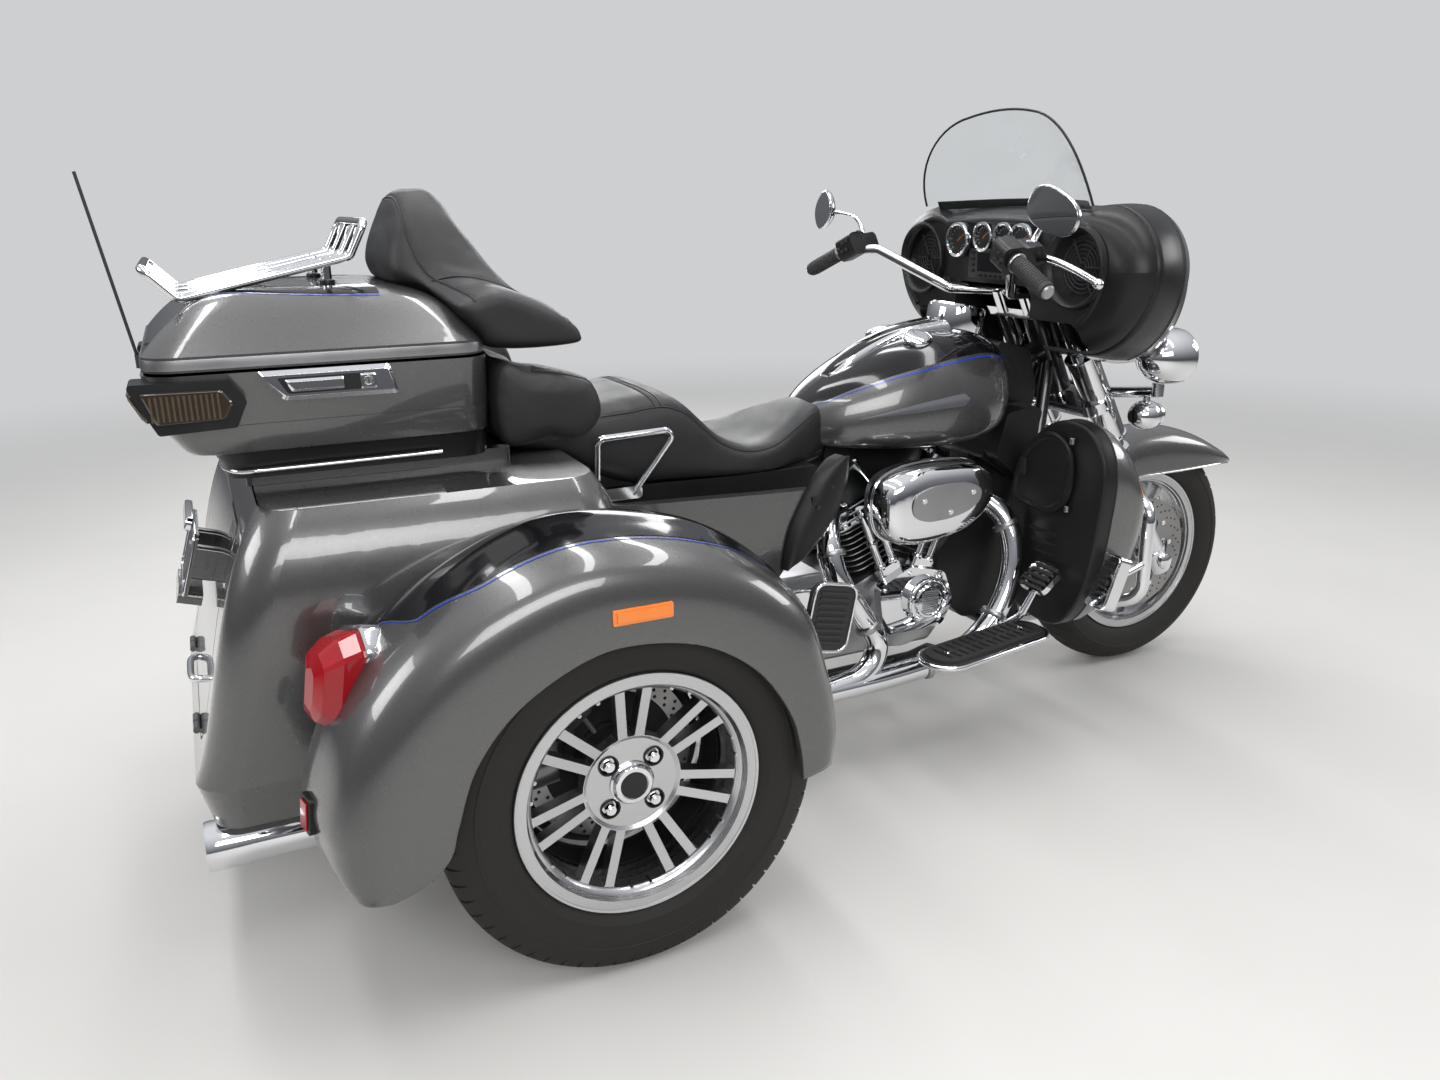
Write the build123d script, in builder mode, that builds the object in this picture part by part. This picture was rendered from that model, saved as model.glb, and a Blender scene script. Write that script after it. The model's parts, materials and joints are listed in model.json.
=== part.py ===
"""Touring trike: one steered front wheel, two driven rear wheels, a boot and a top box.

Millimetres, +X forward, +Y left, +Z up. The row's origin is the middle of the
bounding box on the ground. Distances along X below are counted forward from the
rear axle, and the planes at the top carry them into the row's frame.
"""

from math import cos, radians, sin
import os

from build123d import *

os.makedirs("parts", exist_ok=True)

# Overall sizes
AXLE_X = -659.0
REAR_AXLE_Z = 320.0
REAR_TRACK_HALF = 557.0
FRONT_AXLE_X = 1670.0
FRONT_AXLE_Z = 314.0
BODY_HALF_WIDTH = 690.0

# Steering head and fork
RAKE = 26.0
RAKE_GROUND_X = 1769.0
FORK_LEAN = 30.0
FORK_LEG_Y = 115.0
HEAD_LOW_Z = 772.0
HEAD_TOP_Z = 960.0

# Engine
CRANK_X = 866.0
CRANK_Z = 308.0
CYLINDER_LEAN = 22.5

# Rear bodywork
WALL = 5.0
BOOT_TOP_Z = 785.0
BOX_FLOOR_Z = 808.0
BOX_SEAM_Z = 982.0
LID_GAP = 5.0


def side(y=0.0):
    """Plane seen from the right: local x forward, local y up, extruded to the right."""
    return Plane(origin=(AXLE_X, y, 0), x_dir=(1, 0, 0), z_dir=(0, -1, 0))


def level(z=0.0):
    """Plane seen from above: local x forward, local y left."""
    return Plane(origin=(AXLE_X, 0, z), x_dir=(1, 0, 0), z_dir=(0, 0, 1))


def cross(x=0.0):
    """Plane across the vehicle: local x left, local y up, extruded forward."""
    return Plane(origin=(AXLE_X + x, 0, 0), x_dir=(0, 1, 0), z_dir=(1, 0, 0))


def at(x, y, z):
    """A point counted forward from the rear axle, in the row's frame."""
    return (AXLE_X + x, y, z)


def along(x, y, z, lean):
    """Plane at a point whose normal leans back from vertical by the given angle."""
    slope = radians(lean)
    return Plane(origin=at(x, y, z), x_dir=(cos(slope), 0, sin(slope)), z_dir=(-sin(slope), 0, cos(slope)))


def wheel_plane(x, y, z, outward):
    """Half section of a wheel: local x along the axle outward, local y the radius."""
    return Plane(origin=at(x, y, z), x_dir=(0, outward, 0), z_dir=(outward, 0, 0))


def tube(points, radius, bend):
    """Round bar along straight runs joined by arcs, added to the part in hand."""
    with BuildLine() as path:
        if len(points) > 2:
            FilletPolyline(*[at(*point) for point in points], radius=bend)
        else:
            Line(*[at(*point) for point in points])
    with BuildSketch(Plane(origin=path.line @ 0, z_dir=path.line % 0)) as section:
        Circle(radius)
    sweep(section.sketch, path=path.line)


def save(shape, name):
    """Label a finished piece and write its STEP file."""
    shape.label = name
    export_step(shape, f"parts/{name}.step")


def axle_axis(x, y, z):
    """Line of an axle across the vehicle."""
    return Axis(at(x, y, z), (0, 1, 0))


# Rear wheels: tyre, alloy rim with seven pairs of spokes, brake disc on its hub
REAR_TYRE_R = 320.0
REAR_BEAD_R = 200.0
REAR_FLANGE_R = 208.0
SPOKE_PAIRS = 7
LUG_CIRCLE_R = 55.0

for suffix, outward in (("right", -1), ("left", 1)):
    centre = (0, outward * REAR_TRACK_HALF, REAR_AXLE_Z)
    with BuildPart() as rear_tyre:
        with BuildSketch(wheel_plane(*centre, outward)):
            with BuildLine():
                Line((-84, REAR_BEAD_R), (84, REAR_BEAD_R))
                Line((84, REAR_BEAD_R), (84, 209))
                ThreePointArc((84, 209), (102, 258), (91, 302))
                ThreePointArc((91, 302), (84, 314), (72, 318))
                ThreePointArc((72, 318), (0, REAR_TYRE_R), (-72, 318))
                ThreePointArc((-72, 318), (-84, 314), (-91, 302))
                ThreePointArc((-91, 302), (-102, 258), (-84, 209))
                Line((-84, 209), (-84, REAR_BEAD_R))
            make_face()
        revolve(axis=axle_axis(*centre))
    save(rear_tyre.part, f"rear_tyre_{suffix}")

    with BuildPart() as rear_rim:
        # Barrel with both flanges
        with BuildSketch(wheel_plane(*centre, outward)):
            with BuildLine():
                Polyline(
                    (-92, 188), (-92, REAR_FLANGE_R), (-84, REAR_FLANGE_R), (-84, REAR_BEAD_R),
                    (84, REAR_BEAD_R), (84, REAR_FLANGE_R), (90, REAR_FLANGE_R), (90, 189),
                    (74, 182), (-60, 174), (-92, 188),
                )
            make_face()
        revolve(axis=axle_axis(*centre))
        # Dished disc that the windows are cut from, and the hub behind it
        with BuildSketch(wheel_plane(*centre, outward)):
            with BuildLine():
                Polyline(
                    (-44, 30), (-44, 62), (20, 62), (24, 84), (46, 184), (70, 184),
                    (49, 84), (45, 78), (45, 30), (-44, 30),
                )
            make_face()
        revolve(axis=axle_axis(*centre))
        face_plane = Plane(origin=at(*centre), x_dir=(1, 0, 0), z_dir=(0, outward, 0))
        with BuildSketch(face_plane) as windows:
            Circle(176)
            Circle(85, mode=Mode.SUBTRACT)
            with PolarLocations(0, SPOKE_PAIRS, start_angle=90):
                for twin in (-1, 1):
                    Polygon(
                        (70, twin * 5), (190, twin * 17), (190, twin * 33), (70, twin * 21),
                        align=None, mode=Mode.SUBTRACT,
                    )
            fillet(windows.vertices(), 3)
        extrude(amount=100, both=True, mode=Mode.SUBTRACT)
        # Hub cap and lug nuts in their pockets
        with BuildSketch(face_plane.offset(46)):
            with PolarLocations(LUG_CIRCLE_R, 4, start_angle=45):
                Circle(15)
        extrude(amount=-14, mode=Mode.SUBTRACT)
        with BuildSketch(face_plane.offset(32)):
            with PolarLocations(LUG_CIRCLE_R, 4, start_angle=45):
                RegularPolygon(10.5, 6)
        extrude(amount=10)
        with BuildSketch(face_plane.offset(32)):
            Circle(33)
        extrude(amount=20)
        fillet(rear_rim.faces().sort_by(Axis((0, 0, 0), (0, outward, 0))).filter_by(GeomType.PLANE)
               .filter_by(lambda face: abs(abs(face.center().Y) - REAR_TRACK_HALF - 52) < 0.5).edges(), 6)
        # Brake disc and its bell on the inner side
        with BuildSketch(wheel_plane(*centre, outward)):
            with BuildLine():
                Polyline(
                    (-64, 30), (-64, 100), (-64, 150), (-58, 150), (-58, 66), (-44, 62), (-44, 30),
                    (-64, 30),
                )
            make_face()
        revolve(axis=axle_axis(*centre))
    save(rear_rim.part, f"rear_rim_{suffix}")

# Front wheel
FRONT_TYRE_R = 314.0
FRONT_BEAD_R = 208.0
FRONT_FLANGE_R = 216.0
FRONT_DISC_Y = 62.0
front_centre = (FRONT_AXLE_X, 0, FRONT_AXLE_Z)

with BuildPart() as front_tyre:
    with BuildSketch(wheel_plane(*front_centre, 1)):
        with BuildLine():
            Line((-40, FRONT_BEAD_R), (40, FRONT_BEAD_R))
            Line((40, FRONT_BEAD_R), (40, 217))
            ThreePointArc((40, 217), (62, 246), (62, 284))
            ThreePointArc((62, 284), (0, FRONT_TYRE_R), (-62, 284))
            ThreePointArc((-62, 284), (-62, 246), (-40, 217))
            Line((-40, 217), (-40, FRONT_BEAD_R))
        make_face()
    revolve(axis=axle_axis(*front_centre))
save(front_tyre.part, "front_tyre")

with BuildPart() as front_rim:
    with BuildSketch(wheel_plane(*front_centre, 1)):
        with BuildLine():
            Polyline(
                (-46, 198), (-46, FRONT_FLANGE_R), (-40, FRONT_FLANGE_R), (-40, FRONT_BEAD_R),
                (40, FRONT_BEAD_R), (40, FRONT_FLANGE_R), (46, FRONT_FLANGE_R), (46, 198),
                (34, 192), (-34, 192), (-46, 198),
            )
        make_face()
    revolve(axis=axle_axis(*front_centre))
    with BuildSketch(wheel_plane(*front_centre, 1)):
        with BuildLine():
            Polyline(
                (-58, 13), (-58, 46), (-26, 46), (-18, 194), (18, 194), (26, 46), (58, 46), (58, 13),
                (-58, 13),
            )
        make_face()
    revolve(axis=axle_axis(*front_centre))
    with BuildSketch(Plane(origin=at(*front_centre), x_dir=(1, 0, 0), z_dir=(0, 1, 0))) as front_windows:
        Circle(188)
        Circle(56, mode=Mode.SUBTRACT)
        with PolarLocations(0, SPOKE_PAIRS, start_angle=90):
            for twin in (-1, 1):
                Polygon(
                    (40, twin * 4), (200, twin * 15), (200, twin * 30), (40, twin * 16),
                    align=None, mode=Mode.SUBTRACT,
                )
        fillet(front_windows.vertices(), 2)
    extrude(amount=40, both=True, mode=Mode.SUBTRACT)
save(front_rim.part, "front_rim")

with BuildPart() as front_discs:
    for outward in (-1, 1):
        with BuildSketch(wheel_plane(*front_centre, outward)):
            with BuildLine():
                Polyline(
                    (58, 20), (58, 58), (FRONT_DISC_Y - 2.5, 110), (FRONT_DISC_Y - 2.5, 150),
                    (FRONT_DISC_Y + 2.5, 150), (FRONT_DISC_Y + 2.5, 108), (64, 56), (64, 20), (58, 20),
                )
            make_face()
        revolve(axis=axle_axis(*front_centre))
    with BuildSketch(Plane(origin=at(*front_centre), x_dir=(1, 0, 0), z_dir=(0, 1, 0))):
        with PolarLocations(82, 5):
            SlotCenterToCenter(30, 30, rotation=90)
    extrude(amount=80, both=True, mode=Mode.SUBTRACT)
save(front_discs.part, "front_discs")

# Frame: steering head, backbone and a cradle of round tube
AXIS_DX = -sin(radians(RAKE)) / cos(radians(RAKE))


def rake_x(z):
    """X of the steering axis at a height."""
    return RAKE_GROUND_X + AXIS_DX * z


HEAD_LENGTH = (HEAD_TOP_Z - HEAD_LOW_Z) / cos(radians(RAKE))
STEM_R = 15.0

with BuildPart() as frame:
    with BuildSketch(along(rake_x(HEAD_LOW_Z), 0, HEAD_LOW_Z, RAKE)):
        Circle(32)
    extrude(amount=HEAD_LENGTH)
    tube([(rake_x(880), 0, 880), (1120, 0, 800), (640, 0, 668), (440, 0, 650)], 24, 60)
    for flip in (-1, 1):
        tube(
            [
                (1345, flip * 12, 850), (1232, flip * 95, 400), (1190, flip * 120, 185),
                (470, flip * 120, 175), (400, flip * 110, 430), (450, flip * 20, 648),
            ],
            16, 70,
        )
        tube([(430, flip * 116, 330), (300, flip * 150, 412), (-110, flip * 150, 440)], 16, 60)
    for x, half, z in ((1188, 118, 190), (480, 116, 178), (-100, 148, 439)):
        tube([(x, -half, z), (x, half, z)], 13, 0)
    with BuildSketch(along(rake_x(HEAD_LOW_Z - 10), 0, HEAD_LOW_Z - 10, RAKE)):
        Circle(STEM_R + 1)
    extrude(amount=HEAD_LENGTH + 30, mode=Mode.SUBTRACT)
save(frame.part, "frame")

# Engine: cases, two finned cylinders, heads with rocker covers, valve gear, covers
CASE_HALF = 96.0
CYLINDER_BASE = 112.0
CYLINDER_TOP = 236.0
HEAD_TOP = 296.0
ROCKER_TOP = 366.0


def cylinder_plane(lean, distance, y=0.0):
    """Plane across a cylinder's axis at a distance from the crank."""
    slope = radians(lean)
    return along(CRANK_X - sin(slope) * distance, y, CRANK_Z + cos(slope) * distance, lean)


with BuildPart() as engine_cases:
    with BuildSketch(side(CASE_HALF)) as case_outline:
        with BuildLine():
            Polyline(
                (790, 206), (960, 206), (1010, 262), (1010, 340), (970, 400), (866, 438),
                (760, 404), (690, 424), (540, 424), (490, 380), (490, 232), (540, 206), (790, 206),
            )
        make_face()
        fillet(case_outline.vertices(), 22)
    extrude(amount=2 * CASE_HALF)
    fillet(engine_cases.faces().filter_by(Axis.Y).edges(), 8)
    for lean in (CYLINDER_LEAN, -CYLINDER_LEAN):
        with BuildSketch(cylinder_plane(lean, CYLINDER_BASE)):
            RectangleRounded(300, 300, 20)
        extrude(amount=300, mode=Mode.SUBTRACT)
    with BuildSketch(side(-CASE_HALF)):
        with Locations((CRANK_X, CRANK_Z)):
            Circle(92)
    extrude(amount=22)
save(engine_cases.part, "engine_cases")

FIN_COUNT = 8
with BuildPart() as cylinders:
    fin_pitch = (CYLINDER_TOP - CYLINDER_BASE - 8) / FIN_COUNT
    for lean in (CYLINDER_LEAN, -CYLINDER_LEAN):
        with BuildSketch(cylinder_plane(lean, CYLINDER_BASE)):
            Circle(56)
        extrude(amount=CYLINDER_TOP - CYLINDER_BASE)
        for fin in range(FIN_COUNT):
            with BuildSketch(cylinder_plane(lean, CYLINDER_BASE + 10 + fin * fin_pitch)):
                RectangleRounded(142, 150, 52)
            extrude(amount=4)
save(cylinders.part, "cylinders")

with BuildPart() as cylinder_heads:
    for lean in (CYLINDER_LEAN, -CYLINDER_LEAN):
        for fin in range(4):
            with BuildSketch(cylinder_plane(lean, CYLINDER_TOP + 4 + fin * 14)):
                RectangleRounded(158, 170, 30)
            extrude(amount=5)
        with BuildSketch(cylinder_plane(lean, CYLINDER_TOP)):
            RectangleRounded(128, 140, 30)
        extrude(amount=HEAD_TOP - CYLINDER_TOP)
        with BuildSketch(cylinder_plane(lean, HEAD_TOP)):
            RectangleRounded(132, 168, 28)
        with BuildSketch(cylinder_plane(lean, ROCKER_TOP)):
            RectangleRounded(100, 136, 28)
        loft()
save(cylinder_heads.part, "cylinder_heads")

with BuildPart() as valve_gear:
    # Cam cover with its round lid, lifter blocks and four pushrod tubes
    with BuildSketch(side(-CASE_HALF - 22)) as cam_outline:
        with BuildLine():
            Polyline((800, 262), (962, 262), (990, 320), (962, 396), (866, 420), (782, 380), (800, 262))
        make_face()
        fillet(cam_outline.vertices(), 26)
    extrude(amount=26)
    with BuildSketch(side(-CASE_HALF - 48)):
        with Locations((908, 336)):
            Circle(56)
    extrude(amount=20)
    fillet(valve_gear.faces().sort_by(Axis.Y)[0].edges(), 8)
    for lean in (CYLINDER_LEAN, -CYLINDER_LEAN):
        with BuildSketch(cylinder_plane(lean, 96, -CASE_HALF - 20)):
            RectangleRounded(62, 30, 8)
        extrude(amount=34)
        for shift in (-17, 17):
            with BuildSketch(cylinder_plane(lean, 120, -CASE_HALF - 20)):
                with Locations((shift, 0)):
                    Circle(9.5)
            extrude(amount=170)
    add(engine_cases.part, mode=Mode.SUBTRACT)
    add(cylinder_heads.part, mode=Mode.SUBTRACT)
save(valve_gear.part, "valve_gear")

with BuildPart() as air_cleaner:
    # Teardrop cover on its back plate
    with BuildSketch(side(-150)) as back_plate:
        with BuildLine():
            Polyline((725, 560), (760, 640), (960, 650), (1012, 600), (985, 520), (880, 484), (750, 492),
                     (725, 560))
        make_face()
        fillet(back_plate.vertices(), 36)
    extrude(amount=46)
    with BuildSketch(side(-196)) as cover_low:
        with BuildLine():
            Polyline((712, 568), (742, 668), (960, 676), (1014, 622), (992, 546), (880, 512), (742, 512),
                     (712, 568))
        make_face()
        fillet(cover_low.vertices(), 34)
    extrude(amount=62)
    fillet(air_cleaner.faces().sort_by(Axis.Y)[0].edges(), 26)
    with BuildSketch(cross(858)):
        with Locations((-110, 590)):
            Rectangle(90, 60)
    extrude(amount=40, both=True)
    add(cylinder_heads.part, mode=Mode.SUBTRACT)
    add(cylinders.part, mode=Mode.SUBTRACT)
    add(valve_gear.part, mode=Mode.SUBTRACT)
save(air_cleaner.part, "air_cleaner")

with BuildPart() as drive_covers:
    # Primary cover on the left, gearbox end cover on the right
    with BuildSketch(side(CASE_HALF + 78)) as primary:
        with BuildLine():
            Polyline((520, 215), (930, 215), (990, 300), (930, 408), (700, 430), (540, 450), (452, 330),
                     (520, 215))
        make_face()
        fillet(primary.vertices(), 70)
    extrude(amount=78)
    fillet(drive_covers.faces().sort_by(Axis.Y)[-1].edges(), 18)
    with BuildSketch(side(-CASE_HALF)) as end_cover:
        with BuildLine():
            Polyline((506, 244), (690, 244), (700, 400), (530, 408), (506, 244))
        make_face()
        fillet(end_cover.vertices(), 24)
    extrude(amount=36)
    fillet(drive_covers.faces().sort_by(Axis.Y)[0].edges(), 8)
save(drive_covers.part, "drive_covers")

# Exhaust: two headers joining on the right, a crossover and two mufflers
MUFFLER_Y = 300.0
MUFFLER_Z = 208.0
MUFFLER_R = 40.0
with BuildPart() as exhaust:
    tube(
        [
            (1010, -96, 560), (1096, -150, 540), (1108, -205, 420), (1040, -222, 290), (900, -235, 216),
            (560, -240, 206), (250, -250, 176), (60, -280, 172), (-160, -MUFFLER_Y, MUFFLER_Z),
        ],
        24, 60,
    )
    tube([(700, -94, 560), (640, -150, 560), (622, -205, 500), (742, -215, 285), (640, -240, 206)], 24, 44)
    tube([(420, -246, 196), (330, -200, 180), (260, 200, 180), (60, 280, 172),
          (-160, MUFFLER_Y, MUFFLER_Z)], 24, 60)
    for flip in (-1, 1):
        with BuildSketch(Plane(origin=at(-130, flip * MUFFLER_Y, MUFFLER_Z), x_dir=(0, 1, 0),
                               z_dir=(-1, 0, 0))):
            Circle(MUFFLER_R)
        extrude(amount=512)
        with BuildSketch(Plane(origin=at(-560, flip * MUFFLER_Y, MUFFLER_Z), x_dir=(0, 1, 0),
                               z_dir=(-1, 0, 0))):
            Circle(MUFFLER_R - 4)
        extrude(amount=90, mode=Mode.SUBTRACT)
    add(cylinder_heads.part, mode=Mode.SUBTRACT)
    add(valve_gear.part, mode=Mode.SUBTRACT)
save(exhaust.part, "exhaust")

# Fuel tank: sections across the vehicle, with a tunnel over the backbone
TANK_SECTIONS = (
    # x, half width, bottom z, top z
    (628, 58, 722, 784),
    (740, 132, 700, 868),
    (900, 172, 688, 930),
    (1050, 164, 690, 938),
    (1160, 86, 742, 876),
)
with BuildPart() as fuel_tank:
    for x, half, low, top in TANK_SECTIONS:
        height = top - low
        with BuildSketch(cross(x)):
            with BuildLine():
                Line((-0.7 * half, low), (0.7 * half, low))
                ThreePointArc((0.7 * half, low), (0.94 * half, low + 0.12 * height),
                              (half, low + 0.36 * height))
                ThreePointArc((half, low + 0.36 * height), (0.84 * half, low + 0.8 * height),
                              (0.34 * half, top))
                Line((0.34 * half, top), (-0.34 * half, top))
                ThreePointArc((-0.34 * half, top), (-0.84 * half, low + 0.8 * height),
                              (-half, low + 0.36 * height))
                ThreePointArc((-half, low + 0.36 * height), (-0.94 * half, low + 0.12 * height),
                              (-0.7 * half, low))
            make_face()
    loft()
    with BuildSketch(side(36)):
        with BuildLine():
            Polyline((600, 640), (600, 706), (640, 706), (1120, 838), (1200, 870), (1200, 640), (600, 640))
        make_face()
    extrude(amount=72, mode=Mode.SUBTRACT)
    for lean in (CYLINDER_LEAN, -CYLINDER_LEAN):
        with BuildSketch(cylinder_plane(lean, HEAD_TOP)):
            RectangleRounded(140, 180, 20)
        extrude(amount=78, mode=Mode.SUBTRACT)
save(fuel_tank.part, "fuel_tank")

with BuildPart() as tank_console:
    # Chrome strip along the tank with the round gauge housing at its front
    with BuildSketch(side(42)):
        with BuildLine():
            Polyline((720, 800), (740, 872), (900, 950), (1040, 972), (1120, 960), (1120, 880), (720, 800))
        make_face()
    extrude(amount=84)
    with BuildSketch(along(1062, 0, 930, -12)):
        Circle(66)
    extrude(amount=62)
    fillet(tank_console.edges().filter_by(GeomType.CIRCLE).group_by(Axis.Z)[-1], 8)
    add(fuel_tank.part, mode=Mode.SUBTRACT)
    with BuildSketch(side(60)):
        with BuildLine():
            Polyline((600, 600), (600, 706), (640, 706), (1120, 860), (1250, 900), (1250, 600), (600, 600))
        make_face()
    extrude(amount=120, mode=Mode.SUBTRACT)
save(tank_console.part, "tank_console")

# Boot form: tapering up from a crease
BOOT_SECTIONS = (
    # z, rear x, front x, half width
    (340, -640, 20, 382),
    (560, -582, 60, 430),
    (740, -522, 64, 418),
    (BOOT_TOP_Z, -494, 40, 392),
)
DOOR_LOW_Z = 386.0
DOOR_TOP_Z = 734.0
DOOR_HALF = 285.0
DOOR_DEPTH = 16.0
DOOR_HINGE_X = -630.0
BARREL_R = 6.0
BARREL_GAP = 0.6


def boot_shape(inset):
    """Loft the boot's outer form, or the same form set in by a wall."""
    sections = []
    for z, rear, front, half in BOOT_SECTIONS:
        height = z - inset if z == BOOT_TOP_Z else z
        with BuildSketch(level(height)) as plan:
            with Locations(((rear + front) / 2, 0)):
                RectangleRounded(front - rear - 2 * inset, 2 * (half - inset), 62 - inset)
        sections.append(plan.sketch)
    loft(sections)


with BuildPart() as boot_solid:
    boot_shape(0)
    with BuildSketch(level(256)) as boot_base:
        with Locations((-405, 0)):
            RectangleRounded(434, 2 * 352, 50)
    with BuildSketch(level(340)) as boot_crease:
        with Locations((-410, 0)):
            RectangleRounded(460, 2 * 382, 62)
    loft([boot_base.sketch, boot_crease.sketch])

# Seat: rider's bucket with its bolster, and the passenger's pad behind
with BuildPart() as seat:
    with BuildSketch(side(190)) as seat_outline:
        with BuildLine():
            Polyline(
                (-70, 800), (-60, 836), (110, 846), (190, 858), (262, 872), (310, 850), (372, 782),
                (440, 736), (540, 750), (640, 796), (716, 818), (728, 770), (690, 726), (560, 684),
                (430, 686), (180, 690), (60, 760), (-70, 800),
            )
        make_face()
        fillet(seat_outline.vertices(), 8)
    extrude(amount=380)
    with BuildSketch(level(600)) as seat_plan:
        with BuildLine():
            Polyline(
                (-70, -170), (110, -178), (280, -190), (480, -180), (600, -120), (728, -52),
                (728, 52), (600, 120), (480, 180), (280, 190), (110, 178), (-70, 170), (-70, -170),
            )
        make_face()
        fillet(seat_plan.vertices(), 20)
    extrude(amount=400, mode=Mode.INTERSECT)
    add(fuel_tank.part, mode=Mode.SUBTRACT)
    add(tank_console.part, mode=Mode.SUBTRACT)
    add(boot_solid.part, mode=Mode.SUBTRACT)
    add(frame.part, mode=Mode.SUBTRACT)
save(seat.part, "seat")

with BuildPart() as grab_rails:
    for flip in (-1, 1):
        tube([(104, flip * 186, 700), (104, flip * 202, 804), (262, flip * 214, 812),
              (172, flip * 196, 690)], 6.5, 14)
        with BuildSketch(side(flip * 194 + 8)):
            with Locations((138, 694)):
                RectangleRounded(104, 24, 8)
        extrude(amount=16)
    add(seat.part, mode=Mode.SUBTRACT)
save(grab_rails.part, "grab_rails")

with BuildPart() as side_covers:
    for flip in (-1, 1):
        with BuildSketch(side(flip * 214 + 14)) as cover_outline:
            with BuildLine():
                Polyline(
                    (64, 640), (70, 690), (150, 676), (430, 664), (560, 660), (566, 600), (524, 548),
                    (452, 450),
                    (330, 470), (180, 560), (64, 640),
                )
            make_face()
            fillet(cover_outline.vertices(), 14)
        extrude(amount=28)
    add(seat.part, mode=Mode.SUBTRACT)
    add(grab_rails.part, mode=Mode.SUBTRACT)
    add(boot_solid.part, mode=Mode.SUBTRACT)
save(side_covers.part, "side_covers")

with BuildPart() as air_deflectors:
    for flip in (-1, 1):
        with BuildSketch(side(flip * 244 + 10)) as leaf:
            with BuildLine():
                Polyline(
                    (476, 500), (500, 590), (560, 700), (600, 728), (634, 726), (632, 660), (600, 590),
                    (540, 520), (476, 500),
                )
            make_face()
            fillet(leaf.vertices(), 12)
        extrude(amount=20)
        with BuildSketch(side(flip * 150 + 90)):
            with Locations((560, 640)):
                RectangleRounded(40, 24, 6)
        extrude(amount=180)
    add(seat.part, mode=Mode.SUBTRACT)
    add(side_covers.part, mode=Mode.SUBTRACT)
    add(frame.part, mode=Mode.SUBTRACT)
save(air_deflectors.part, "air_deflectors")

# Rear axle: differential, axle tubes, calipers, and arms to the frame
REAR_DISC_Y = 496.0
with BuildPart() as rear_axle:
    with BuildSketch(side(90)):
        with Locations((0, REAR_AXLE_Z)):
            Circle(104)
    extrude(amount=180)
    fillet(rear_axle.faces().filter_by(Axis.Y).edges(), 20)
    tube([(0, -476, REAR_AXLE_Z), (0, 476, REAR_AXLE_Z)], 38, 0)
    for flip in (-1, 1):
        tube([(10, flip * 210, 330), (380, flip * 170, 312)], 24, 0)
        with BuildSketch(side(flip * 466 + 10)):
            with Locations((0, REAR_AXLE_Z)):
                Circle(72)
        extrude(amount=20)
        # Caliper reaching round the disc's rim
        with BuildSketch(side(flip * REAR_DISC_Y + 28)):
            with Locations((0, REAR_AXLE_Z)):
                Circle(168)
                Circle(98, mode=Mode.SUBTRACT)
                Polygon((0, 0), (-240, -30), (-240, 190), (0, 0), align=None, mode=Mode.INTERSECT)
        extrude(amount=56)
        with BuildSketch(side(flip * 472 + 8)):
            with BuildLine():
                Polyline((0, 300), (0, 380), (-126, 400), (-126, 320), (0, 300))
            make_face()
        extrude(amount=16)
    for outward in (-1, 1):
        with BuildSketch(wheel_plane(0, outward * REAR_DISC_Y, REAR_AXLE_Z, outward)):
            with Locations((0, 78)):
                Rectangle(14, 156)
        revolve(axis=axle_axis(0, 0, REAR_AXLE_Z), mode=Mode.SUBTRACT)
        tube([(0, outward * 470, REAR_AXLE_Z), (0, outward * 586, REAR_AXLE_Z)], 26, 0)
save(rear_axle.part, "rear_axle")

BELT_Y = 128.0
with BuildPart() as drive_belt:
    # Toothed belt from the gearbox pulley to the axle pulley
    with BuildSketch(side(BELT_Y + 12)):
        with BuildLine():
            Polyline((0, 424), (560, 388), (560, 268), (0, 216), (0, 424))
        make_face()
        with Locations((0, REAR_AXLE_Z)):
            Circle(104)
        with Locations((560, 328)):
            Circle(60)
        offset(amount=-6, mode=Mode.SUBTRACT)
    extrude(amount=24)
    with BuildSketch(side(BELT_Y + 10)):
        with Locations((0, REAR_AXLE_Z)):
            Circle(98)
        with Locations((560, 328)):
            Circle(54)
    extrude(amount=20)
    add(rear_axle.part, mode=Mode.SUBTRACT)
    add(frame.part, mode=Mode.SUBTRACT)
    add(exhaust.part, mode=Mode.SUBTRACT)
    add(drive_covers.part, mode=Mode.SUBTRACT)
    add(engine_cases.part, mode=Mode.SUBTRACT)
save(drive_belt.part, "drive_belt")

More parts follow.
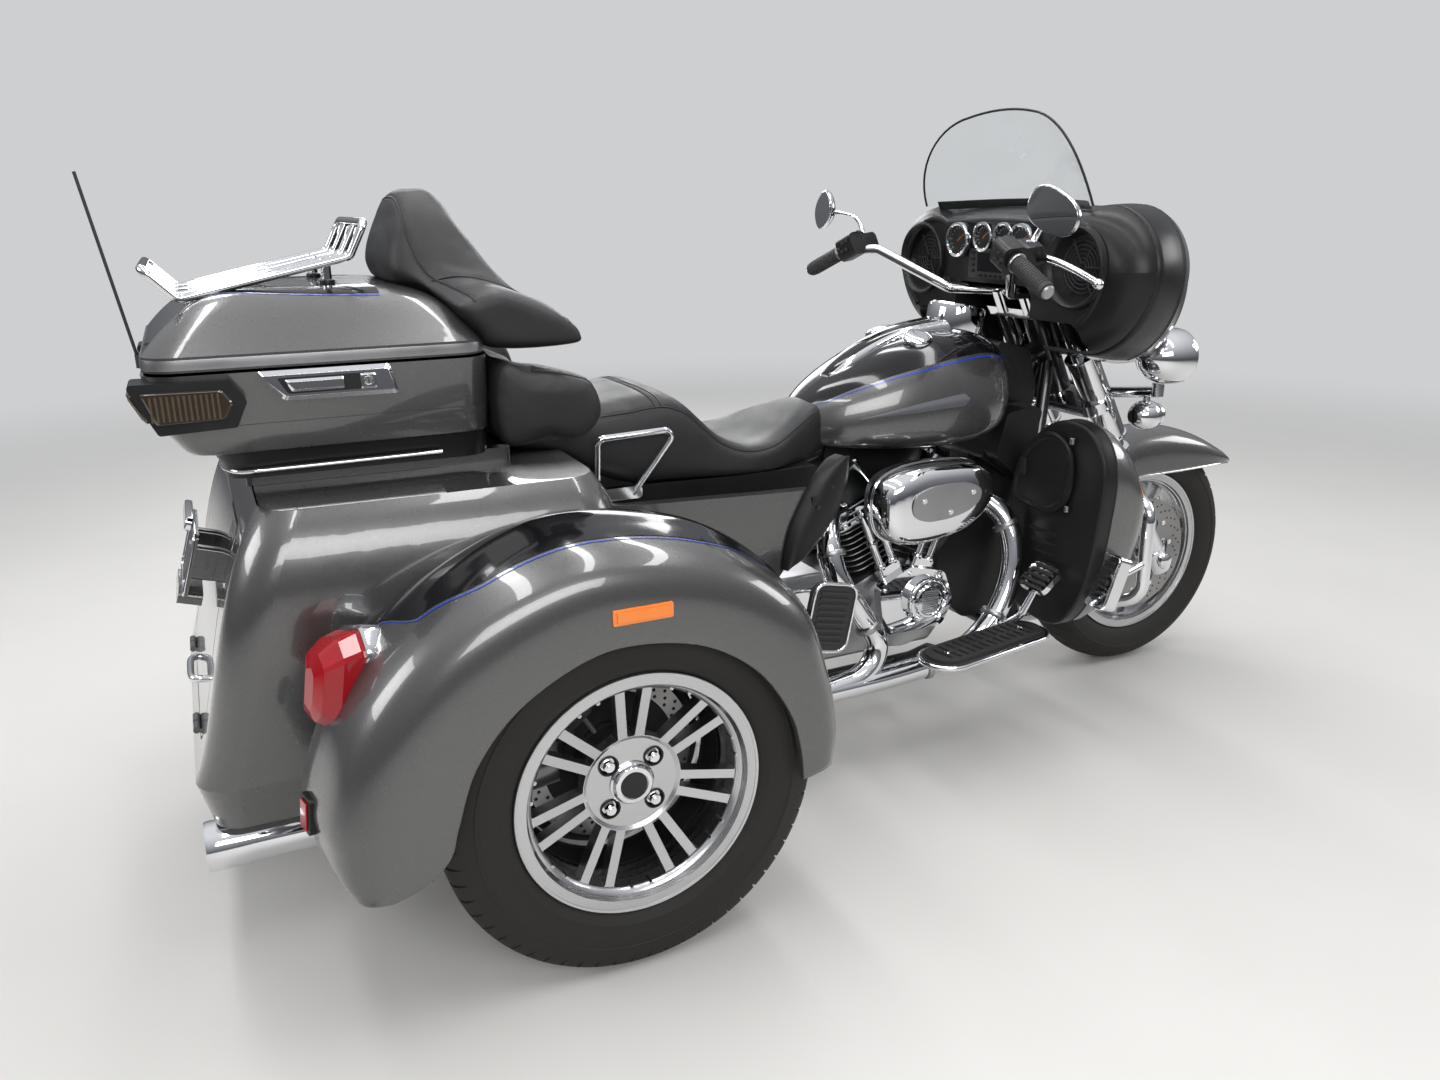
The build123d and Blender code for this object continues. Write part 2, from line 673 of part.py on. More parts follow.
# Boot: hollow tub with a drop-down door in its rear face
with BuildPart() as boot_tub:
    add(boot_solid.part)
    with BuildPart(mode=Mode.PRIVATE) as boot_space:
        boot_shape(WALL)
        with BuildSketch(level(300)):
            Rectangle(2000, 2000)
        extrude(amount=104, mode=Mode.SUBTRACT)
        with BuildSketch(side(500)):
            with BuildLine():
                Polyline((-184, 200), (-184, 400), (-122, 476), (200, 526), (200, 200), (-184, 200))
            make_face()
        extrude(amount=1000, mode=Mode.SUBTRACT)
    add(boot_space.part, mode=Mode.SUBTRACT)
    with BuildSketch(level(262)) as well_low:
        with Locations((-405, 0)):
            RectangleRounded(424, 2 * 346, 45)
    with BuildSketch(level(412)) as well_high:
        with Locations((-408, 0)):
            RectangleRounded(418, 2 * 372, 56)
    loft([well_low.sketch, well_high.sketch], mode=Mode.SUBTRACT)
    # Room for the axle under the floor
    with BuildSketch(side(500)):
        with BuildLine():
            Polyline((-190, 200), (-190, 396), (-120, 470), (200, 520), (200, 200), (-190, 200))
        make_face()
    extrude(amount=1000, mode=Mode.SUBTRACT)
    with BuildSketch(cross(-720)):
        with Locations((0, (DOOR_LOW_Z + DOOR_TOP_Z) / 2)):
            RectangleRounded(2 * DOOR_HALF + 10, DOOR_TOP_Z - DOOR_LOW_Z + 10, 45)
    extrude(amount=280, mode=Mode.SUBTRACT)
    # Hinge barrels for the door, and room for the door's own
    for flip in (-1, 1):
        with BuildSketch(side(flip * 180 + 17)):
            with Locations((DOOR_HINGE_X, DOOR_LOW_Z)):
                Circle(BARREL_R + BARREL_GAP)
        extrude(amount=34, mode=Mode.SUBTRACT)
        tube([(DOOR_HINGE_X, flip * 198, DOOR_LOW_Z), (DOOR_HINGE_X, flip * 226, DOOR_LOW_Z)], BARREL_R, 0)
    add(frame.part, mode=Mode.SUBTRACT)
save(boot_tub.part, "boot_tub")

with BuildPart() as boot_door:
    boot_shape(0)
    with BuildPart(mode=Mode.PRIVATE) as door_inside:
        boot_shape(DOOR_DEPTH)
        with BuildSketch(level(300)):
            Rectangle(2000, 2000)
        extrude(amount=60, mode=Mode.SUBTRACT)
    add(door_inside.part, mode=Mode.SUBTRACT)
    with BuildSketch(cross(-720)):
        with Locations((0, (DOOR_LOW_Z + DOOR_TOP_Z) / 2)):
            RectangleRounded(2 * DOOR_HALF, DOOR_TOP_Z - DOOR_LOW_Z, 40)
    extrude(amount=280, mode=Mode.INTERSECT)
    # Plate holder: a panel stood off the door on two posts, with a lamp bar under it
    holder = Plane(origin=at(-604, 0, 632), x_dir=(0, 1, 0), z_dir=(-0.955, 0, 0.297))
    with BuildSketch(holder):
        RectangleRounded(200, 112, 8)
    extrude(amount=-4)
    with BuildSketch(holder.offset(-4)):
        with Locations((-60, 0), (60, 0)):
            RectangleRounded(24, 60, 6)
    extrude(amount=-44)
    with BuildSketch(holder.offset(10)):
        with Locations((0, 66)):
            RectangleRounded(150, 22, 8)
    extrude(amount=-40)
    for flip in (-1, 1):
        with BuildSketch(side(flip * 212 + 16)):
            with Locations((DOOR_HINGE_X, DOOR_LOW_Z)):
                Circle(BARREL_R + BARREL_GAP)
        extrude(amount=32, mode=Mode.SUBTRACT)
        tube([(DOOR_HINGE_X, flip * 164, DOOR_LOW_Z), (DOOR_HINGE_X, flip * 195, DOOR_LOW_Z)], BARREL_R, 0)
    add(boot_tub.part, mode=Mode.SUBTRACT)
save(boot_door.part, "boot_door")

# Tail lamps stand in the valley between boot and fender
with BuildPart() as tail_lamps:
    for flip in (-1, 1):
        with BuildSketch(side(flip * 494 + 44)) as lens:
            with BuildLine():
                Polyline((-480, 484), (-446, 602), (-352, 618), (-346, 500), (-420, 462), (-480, 484))
            make_face()
            fillet(lens.vertices(), 8)
        extrude(amount=88)
    fillet(tail_lamps.faces().filter_by(Axis.Y).edges(), 5)
    add(boot_solid.part, mode=Mode.SUBTRACT)
save(tail_lamps.part, "tail_lamps")

# Rear fenders: arched shells beside the boot, open below and over the wheel
ARCH_X, ARCH_Z, ARCH_R = -15.0, 308.0, 287.0
FENDER_WALL = 6.0


def fender_outline():
    """Side outline of a rear fender with the wheel arch cut out of its lower edge."""
    with BuildLine() as outline:
        Line((272, 312), (362, 330))
        crown = ThreePointArc((300, 619), (-14, 756), (-150, 734))
        TangentArc((300, 619), (362, 330), tangent=-(crown % 0))
        rear = TangentArc((-150, 734), (-484, 404), tangent=crown % 1)
        TangentArc((-484, 404), (-472, 296), tangent=rear % 1)
        Line((-472, 296), (-392, 270))
        Line((-392, 270), (ARCH_X - ARCH_R, 312))
        ThreePointArc((ARCH_X - ARCH_R, 312), (ARCH_X, ARCH_Z + ARCH_R), (272, 312))
    make_face(outline.edges())


with BuildPart() as rear_fenders:
    with BuildSketch(side(-392)):
        fender_outline()
    extrude(amount=BODY_HALF_WIDTH - 392)
    crown = rear_fenders.faces().sort_by(Axis.Y)[0].edges().filter_by(
        lambda edge: edge.center().Z > 400 and (edge.center() - Vector(*at(-14, -690, 320))).length > 340
    )
    fillet(crown, 56)
    with BuildSketch(side(-386)):
        with Locations((0, REAR_AXLE_Z)):
            Circle(346)
        with BuildLine():
            Polyline((-462, 200), (-478, 380), (-300, 380), (-300, 200), (-462, 200))
        make_face()
        with Locations((0, 250)):
            Rectangle(692, 140)
    extrude(amount=BODY_HALF_WIDTH - 386 - FENDER_WALL, mode=Mode.SUBTRACT)
    with BuildSketch(side(-386)):
        fender_outline()
        offset(amount=-FENDER_WALL)
    extrude(amount=BODY_HALF_WIDTH - 386 - 50, mode=Mode.SUBTRACT)
    mirror(about=Plane.XZ)
    add(boot_solid.part, mode=Mode.SUBTRACT)
    add(tail_lamps.part, mode=Mode.SUBTRACT)
save(rear_fenders.part, "rear_fenders")

# Carrier between the boot and the top box
with BuildPart() as box_carrier:
    for flip in (-1, 1):
        with BuildSketch(level(BOOT_TOP_Z)):
            with Locations((-280, flip * 190)):
                RectangleRounded(440, 26, 8)
        extrude(amount=BOX_FLOOR_Z - BOOT_TOP_Z)
    for x in (-440, -120):
        with BuildSketch(level(BOOT_TOP_Z)):
            with Locations((x, 0)):
                RectangleRounded(30, 400, 8)
        extrude(amount=BOX_FLOOR_Z - BOOT_TOP_Z)
save(box_carrier.part, "box_carrier")

# Top box: tub, corner lamps, lid with rack, backrest
LID_HINGE_Y = 302.0
LID_HINGE_Z = 984.5
LID_BARREL_R = 7.0
BOX_SECTIONS = (
    # z, rear x, front x, half width
    (BOX_FLOOR_Z, -519, -99, 226),
    (892, -560, -102, 258),
    (898, -606, -102, 276),
    (BOX_SEAM_Z, -627, -105, 291),
)


def box_shape(inset):
    """Loft the tub's outer form, or the same form set in by a wall."""
    sections = []
    for z, rear, front, half in BOX_SECTIONS:
        height = z + inset if z == BOX_FLOOR_Z else z
        with BuildSketch(level(height)) as plan:
            with Locations(((rear + front) / 2, 0)):
                RectangleRounded(front - rear - 2 * inset, 2 * (half - inset), 50 - inset)
        sections.append(plan.sketch)
    loft(sections, ruled=True)


with BuildPart() as box_lamps:
    for flip in (-1, 1):
        with BuildSketch(side(flip * 270 + 36)) as lamp_side:
            with BuildLine():
                Polyline((-648, 976), (-508, 974), (-486, 940), (-504, 902), (-612, 898), (-648, 976))
            make_face()
            fillet(lamp_side.vertices(), 6)
        extrude(amount=72)
    with BuildPart(mode=Mode.PRIVATE) as lamp_room:
        box_shape(WALL)
    add(lamp_room.part, mode=Mode.SUBTRACT)
save(box_lamps.part, "box_lamps")

with BuildPart() as box_tub:
    box_shape(0)
    with BuildPart(mode=Mode.PRIVATE) as box_space:
        box_shape(WALL)
    add(box_space.part, mode=Mode.SUBTRACT)
    # Latch plate on the right side
    with BuildSketch(side(-276)):
        with BuildLine():
            Polyline((-466, 978), (-430, 940), (-266, 938), (-276, 978), (-466, 978))
        make_face()
    extrude(amount=24)
    # Leaves and barrels of the lid's hinge, on the left
    for x in (-413, -243):
        with BuildSketch(level(966)):
            with Locations((x, 296)):
                Rectangle(30, 14)
        extrude(amount=15)
        tube([(x - 15, LID_HINGE_Y, LID_HINGE_Z), (x + 15, LID_HINGE_Y, LID_HINGE_Z)], LID_BARREL_R, 0)
    add(box_space.part, mode=Mode.SUBTRACT)
    add(box_lamps.part, mode=Mode.SUBTRACT)
save(box_tub.part, "box_tub")

LID_Z = BOX_SEAM_Z + LID_GAP
LID_SECTIONS = (
    # z, rear x, front x, half width
    (1010, -622, -112, 292),
    (1068, -560, -160, 236),
    (1096, -480, -240, 150),
)


def lid_shape(inset):
    """Loft the lid's crown over a straight rim, or the same form set in by a wall."""
    with BuildSketch(level(LID_Z)) as rim:
        with Locations((-367, 0)):
            RectangleRounded(514 - 2 * inset, 586 - 2 * inset, 50 - inset)
    extrude(rim.sketch, amount=23)
    sections = []
    for z, rear, front, half in LID_SECTIONS:
        height = z - inset if z > 1010 else z
        with BuildSketch(level(height)) as plan:
            with Locations(((rear + front) / 2, 0)):
                RectangleRounded(front - rear - 2 * inset, 2 * (half - inset), 50 - inset)
        sections.append(plan.sketch)
    loft(sections)


with BuildPart() as box_lid:
    lid_shape(0)
    with BuildPart(mode=Mode.PRIVATE) as lid_space:
        lid_shape(WALL)
    for x in (-450, -280):
        with BuildSketch(level(988)):
            with Locations((x, 297)):
                Rectangle(40, 12)
        extrude(amount=16)
        tube([(x - 20, LID_HINGE_Y, LID_HINGE_Z), (x + 20, LID_HINGE_Y, LID_HINGE_Z)], LID_BARREL_R, 0)
    add(lid_space.part, mode=Mode.SUBTRACT)
save(box_lid.part, "box_lid")

with BuildPart() as antenna:
    tube([(-644, 222, 946), (-697, 222, 1284)], 3, 0)
    with BuildSketch(level(936)):
        with Locations((-638, 222)):
            RectangleRounded(24, 24, 8)
    extrude(amount=24)
    add(box_tub.part, mode=Mode.SUBTRACT)
    add(box_lamps.part, mode=Mode.SUBTRACT)
save(antenna.part, "antenna")

RACK_RUN = ((-606, 1132), (-560, 1084), (-296, 1142), (-268, 1196))
with BuildPart() as luggage_rack:
    # Closed outer loop with both ends turned up, inner bars, cross tubes and posts
    loop = [at(x, -152, z) for x, z in RACK_RUN] + [at(x, 152, z) for x, z in reversed(RACK_RUN)]
    with BuildLine() as rack_path:
        FilletPolyline(*loop, radius=14, close=True)
    rack_wire = rack_path.wires()[0]
    with BuildSketch(Plane(origin=rack_wire @ 0, z_dir=rack_wire % 0)) as rack_bar:
        Circle(7)
    sweep(rack_bar.sketch, path=rack_wire)
    for y in (-56, 56):
        tube([(x, y, z) for x, z in RACK_RUN], 5.5, 14)
    for x, z in ((-520, 1091), (-330, 1132)):
        tube([(x, -152, z), (x, 152, z)], 5, 0)
        for y in (-105, 105):
            with BuildSketch(level(z)):
                with Locations((x, y)):
                    Circle(8)
            extrude(amount=-60)
    add(box_lid.part, mode=Mode.SUBTRACT)
    add(lid_space.part, mode=Mode.SUBTRACT)
save(luggage_rack.part, "luggage_rack")

with BuildPart() as backrest:
    with BuildSketch(side(165)) as pad:
        with BuildLine():
            Polyline(
                (-244, 1104), (-236, 1160), (-196, 1244), (-168, 1252), (-130, 1236), (-52, 1110),
                (-16, 1000), (-30, 988), (-100, 988), (-160, 1070), (-244, 1104),
            )
        make_face()
        fillet(pad.vertices(), 10)
    extrude(amount=330)
    for flip in (-1, 1):
        with BuildSketch(side(flip * 222 + 76)) as wing:
            with BuildLine():
                Polyline((-160, 1058), (-96, 989), (56, 989), (62, 1010), (52, 1034), (-8, 1066),
                         (-90, 1092), (-160, 1058))
            make_face()
            fillet(wing.vertices(), 8)
        extrude(amount=152)
    add(box_lid.part, mode=Mode.SUBTRACT)
    add(lid_space.part, mode=Mode.SUBTRACT)
    add(luggage_rack.part, mode=Mode.SUBTRACT)
save(backrest.part, "backrest")

with BuildPart() as lower_backrest:
    with BuildSketch(level(832)) as cushion_plan:
        with BuildLine():
            Polyline(
                (-97, -326), (60, -326), (90, -290), (70, -236), (-20, -226), (-44, -190),
                (-44, 190), (-20, 226), (70, 236), (90, 290), (60, 326), (-97, 326), (-97, -326),
            )
        make_face()
        fillet(cushion_plan.vertices(), 12)
    extrude(amount=140)
    with BuildSketch(side(400)):
        with BuildLine():
            Polyline((-97, 832), (46, 832), (90, 880), (62, 944), (-97, 972), (-97, 832))
        make_face()
    extrude(amount=800, mode=Mode.INTERSECT)
    add(seat.part, mode=Mode.SUBTRACT)
    add(box_tub.part, mode=Mode.SUBTRACT)
save(lower_backrest.part, "lower_backrest")

# Footboards for rider and passenger, each on brackets to the cradle
BOARD_ANGLE = 10.0
with BuildPart() as footboards:
    for flip in (-1, 1):
        with BuildSketch(level(284)):
            with Locations((928, flip * 342)):
                SlotOverall(352, 108, rotation=-flip * BOARD_ANGLE)
        extrude(amount=10)
        with BuildSketch(level(294)):
            with Locations((928, flip * 342)):
                SlotOverall(330, 88, rotation=-flip * BOARD_ANGLE)
        extrude(amount=8)
        for x in (850, 1010):
            tube([(x, flip * 128, 184), (x, flip * 240, 262), (x, flip * 330, 280)], 9, 20)
        # Passenger board, folded up
        with BuildSketch(side(flip * 336 + 10)):
            with Locations((530, 424)):
                RectangleRounded(96, 140, 26, rotation=-12)
        extrude(amount=20)
        tube([(500, flip * 116, 330), (510, flip * 326, 360)], 10, 0)
    add(exhaust.part, mode=Mode.SUBTRACT)
    add(frame.part, mode=Mode.SUBTRACT)
    add(drive_covers.part, mode=Mode.SUBTRACT)
    add(engine_cases.part, mode=Mode.SUBTRACT)
save(footboards.part, "footboards")

with BuildPart() as foot_controls:
    # Brake pedal on the right, heel-and-toe shifter on the left
    tube([(1030, -236, 262), (1060, -300, 320), (1110, -306, 404)], 8, 20)
    with BuildSketch(along(1108, -306, 400, 40)):
        RectangleRounded(70, 84, 14)
    extrude(amount=14)
    tube([(930, 236, 262), (1000, 262, 330), (1100, 300, 372)], 8, 20)
    for x, z in ((1096, 372), (840, 352)):
        tube([(x, 296, z), (x, 372, z)], 12, 0)
    tube([(1096, 300, 372), (960, 300, 318), (840, 300, 352)], 7, 20)
    add(footboards.part, mode=Mode.SUBTRACT)
    add(exhaust.part, mode=Mode.SUBTRACT)
save(foot_controls.part, "foot_controls")

# Engine guard with foot pegs, ahead of the lower fairings
with BuildPart() as engine_guard:
    for flip in (-1, 1):
        tube(
            [
                (1262, flip * 84, 470), (1336, flip * 170, 640), (1336, flip * 384, 560),
                (1330, flip * 392, 350),
                (1206, flip * 124, 232),
            ],
            15, 50,
        )
        tube([(1330, flip * 388, 430), (1196, flip * 424, 420)], 9, 0)
        with BuildSketch(Plane(origin=at(1190, flip * 424, 420), x_dir=(0, 1, 0), z_dir=(-0.94, 0, 0.34))):
            RectangleRounded(62, 124, 12)
        extrude(amount=16, both=True)
    add(frame.part, mode=Mode.SUBTRACT)
save(engine_guard.part, "engine_guard")

# Lower fairings: leg shields with a glove box facing the rider
LEG_SHIELD_X = 1142.0
GLOVE_OUTLINE = ((-162, 572), (-196, 684), (-276, 730), (-338, 700), (-338, 600), (-292, 556))
GLOVE_PIN_X, GLOVE_PIN_Y, GLOVE_PIN_R = 1132.5, 340.0, 2.5
with BuildPart() as lower_fairings:
    with BuildSketch(cross(LEG_SHIELD_X)) as shield:
        with BuildLine():
            Polyline(
                (-150, 320), (-148, 600), (-200, 712), (-282, 762), (-384, 756), (-430, 680), (-424, 560),
                (-392, 380), (-316, 280), (-150, 320),
            )
        make_face()
        fillet(shield.vertices(), 26)
    extrude(amount=168)
    with BuildSketch(side(500)) as shield_side:
        with BuildLine():
            Polyline((1142, 270), (1142, 780), (1216, 780), (1264, 690), (1306, 560), (1300, 430),
                     (1236, 270), (1142, 270))
        make_face()
        fillet(shield_side.vertices(), 30)
    extrude(amount=1000, mode=Mode.INTERSECT)
    # Storage pocket behind the door
    with BuildSketch(cross(LEG_SHIELD_X)) as pocket:
        Polygon(*GLOVE_OUTLINE, align=None)
        fillet(pocket.vertices(), 30)
    extrude(amount=86, mode=Mode.SUBTRACT)
    # Lugs and pin of the door's hinge
    for z in (566, 718):
        with BuildSketch(level(z)):
            with Locations((GLOVE_PIN_X + 2, -GLOVE_PIN_Y)):
                Rectangle(23, 14)
        extrude(amount=12)
    with BuildSketch(level(570)):
        with Locations((GLOVE_PIN_X, -GLOVE_PIN_Y)):
            Circle(GLOVE_PIN_R)
    extrude(amount=156)
    mirror(about=Plane.XZ)
    add(engine_guard.part, mode=Mode.SUBTRACT)
    add(frame.part, mode=Mode.SUBTRACT)
save(lower_fairings.part, "lower_fairings")

for suffix, flip in (("right", 1), ("left", -1)):
    with BuildPart() as glove_door:
        with BuildSketch(cross(LEG_SHIELD_X - 14)) as door_outline:
            Polygon(*[(flip * y, z) for y, z in GLOVE_OUTLINE], align=None)
            fillet(door_outline.vertices(), 30)
            offset(amount=8)
        extrude(amount=9)
        fillet(glove_door.faces().sort_by(Axis.X)[0].edges(), 4)
        with BuildSketch(level(500)):
            with Locations((GLOVE_PIN_X, -flip * GLOVE_PIN_Y)):
                Circle(GLOVE_PIN_R + 0.3)
        extrude(amount=400, mode=Mode.SUBTRACT)
    save(glove_door.part, f"glove_door_{suffix}")

# Fork: legs, two clamps, stem, axle and calipers
CLAMP_LOW_Z = HEAD_LOW_Z - 22
CLAMP_TOP_Z = HEAD_TOP_Z + 6
with BuildPart() as fork:
    for flip in (-1, 1):
        leg_y = flip * FORK_LEG_Y
        with BuildSketch(along(FRONT_AXLE_X, leg_y, FRONT_AXLE_Z, FORK_LEAN).offset(-34)):
            Circle(30)
        extrude(amount=400)
        with BuildSketch(along(FRONT_AXLE_X, leg_y, FRONT_AXLE_Z, FORK_LEAN).offset(366)):
            Circle(25)
        extrude(amount=60)
        with BuildSketch(along(FRONT_AXLE_X, leg_y, FRONT_AXLE_Z, FORK_LEAN).offset(400)):
            Circle(37)
        extrude(amount=240)
        with BuildSketch(along(FRONT_AXLE_X, leg_y, FRONT_AXLE_Z, FORK_LEAN).offset(640)):
            Circle(25)
        extrude(amount=130)
        # Caliper with its slot over the disc
        with BuildSketch(side(flip * 70 + 24)):
            with Locations((FRONT_AXLE_X - 96, FRONT_AXLE_Z + 92)):
                RectangleRounded(66, 104, 14, rotation=42)
        extrude(amount=48)
    for z, thickness in ((CLAMP_LOW_Z - 16, 28), (CLAMP_TOP_Z, 24)):
        with BuildSketch(along(rake_x(z), 0, z, RAKE)):
            SlotOverall(310, 78, rotation=90)
        extrude(amount=thickness)
    with BuildSketch(along(rake_x(CLAMP_LOW_Z), 0, CLAMP_LOW_Z, RAKE)):
        Circle(STEM_R)
    extrude(amount=(CLAMP_TOP_Z - CLAMP_LOW_Z) / cos(radians(RAKE)) + 10)
    for outward in (-1, 1):
        with BuildSketch(wheel_plane(FRONT_AXLE_X, outward * FRONT_DISC_Y, FRONT_AXLE_Z, outward)):
            with Locations((0, 79)):
                Rectangle(15, 158)
        revolve(axis=axle_axis(*front_centre), mode=Mode.SUBTRACT)
    tube([(FRONT_AXLE_X, -152, FRONT_AXLE_Z), (FRONT_AXLE_X, 152, FRONT_AXLE_Z)], 12.5, 0)
save(fork.part, "fork")

# Front fender: a crowned section turned about the axle, then about a lower centre for the nose
FENDER_TOP_Z = 650.0
FENDER_HALF = 81.0
NOSE_CENTRE_Z = 142.0


def fender_section():
    """Arch section of the front fender above the axle."""
    inner = FENDER_HALF - 5
    with BuildSketch(cross(FRONT_AXLE_X)) as arch:
        with BuildLine() as outline:
            Line((-FENDER_HALF, 420), (-FENDER_HALF, 592))
            ThreePointArc((-FENDER_HALF, 592), (-60, 632), (0, FENDER_TOP_Z))
            ThreePointArc((0, FENDER_TOP_Z), (60, 632), (FENDER_HALF, 592))
            Polyline((FENDER_HALF, 592), (FENDER_HALF, 420), (inner, 420), (inner, 590))
            ThreePointArc((inner, 590), (56, 628), (0, FENDER_TOP_Z - 5))
            ThreePointArc((0, FENDER_TOP_Z - 5), (-56, 628), (-inner, 590))
            Polyline((-inner, 590), (-inner, 420), (-FENDER_HALF, 420))
        make_face(outline.edges())
    return arch.sketch


with BuildPart() as front_fender:
    revolve(fender_section(), axis=Axis(at(FRONT_AXLE_X, 0, FRONT_AXLE_Z), (0, -1, 0)), revolution_arc=96)
    revolve(fender_section(), axis=Axis(at(FRONT_AXLE_X, 0, NOSE_CENTRE_Z), (0, 1, 0)), revolution_arc=43.2)
    with BuildSketch(side(200)):
        with BuildLine():
            Polyline((1600, 532), (1940, 532), (2030, 506), (2060, 700), (1300, 700), (1300, 284),
                     (1372, 284))
            ThreePointArc((1372, 284), (1450, 452), (1600, 532))
        make_face()
    extrude(amount=400, mode=Mode.INTERSECT)
    add(fork.part, mode=Mode.SUBTRACT)
save(front_fender.part, "front_fender")

# Fairing: outer shell from the rider's edge to the nose, all carried by the fork
FAIRING_SECTIONS = (
    # x, half width, top z, shoulder z, bottom z
    (1232, 430, 1205, 1080, 892),
    (1330, 404, 1210, 1068, 866),
    (1436, 326, 1192, 1040, 850),
    (1500, 214, 1130, 1000, 862),
)


def fairing_face(x, half, top, shoulder, bottom):
    """Wide rounded outline of the fairing across the vehicle."""
    with BuildSketch(cross(x)) as outline:
        with BuildLine() as edge:
            ThreePointArc((-0.52 * half, top - 8), (0, top), (0.52 * half, top - 8))
            ThreePointArc((0.52 * half, top - 8), (0.9 * half, top - 0.3 * (top - shoulder)),
                          (half, shoulder))
            ThreePointArc((half, shoulder), (0.9 * half, bottom + 0.42 * (shoulder - bottom)),
                          (0.5 * half, bottom))
            Line((0.5 * half, bottom), (-0.5 * half, bottom))
            ThreePointArc((-0.5 * half, bottom), (-0.9 * half, bottom + 0.42 * (shoulder - bottom)),
                          (-half, shoulder))
            ThreePointArc((-half, shoulder), (-0.9 * half, top - 0.3 * (top - shoulder)),
                          (-0.52 * half, top - 8))
        make_face(edge.edges())
    return outline.sketch


def fairing_shape(inset):
    """Loft the fairing's outer form, or the same form set in by a wall."""
    sections = []
    for x, half, top, shoulder, bottom in FAIRING_SECTIONS:
        nose = inset if x == FAIRING_SECTIONS[-1][0] else 0
        sections.append(fairing_face(x - nose, half - inset, top - inset, shoulder, bottom + inset))
    loft(sections)


HEADLAMP_Z = 948.0
LAMP_R = 92.0
with BuildPart() as fairing_outer:
    fairing_shape(0)
    with BuildPart(mode=Mode.PRIVATE) as fairing_space:
        fairing_shape(7)
    add(fairing_space.part, mode=Mode.SUBTRACT)
    with BuildSketch(cross(1420)):
        with Locations((0, HEADLAMP_Z)):
            Circle(LAMP_R)
    extrude(amount=200, mode=Mode.SUBTRACT)
    # Slots in the bottom for the legs and the steering head
    for flip in (-1, 1):
        with BuildSketch(along(FRONT_AXLE_X, flip * FORK_LEG_Y, FRONT_AXLE_Z, FORK_LEAN).offset(540)):
            Circle(48)
        extrude(amount=240, mode=Mode.SUBTRACT)
    with BuildSketch(level(830)):
        with Locations((1322, 0)):
            Rectangle(184, 230)
    extrude(amount=70, mode=Mode.SUBTRACT)
save(fairing_outer.part, "fairing_outer")

# Inner fairing facing the rider: speakers, gauges, and a notch for the bars
DASH_X = 1166.0
SPEAKER_Y = 272.0
SPEAKER_Z = 1084.0
with BuildPart() as fairing_inner:
    loft([
        fairing_face(DASH_X, 352, 1178, 1078, 930),
        fairing_face(1192, 410, 1194, 1078, 906),
        fairing_face(1232, 430, 1205, 1080, 892),
    ])
    # Notch for the bars, and room over the tank when it is steered
    with BuildSketch(cross(1100)):
        with Locations((0, 940)):
            RectangleRounded(272, 190, 30)
        with Locations((0, 900)):
            RectangleRounded(580, 130, 30)
    extrude(amount=200, mode=Mode.SUBTRACT)
    for flip in (-1, 1):
        with BuildSketch(cross(1120)):
            with Locations((flip * SPEAKER_Y, SPEAKER_Z)):
                Circle(74)
        extrude(amount=72, mode=Mode.SUBTRACT)
        with BuildSketch(cross(1148)):
            with Locations((flip * 112, 1132)):
                Circle(40)
        extrude(amount=40)
        with BuildSketch(cross(1148)):
            with Locations((flip * 112, 1132)):
                Circle(33)
        extrude(amount=8, mode=Mode.SUBTRACT)
    with BuildSketch(cross(1160)):
        with Locations((0, 1080)):
            RectangleRounded(150, 62, 8)
    extrude(amount=12)
save(fairing_inner.part, "fairing_inner")

# Windscreen: a bent sheet leaning back from the fairing's top
SCREEN_LEAN = 24.0
SCREEN_R = 650.0
SCREEN_BASE_X = 1262.0
with BuildPart() as windscreen:
    screen_slope = radians(SCREEN_LEAN)
    screen_axis = along(
        SCREEN_BASE_X - SCREEN_R * cos(screen_slope), 0, 1196 - SCREEN_R * sin(screen_slope), SCREEN_LEAN
    )
    with BuildSketch(screen_axis.offset(-100)):
        Circle(SCREEN_R)
        Circle(SCREEN_R - 4, mode=Mode.SUBTRACT)
        with Locations((-SCREEN_R, 0)):
            Rectangle(2.5 * SCREEN_R, 3 * SCREEN_R, mode=Mode.SUBTRACT)
    extrude(amount=460)
    with BuildSketch(cross(900)):
        with BuildLine():
            Line((-290, 1208), (290, 1208))
            ThreePointArc((290, 1208), (236, 1340), (110, 1406))
            ThreePointArc((110, 1406), (0, 1417), (-110, 1406))
            ThreePointArc((-110, 1406), (-236, 1340), (-290, 1208))
        make_face()
    extrude(amount=600, mode=Mode.INTERSECT)
    add(fairing_outer.part, mode=Mode.SUBTRACT)
    add(fairing_inner.part, mode=Mode.SUBTRACT)
save(windscreen.part, "windscreen")

# Lamps: headlamp in the fairing's nose, spot lamps and turn signals on a bar
with BuildPart() as headlamp:
    with BuildSketch(side(0)):
        with BuildLine():
            Polyline((1436, HEADLAMP_Z), (1436, HEADLAMP_Z + 84), (1500, HEADLAMP_Z + 90),
                     (1512, HEADLAMP_Z + 90))
            ThreePointArc((1512, HEADLAMP_Z + 90), (1522, HEADLAMP_Z + 84), (1518, HEADLAMP_Z + 76))
            ThreePointArc((1518, HEADLAMP_Z + 76), (1533, HEADLAMP_Z + 40), (1540, HEADLAMP_Z + 6))
            Polyline((1540, HEADLAMP_Z + 6), (1540, HEADLAMP_Z), (1436, HEADLAMP_Z))
        make_face()
    revolve(axis=Axis(at(1400, 0, HEADLAMP_Z), (1, 0, 0)))
    with BuildSketch(cross(1380)):
        with Locations((0, HEADLAMP_Z)):
            Rectangle(60, 40)
    extrude(amount=60)
save(headlamp.part, "headlamp")

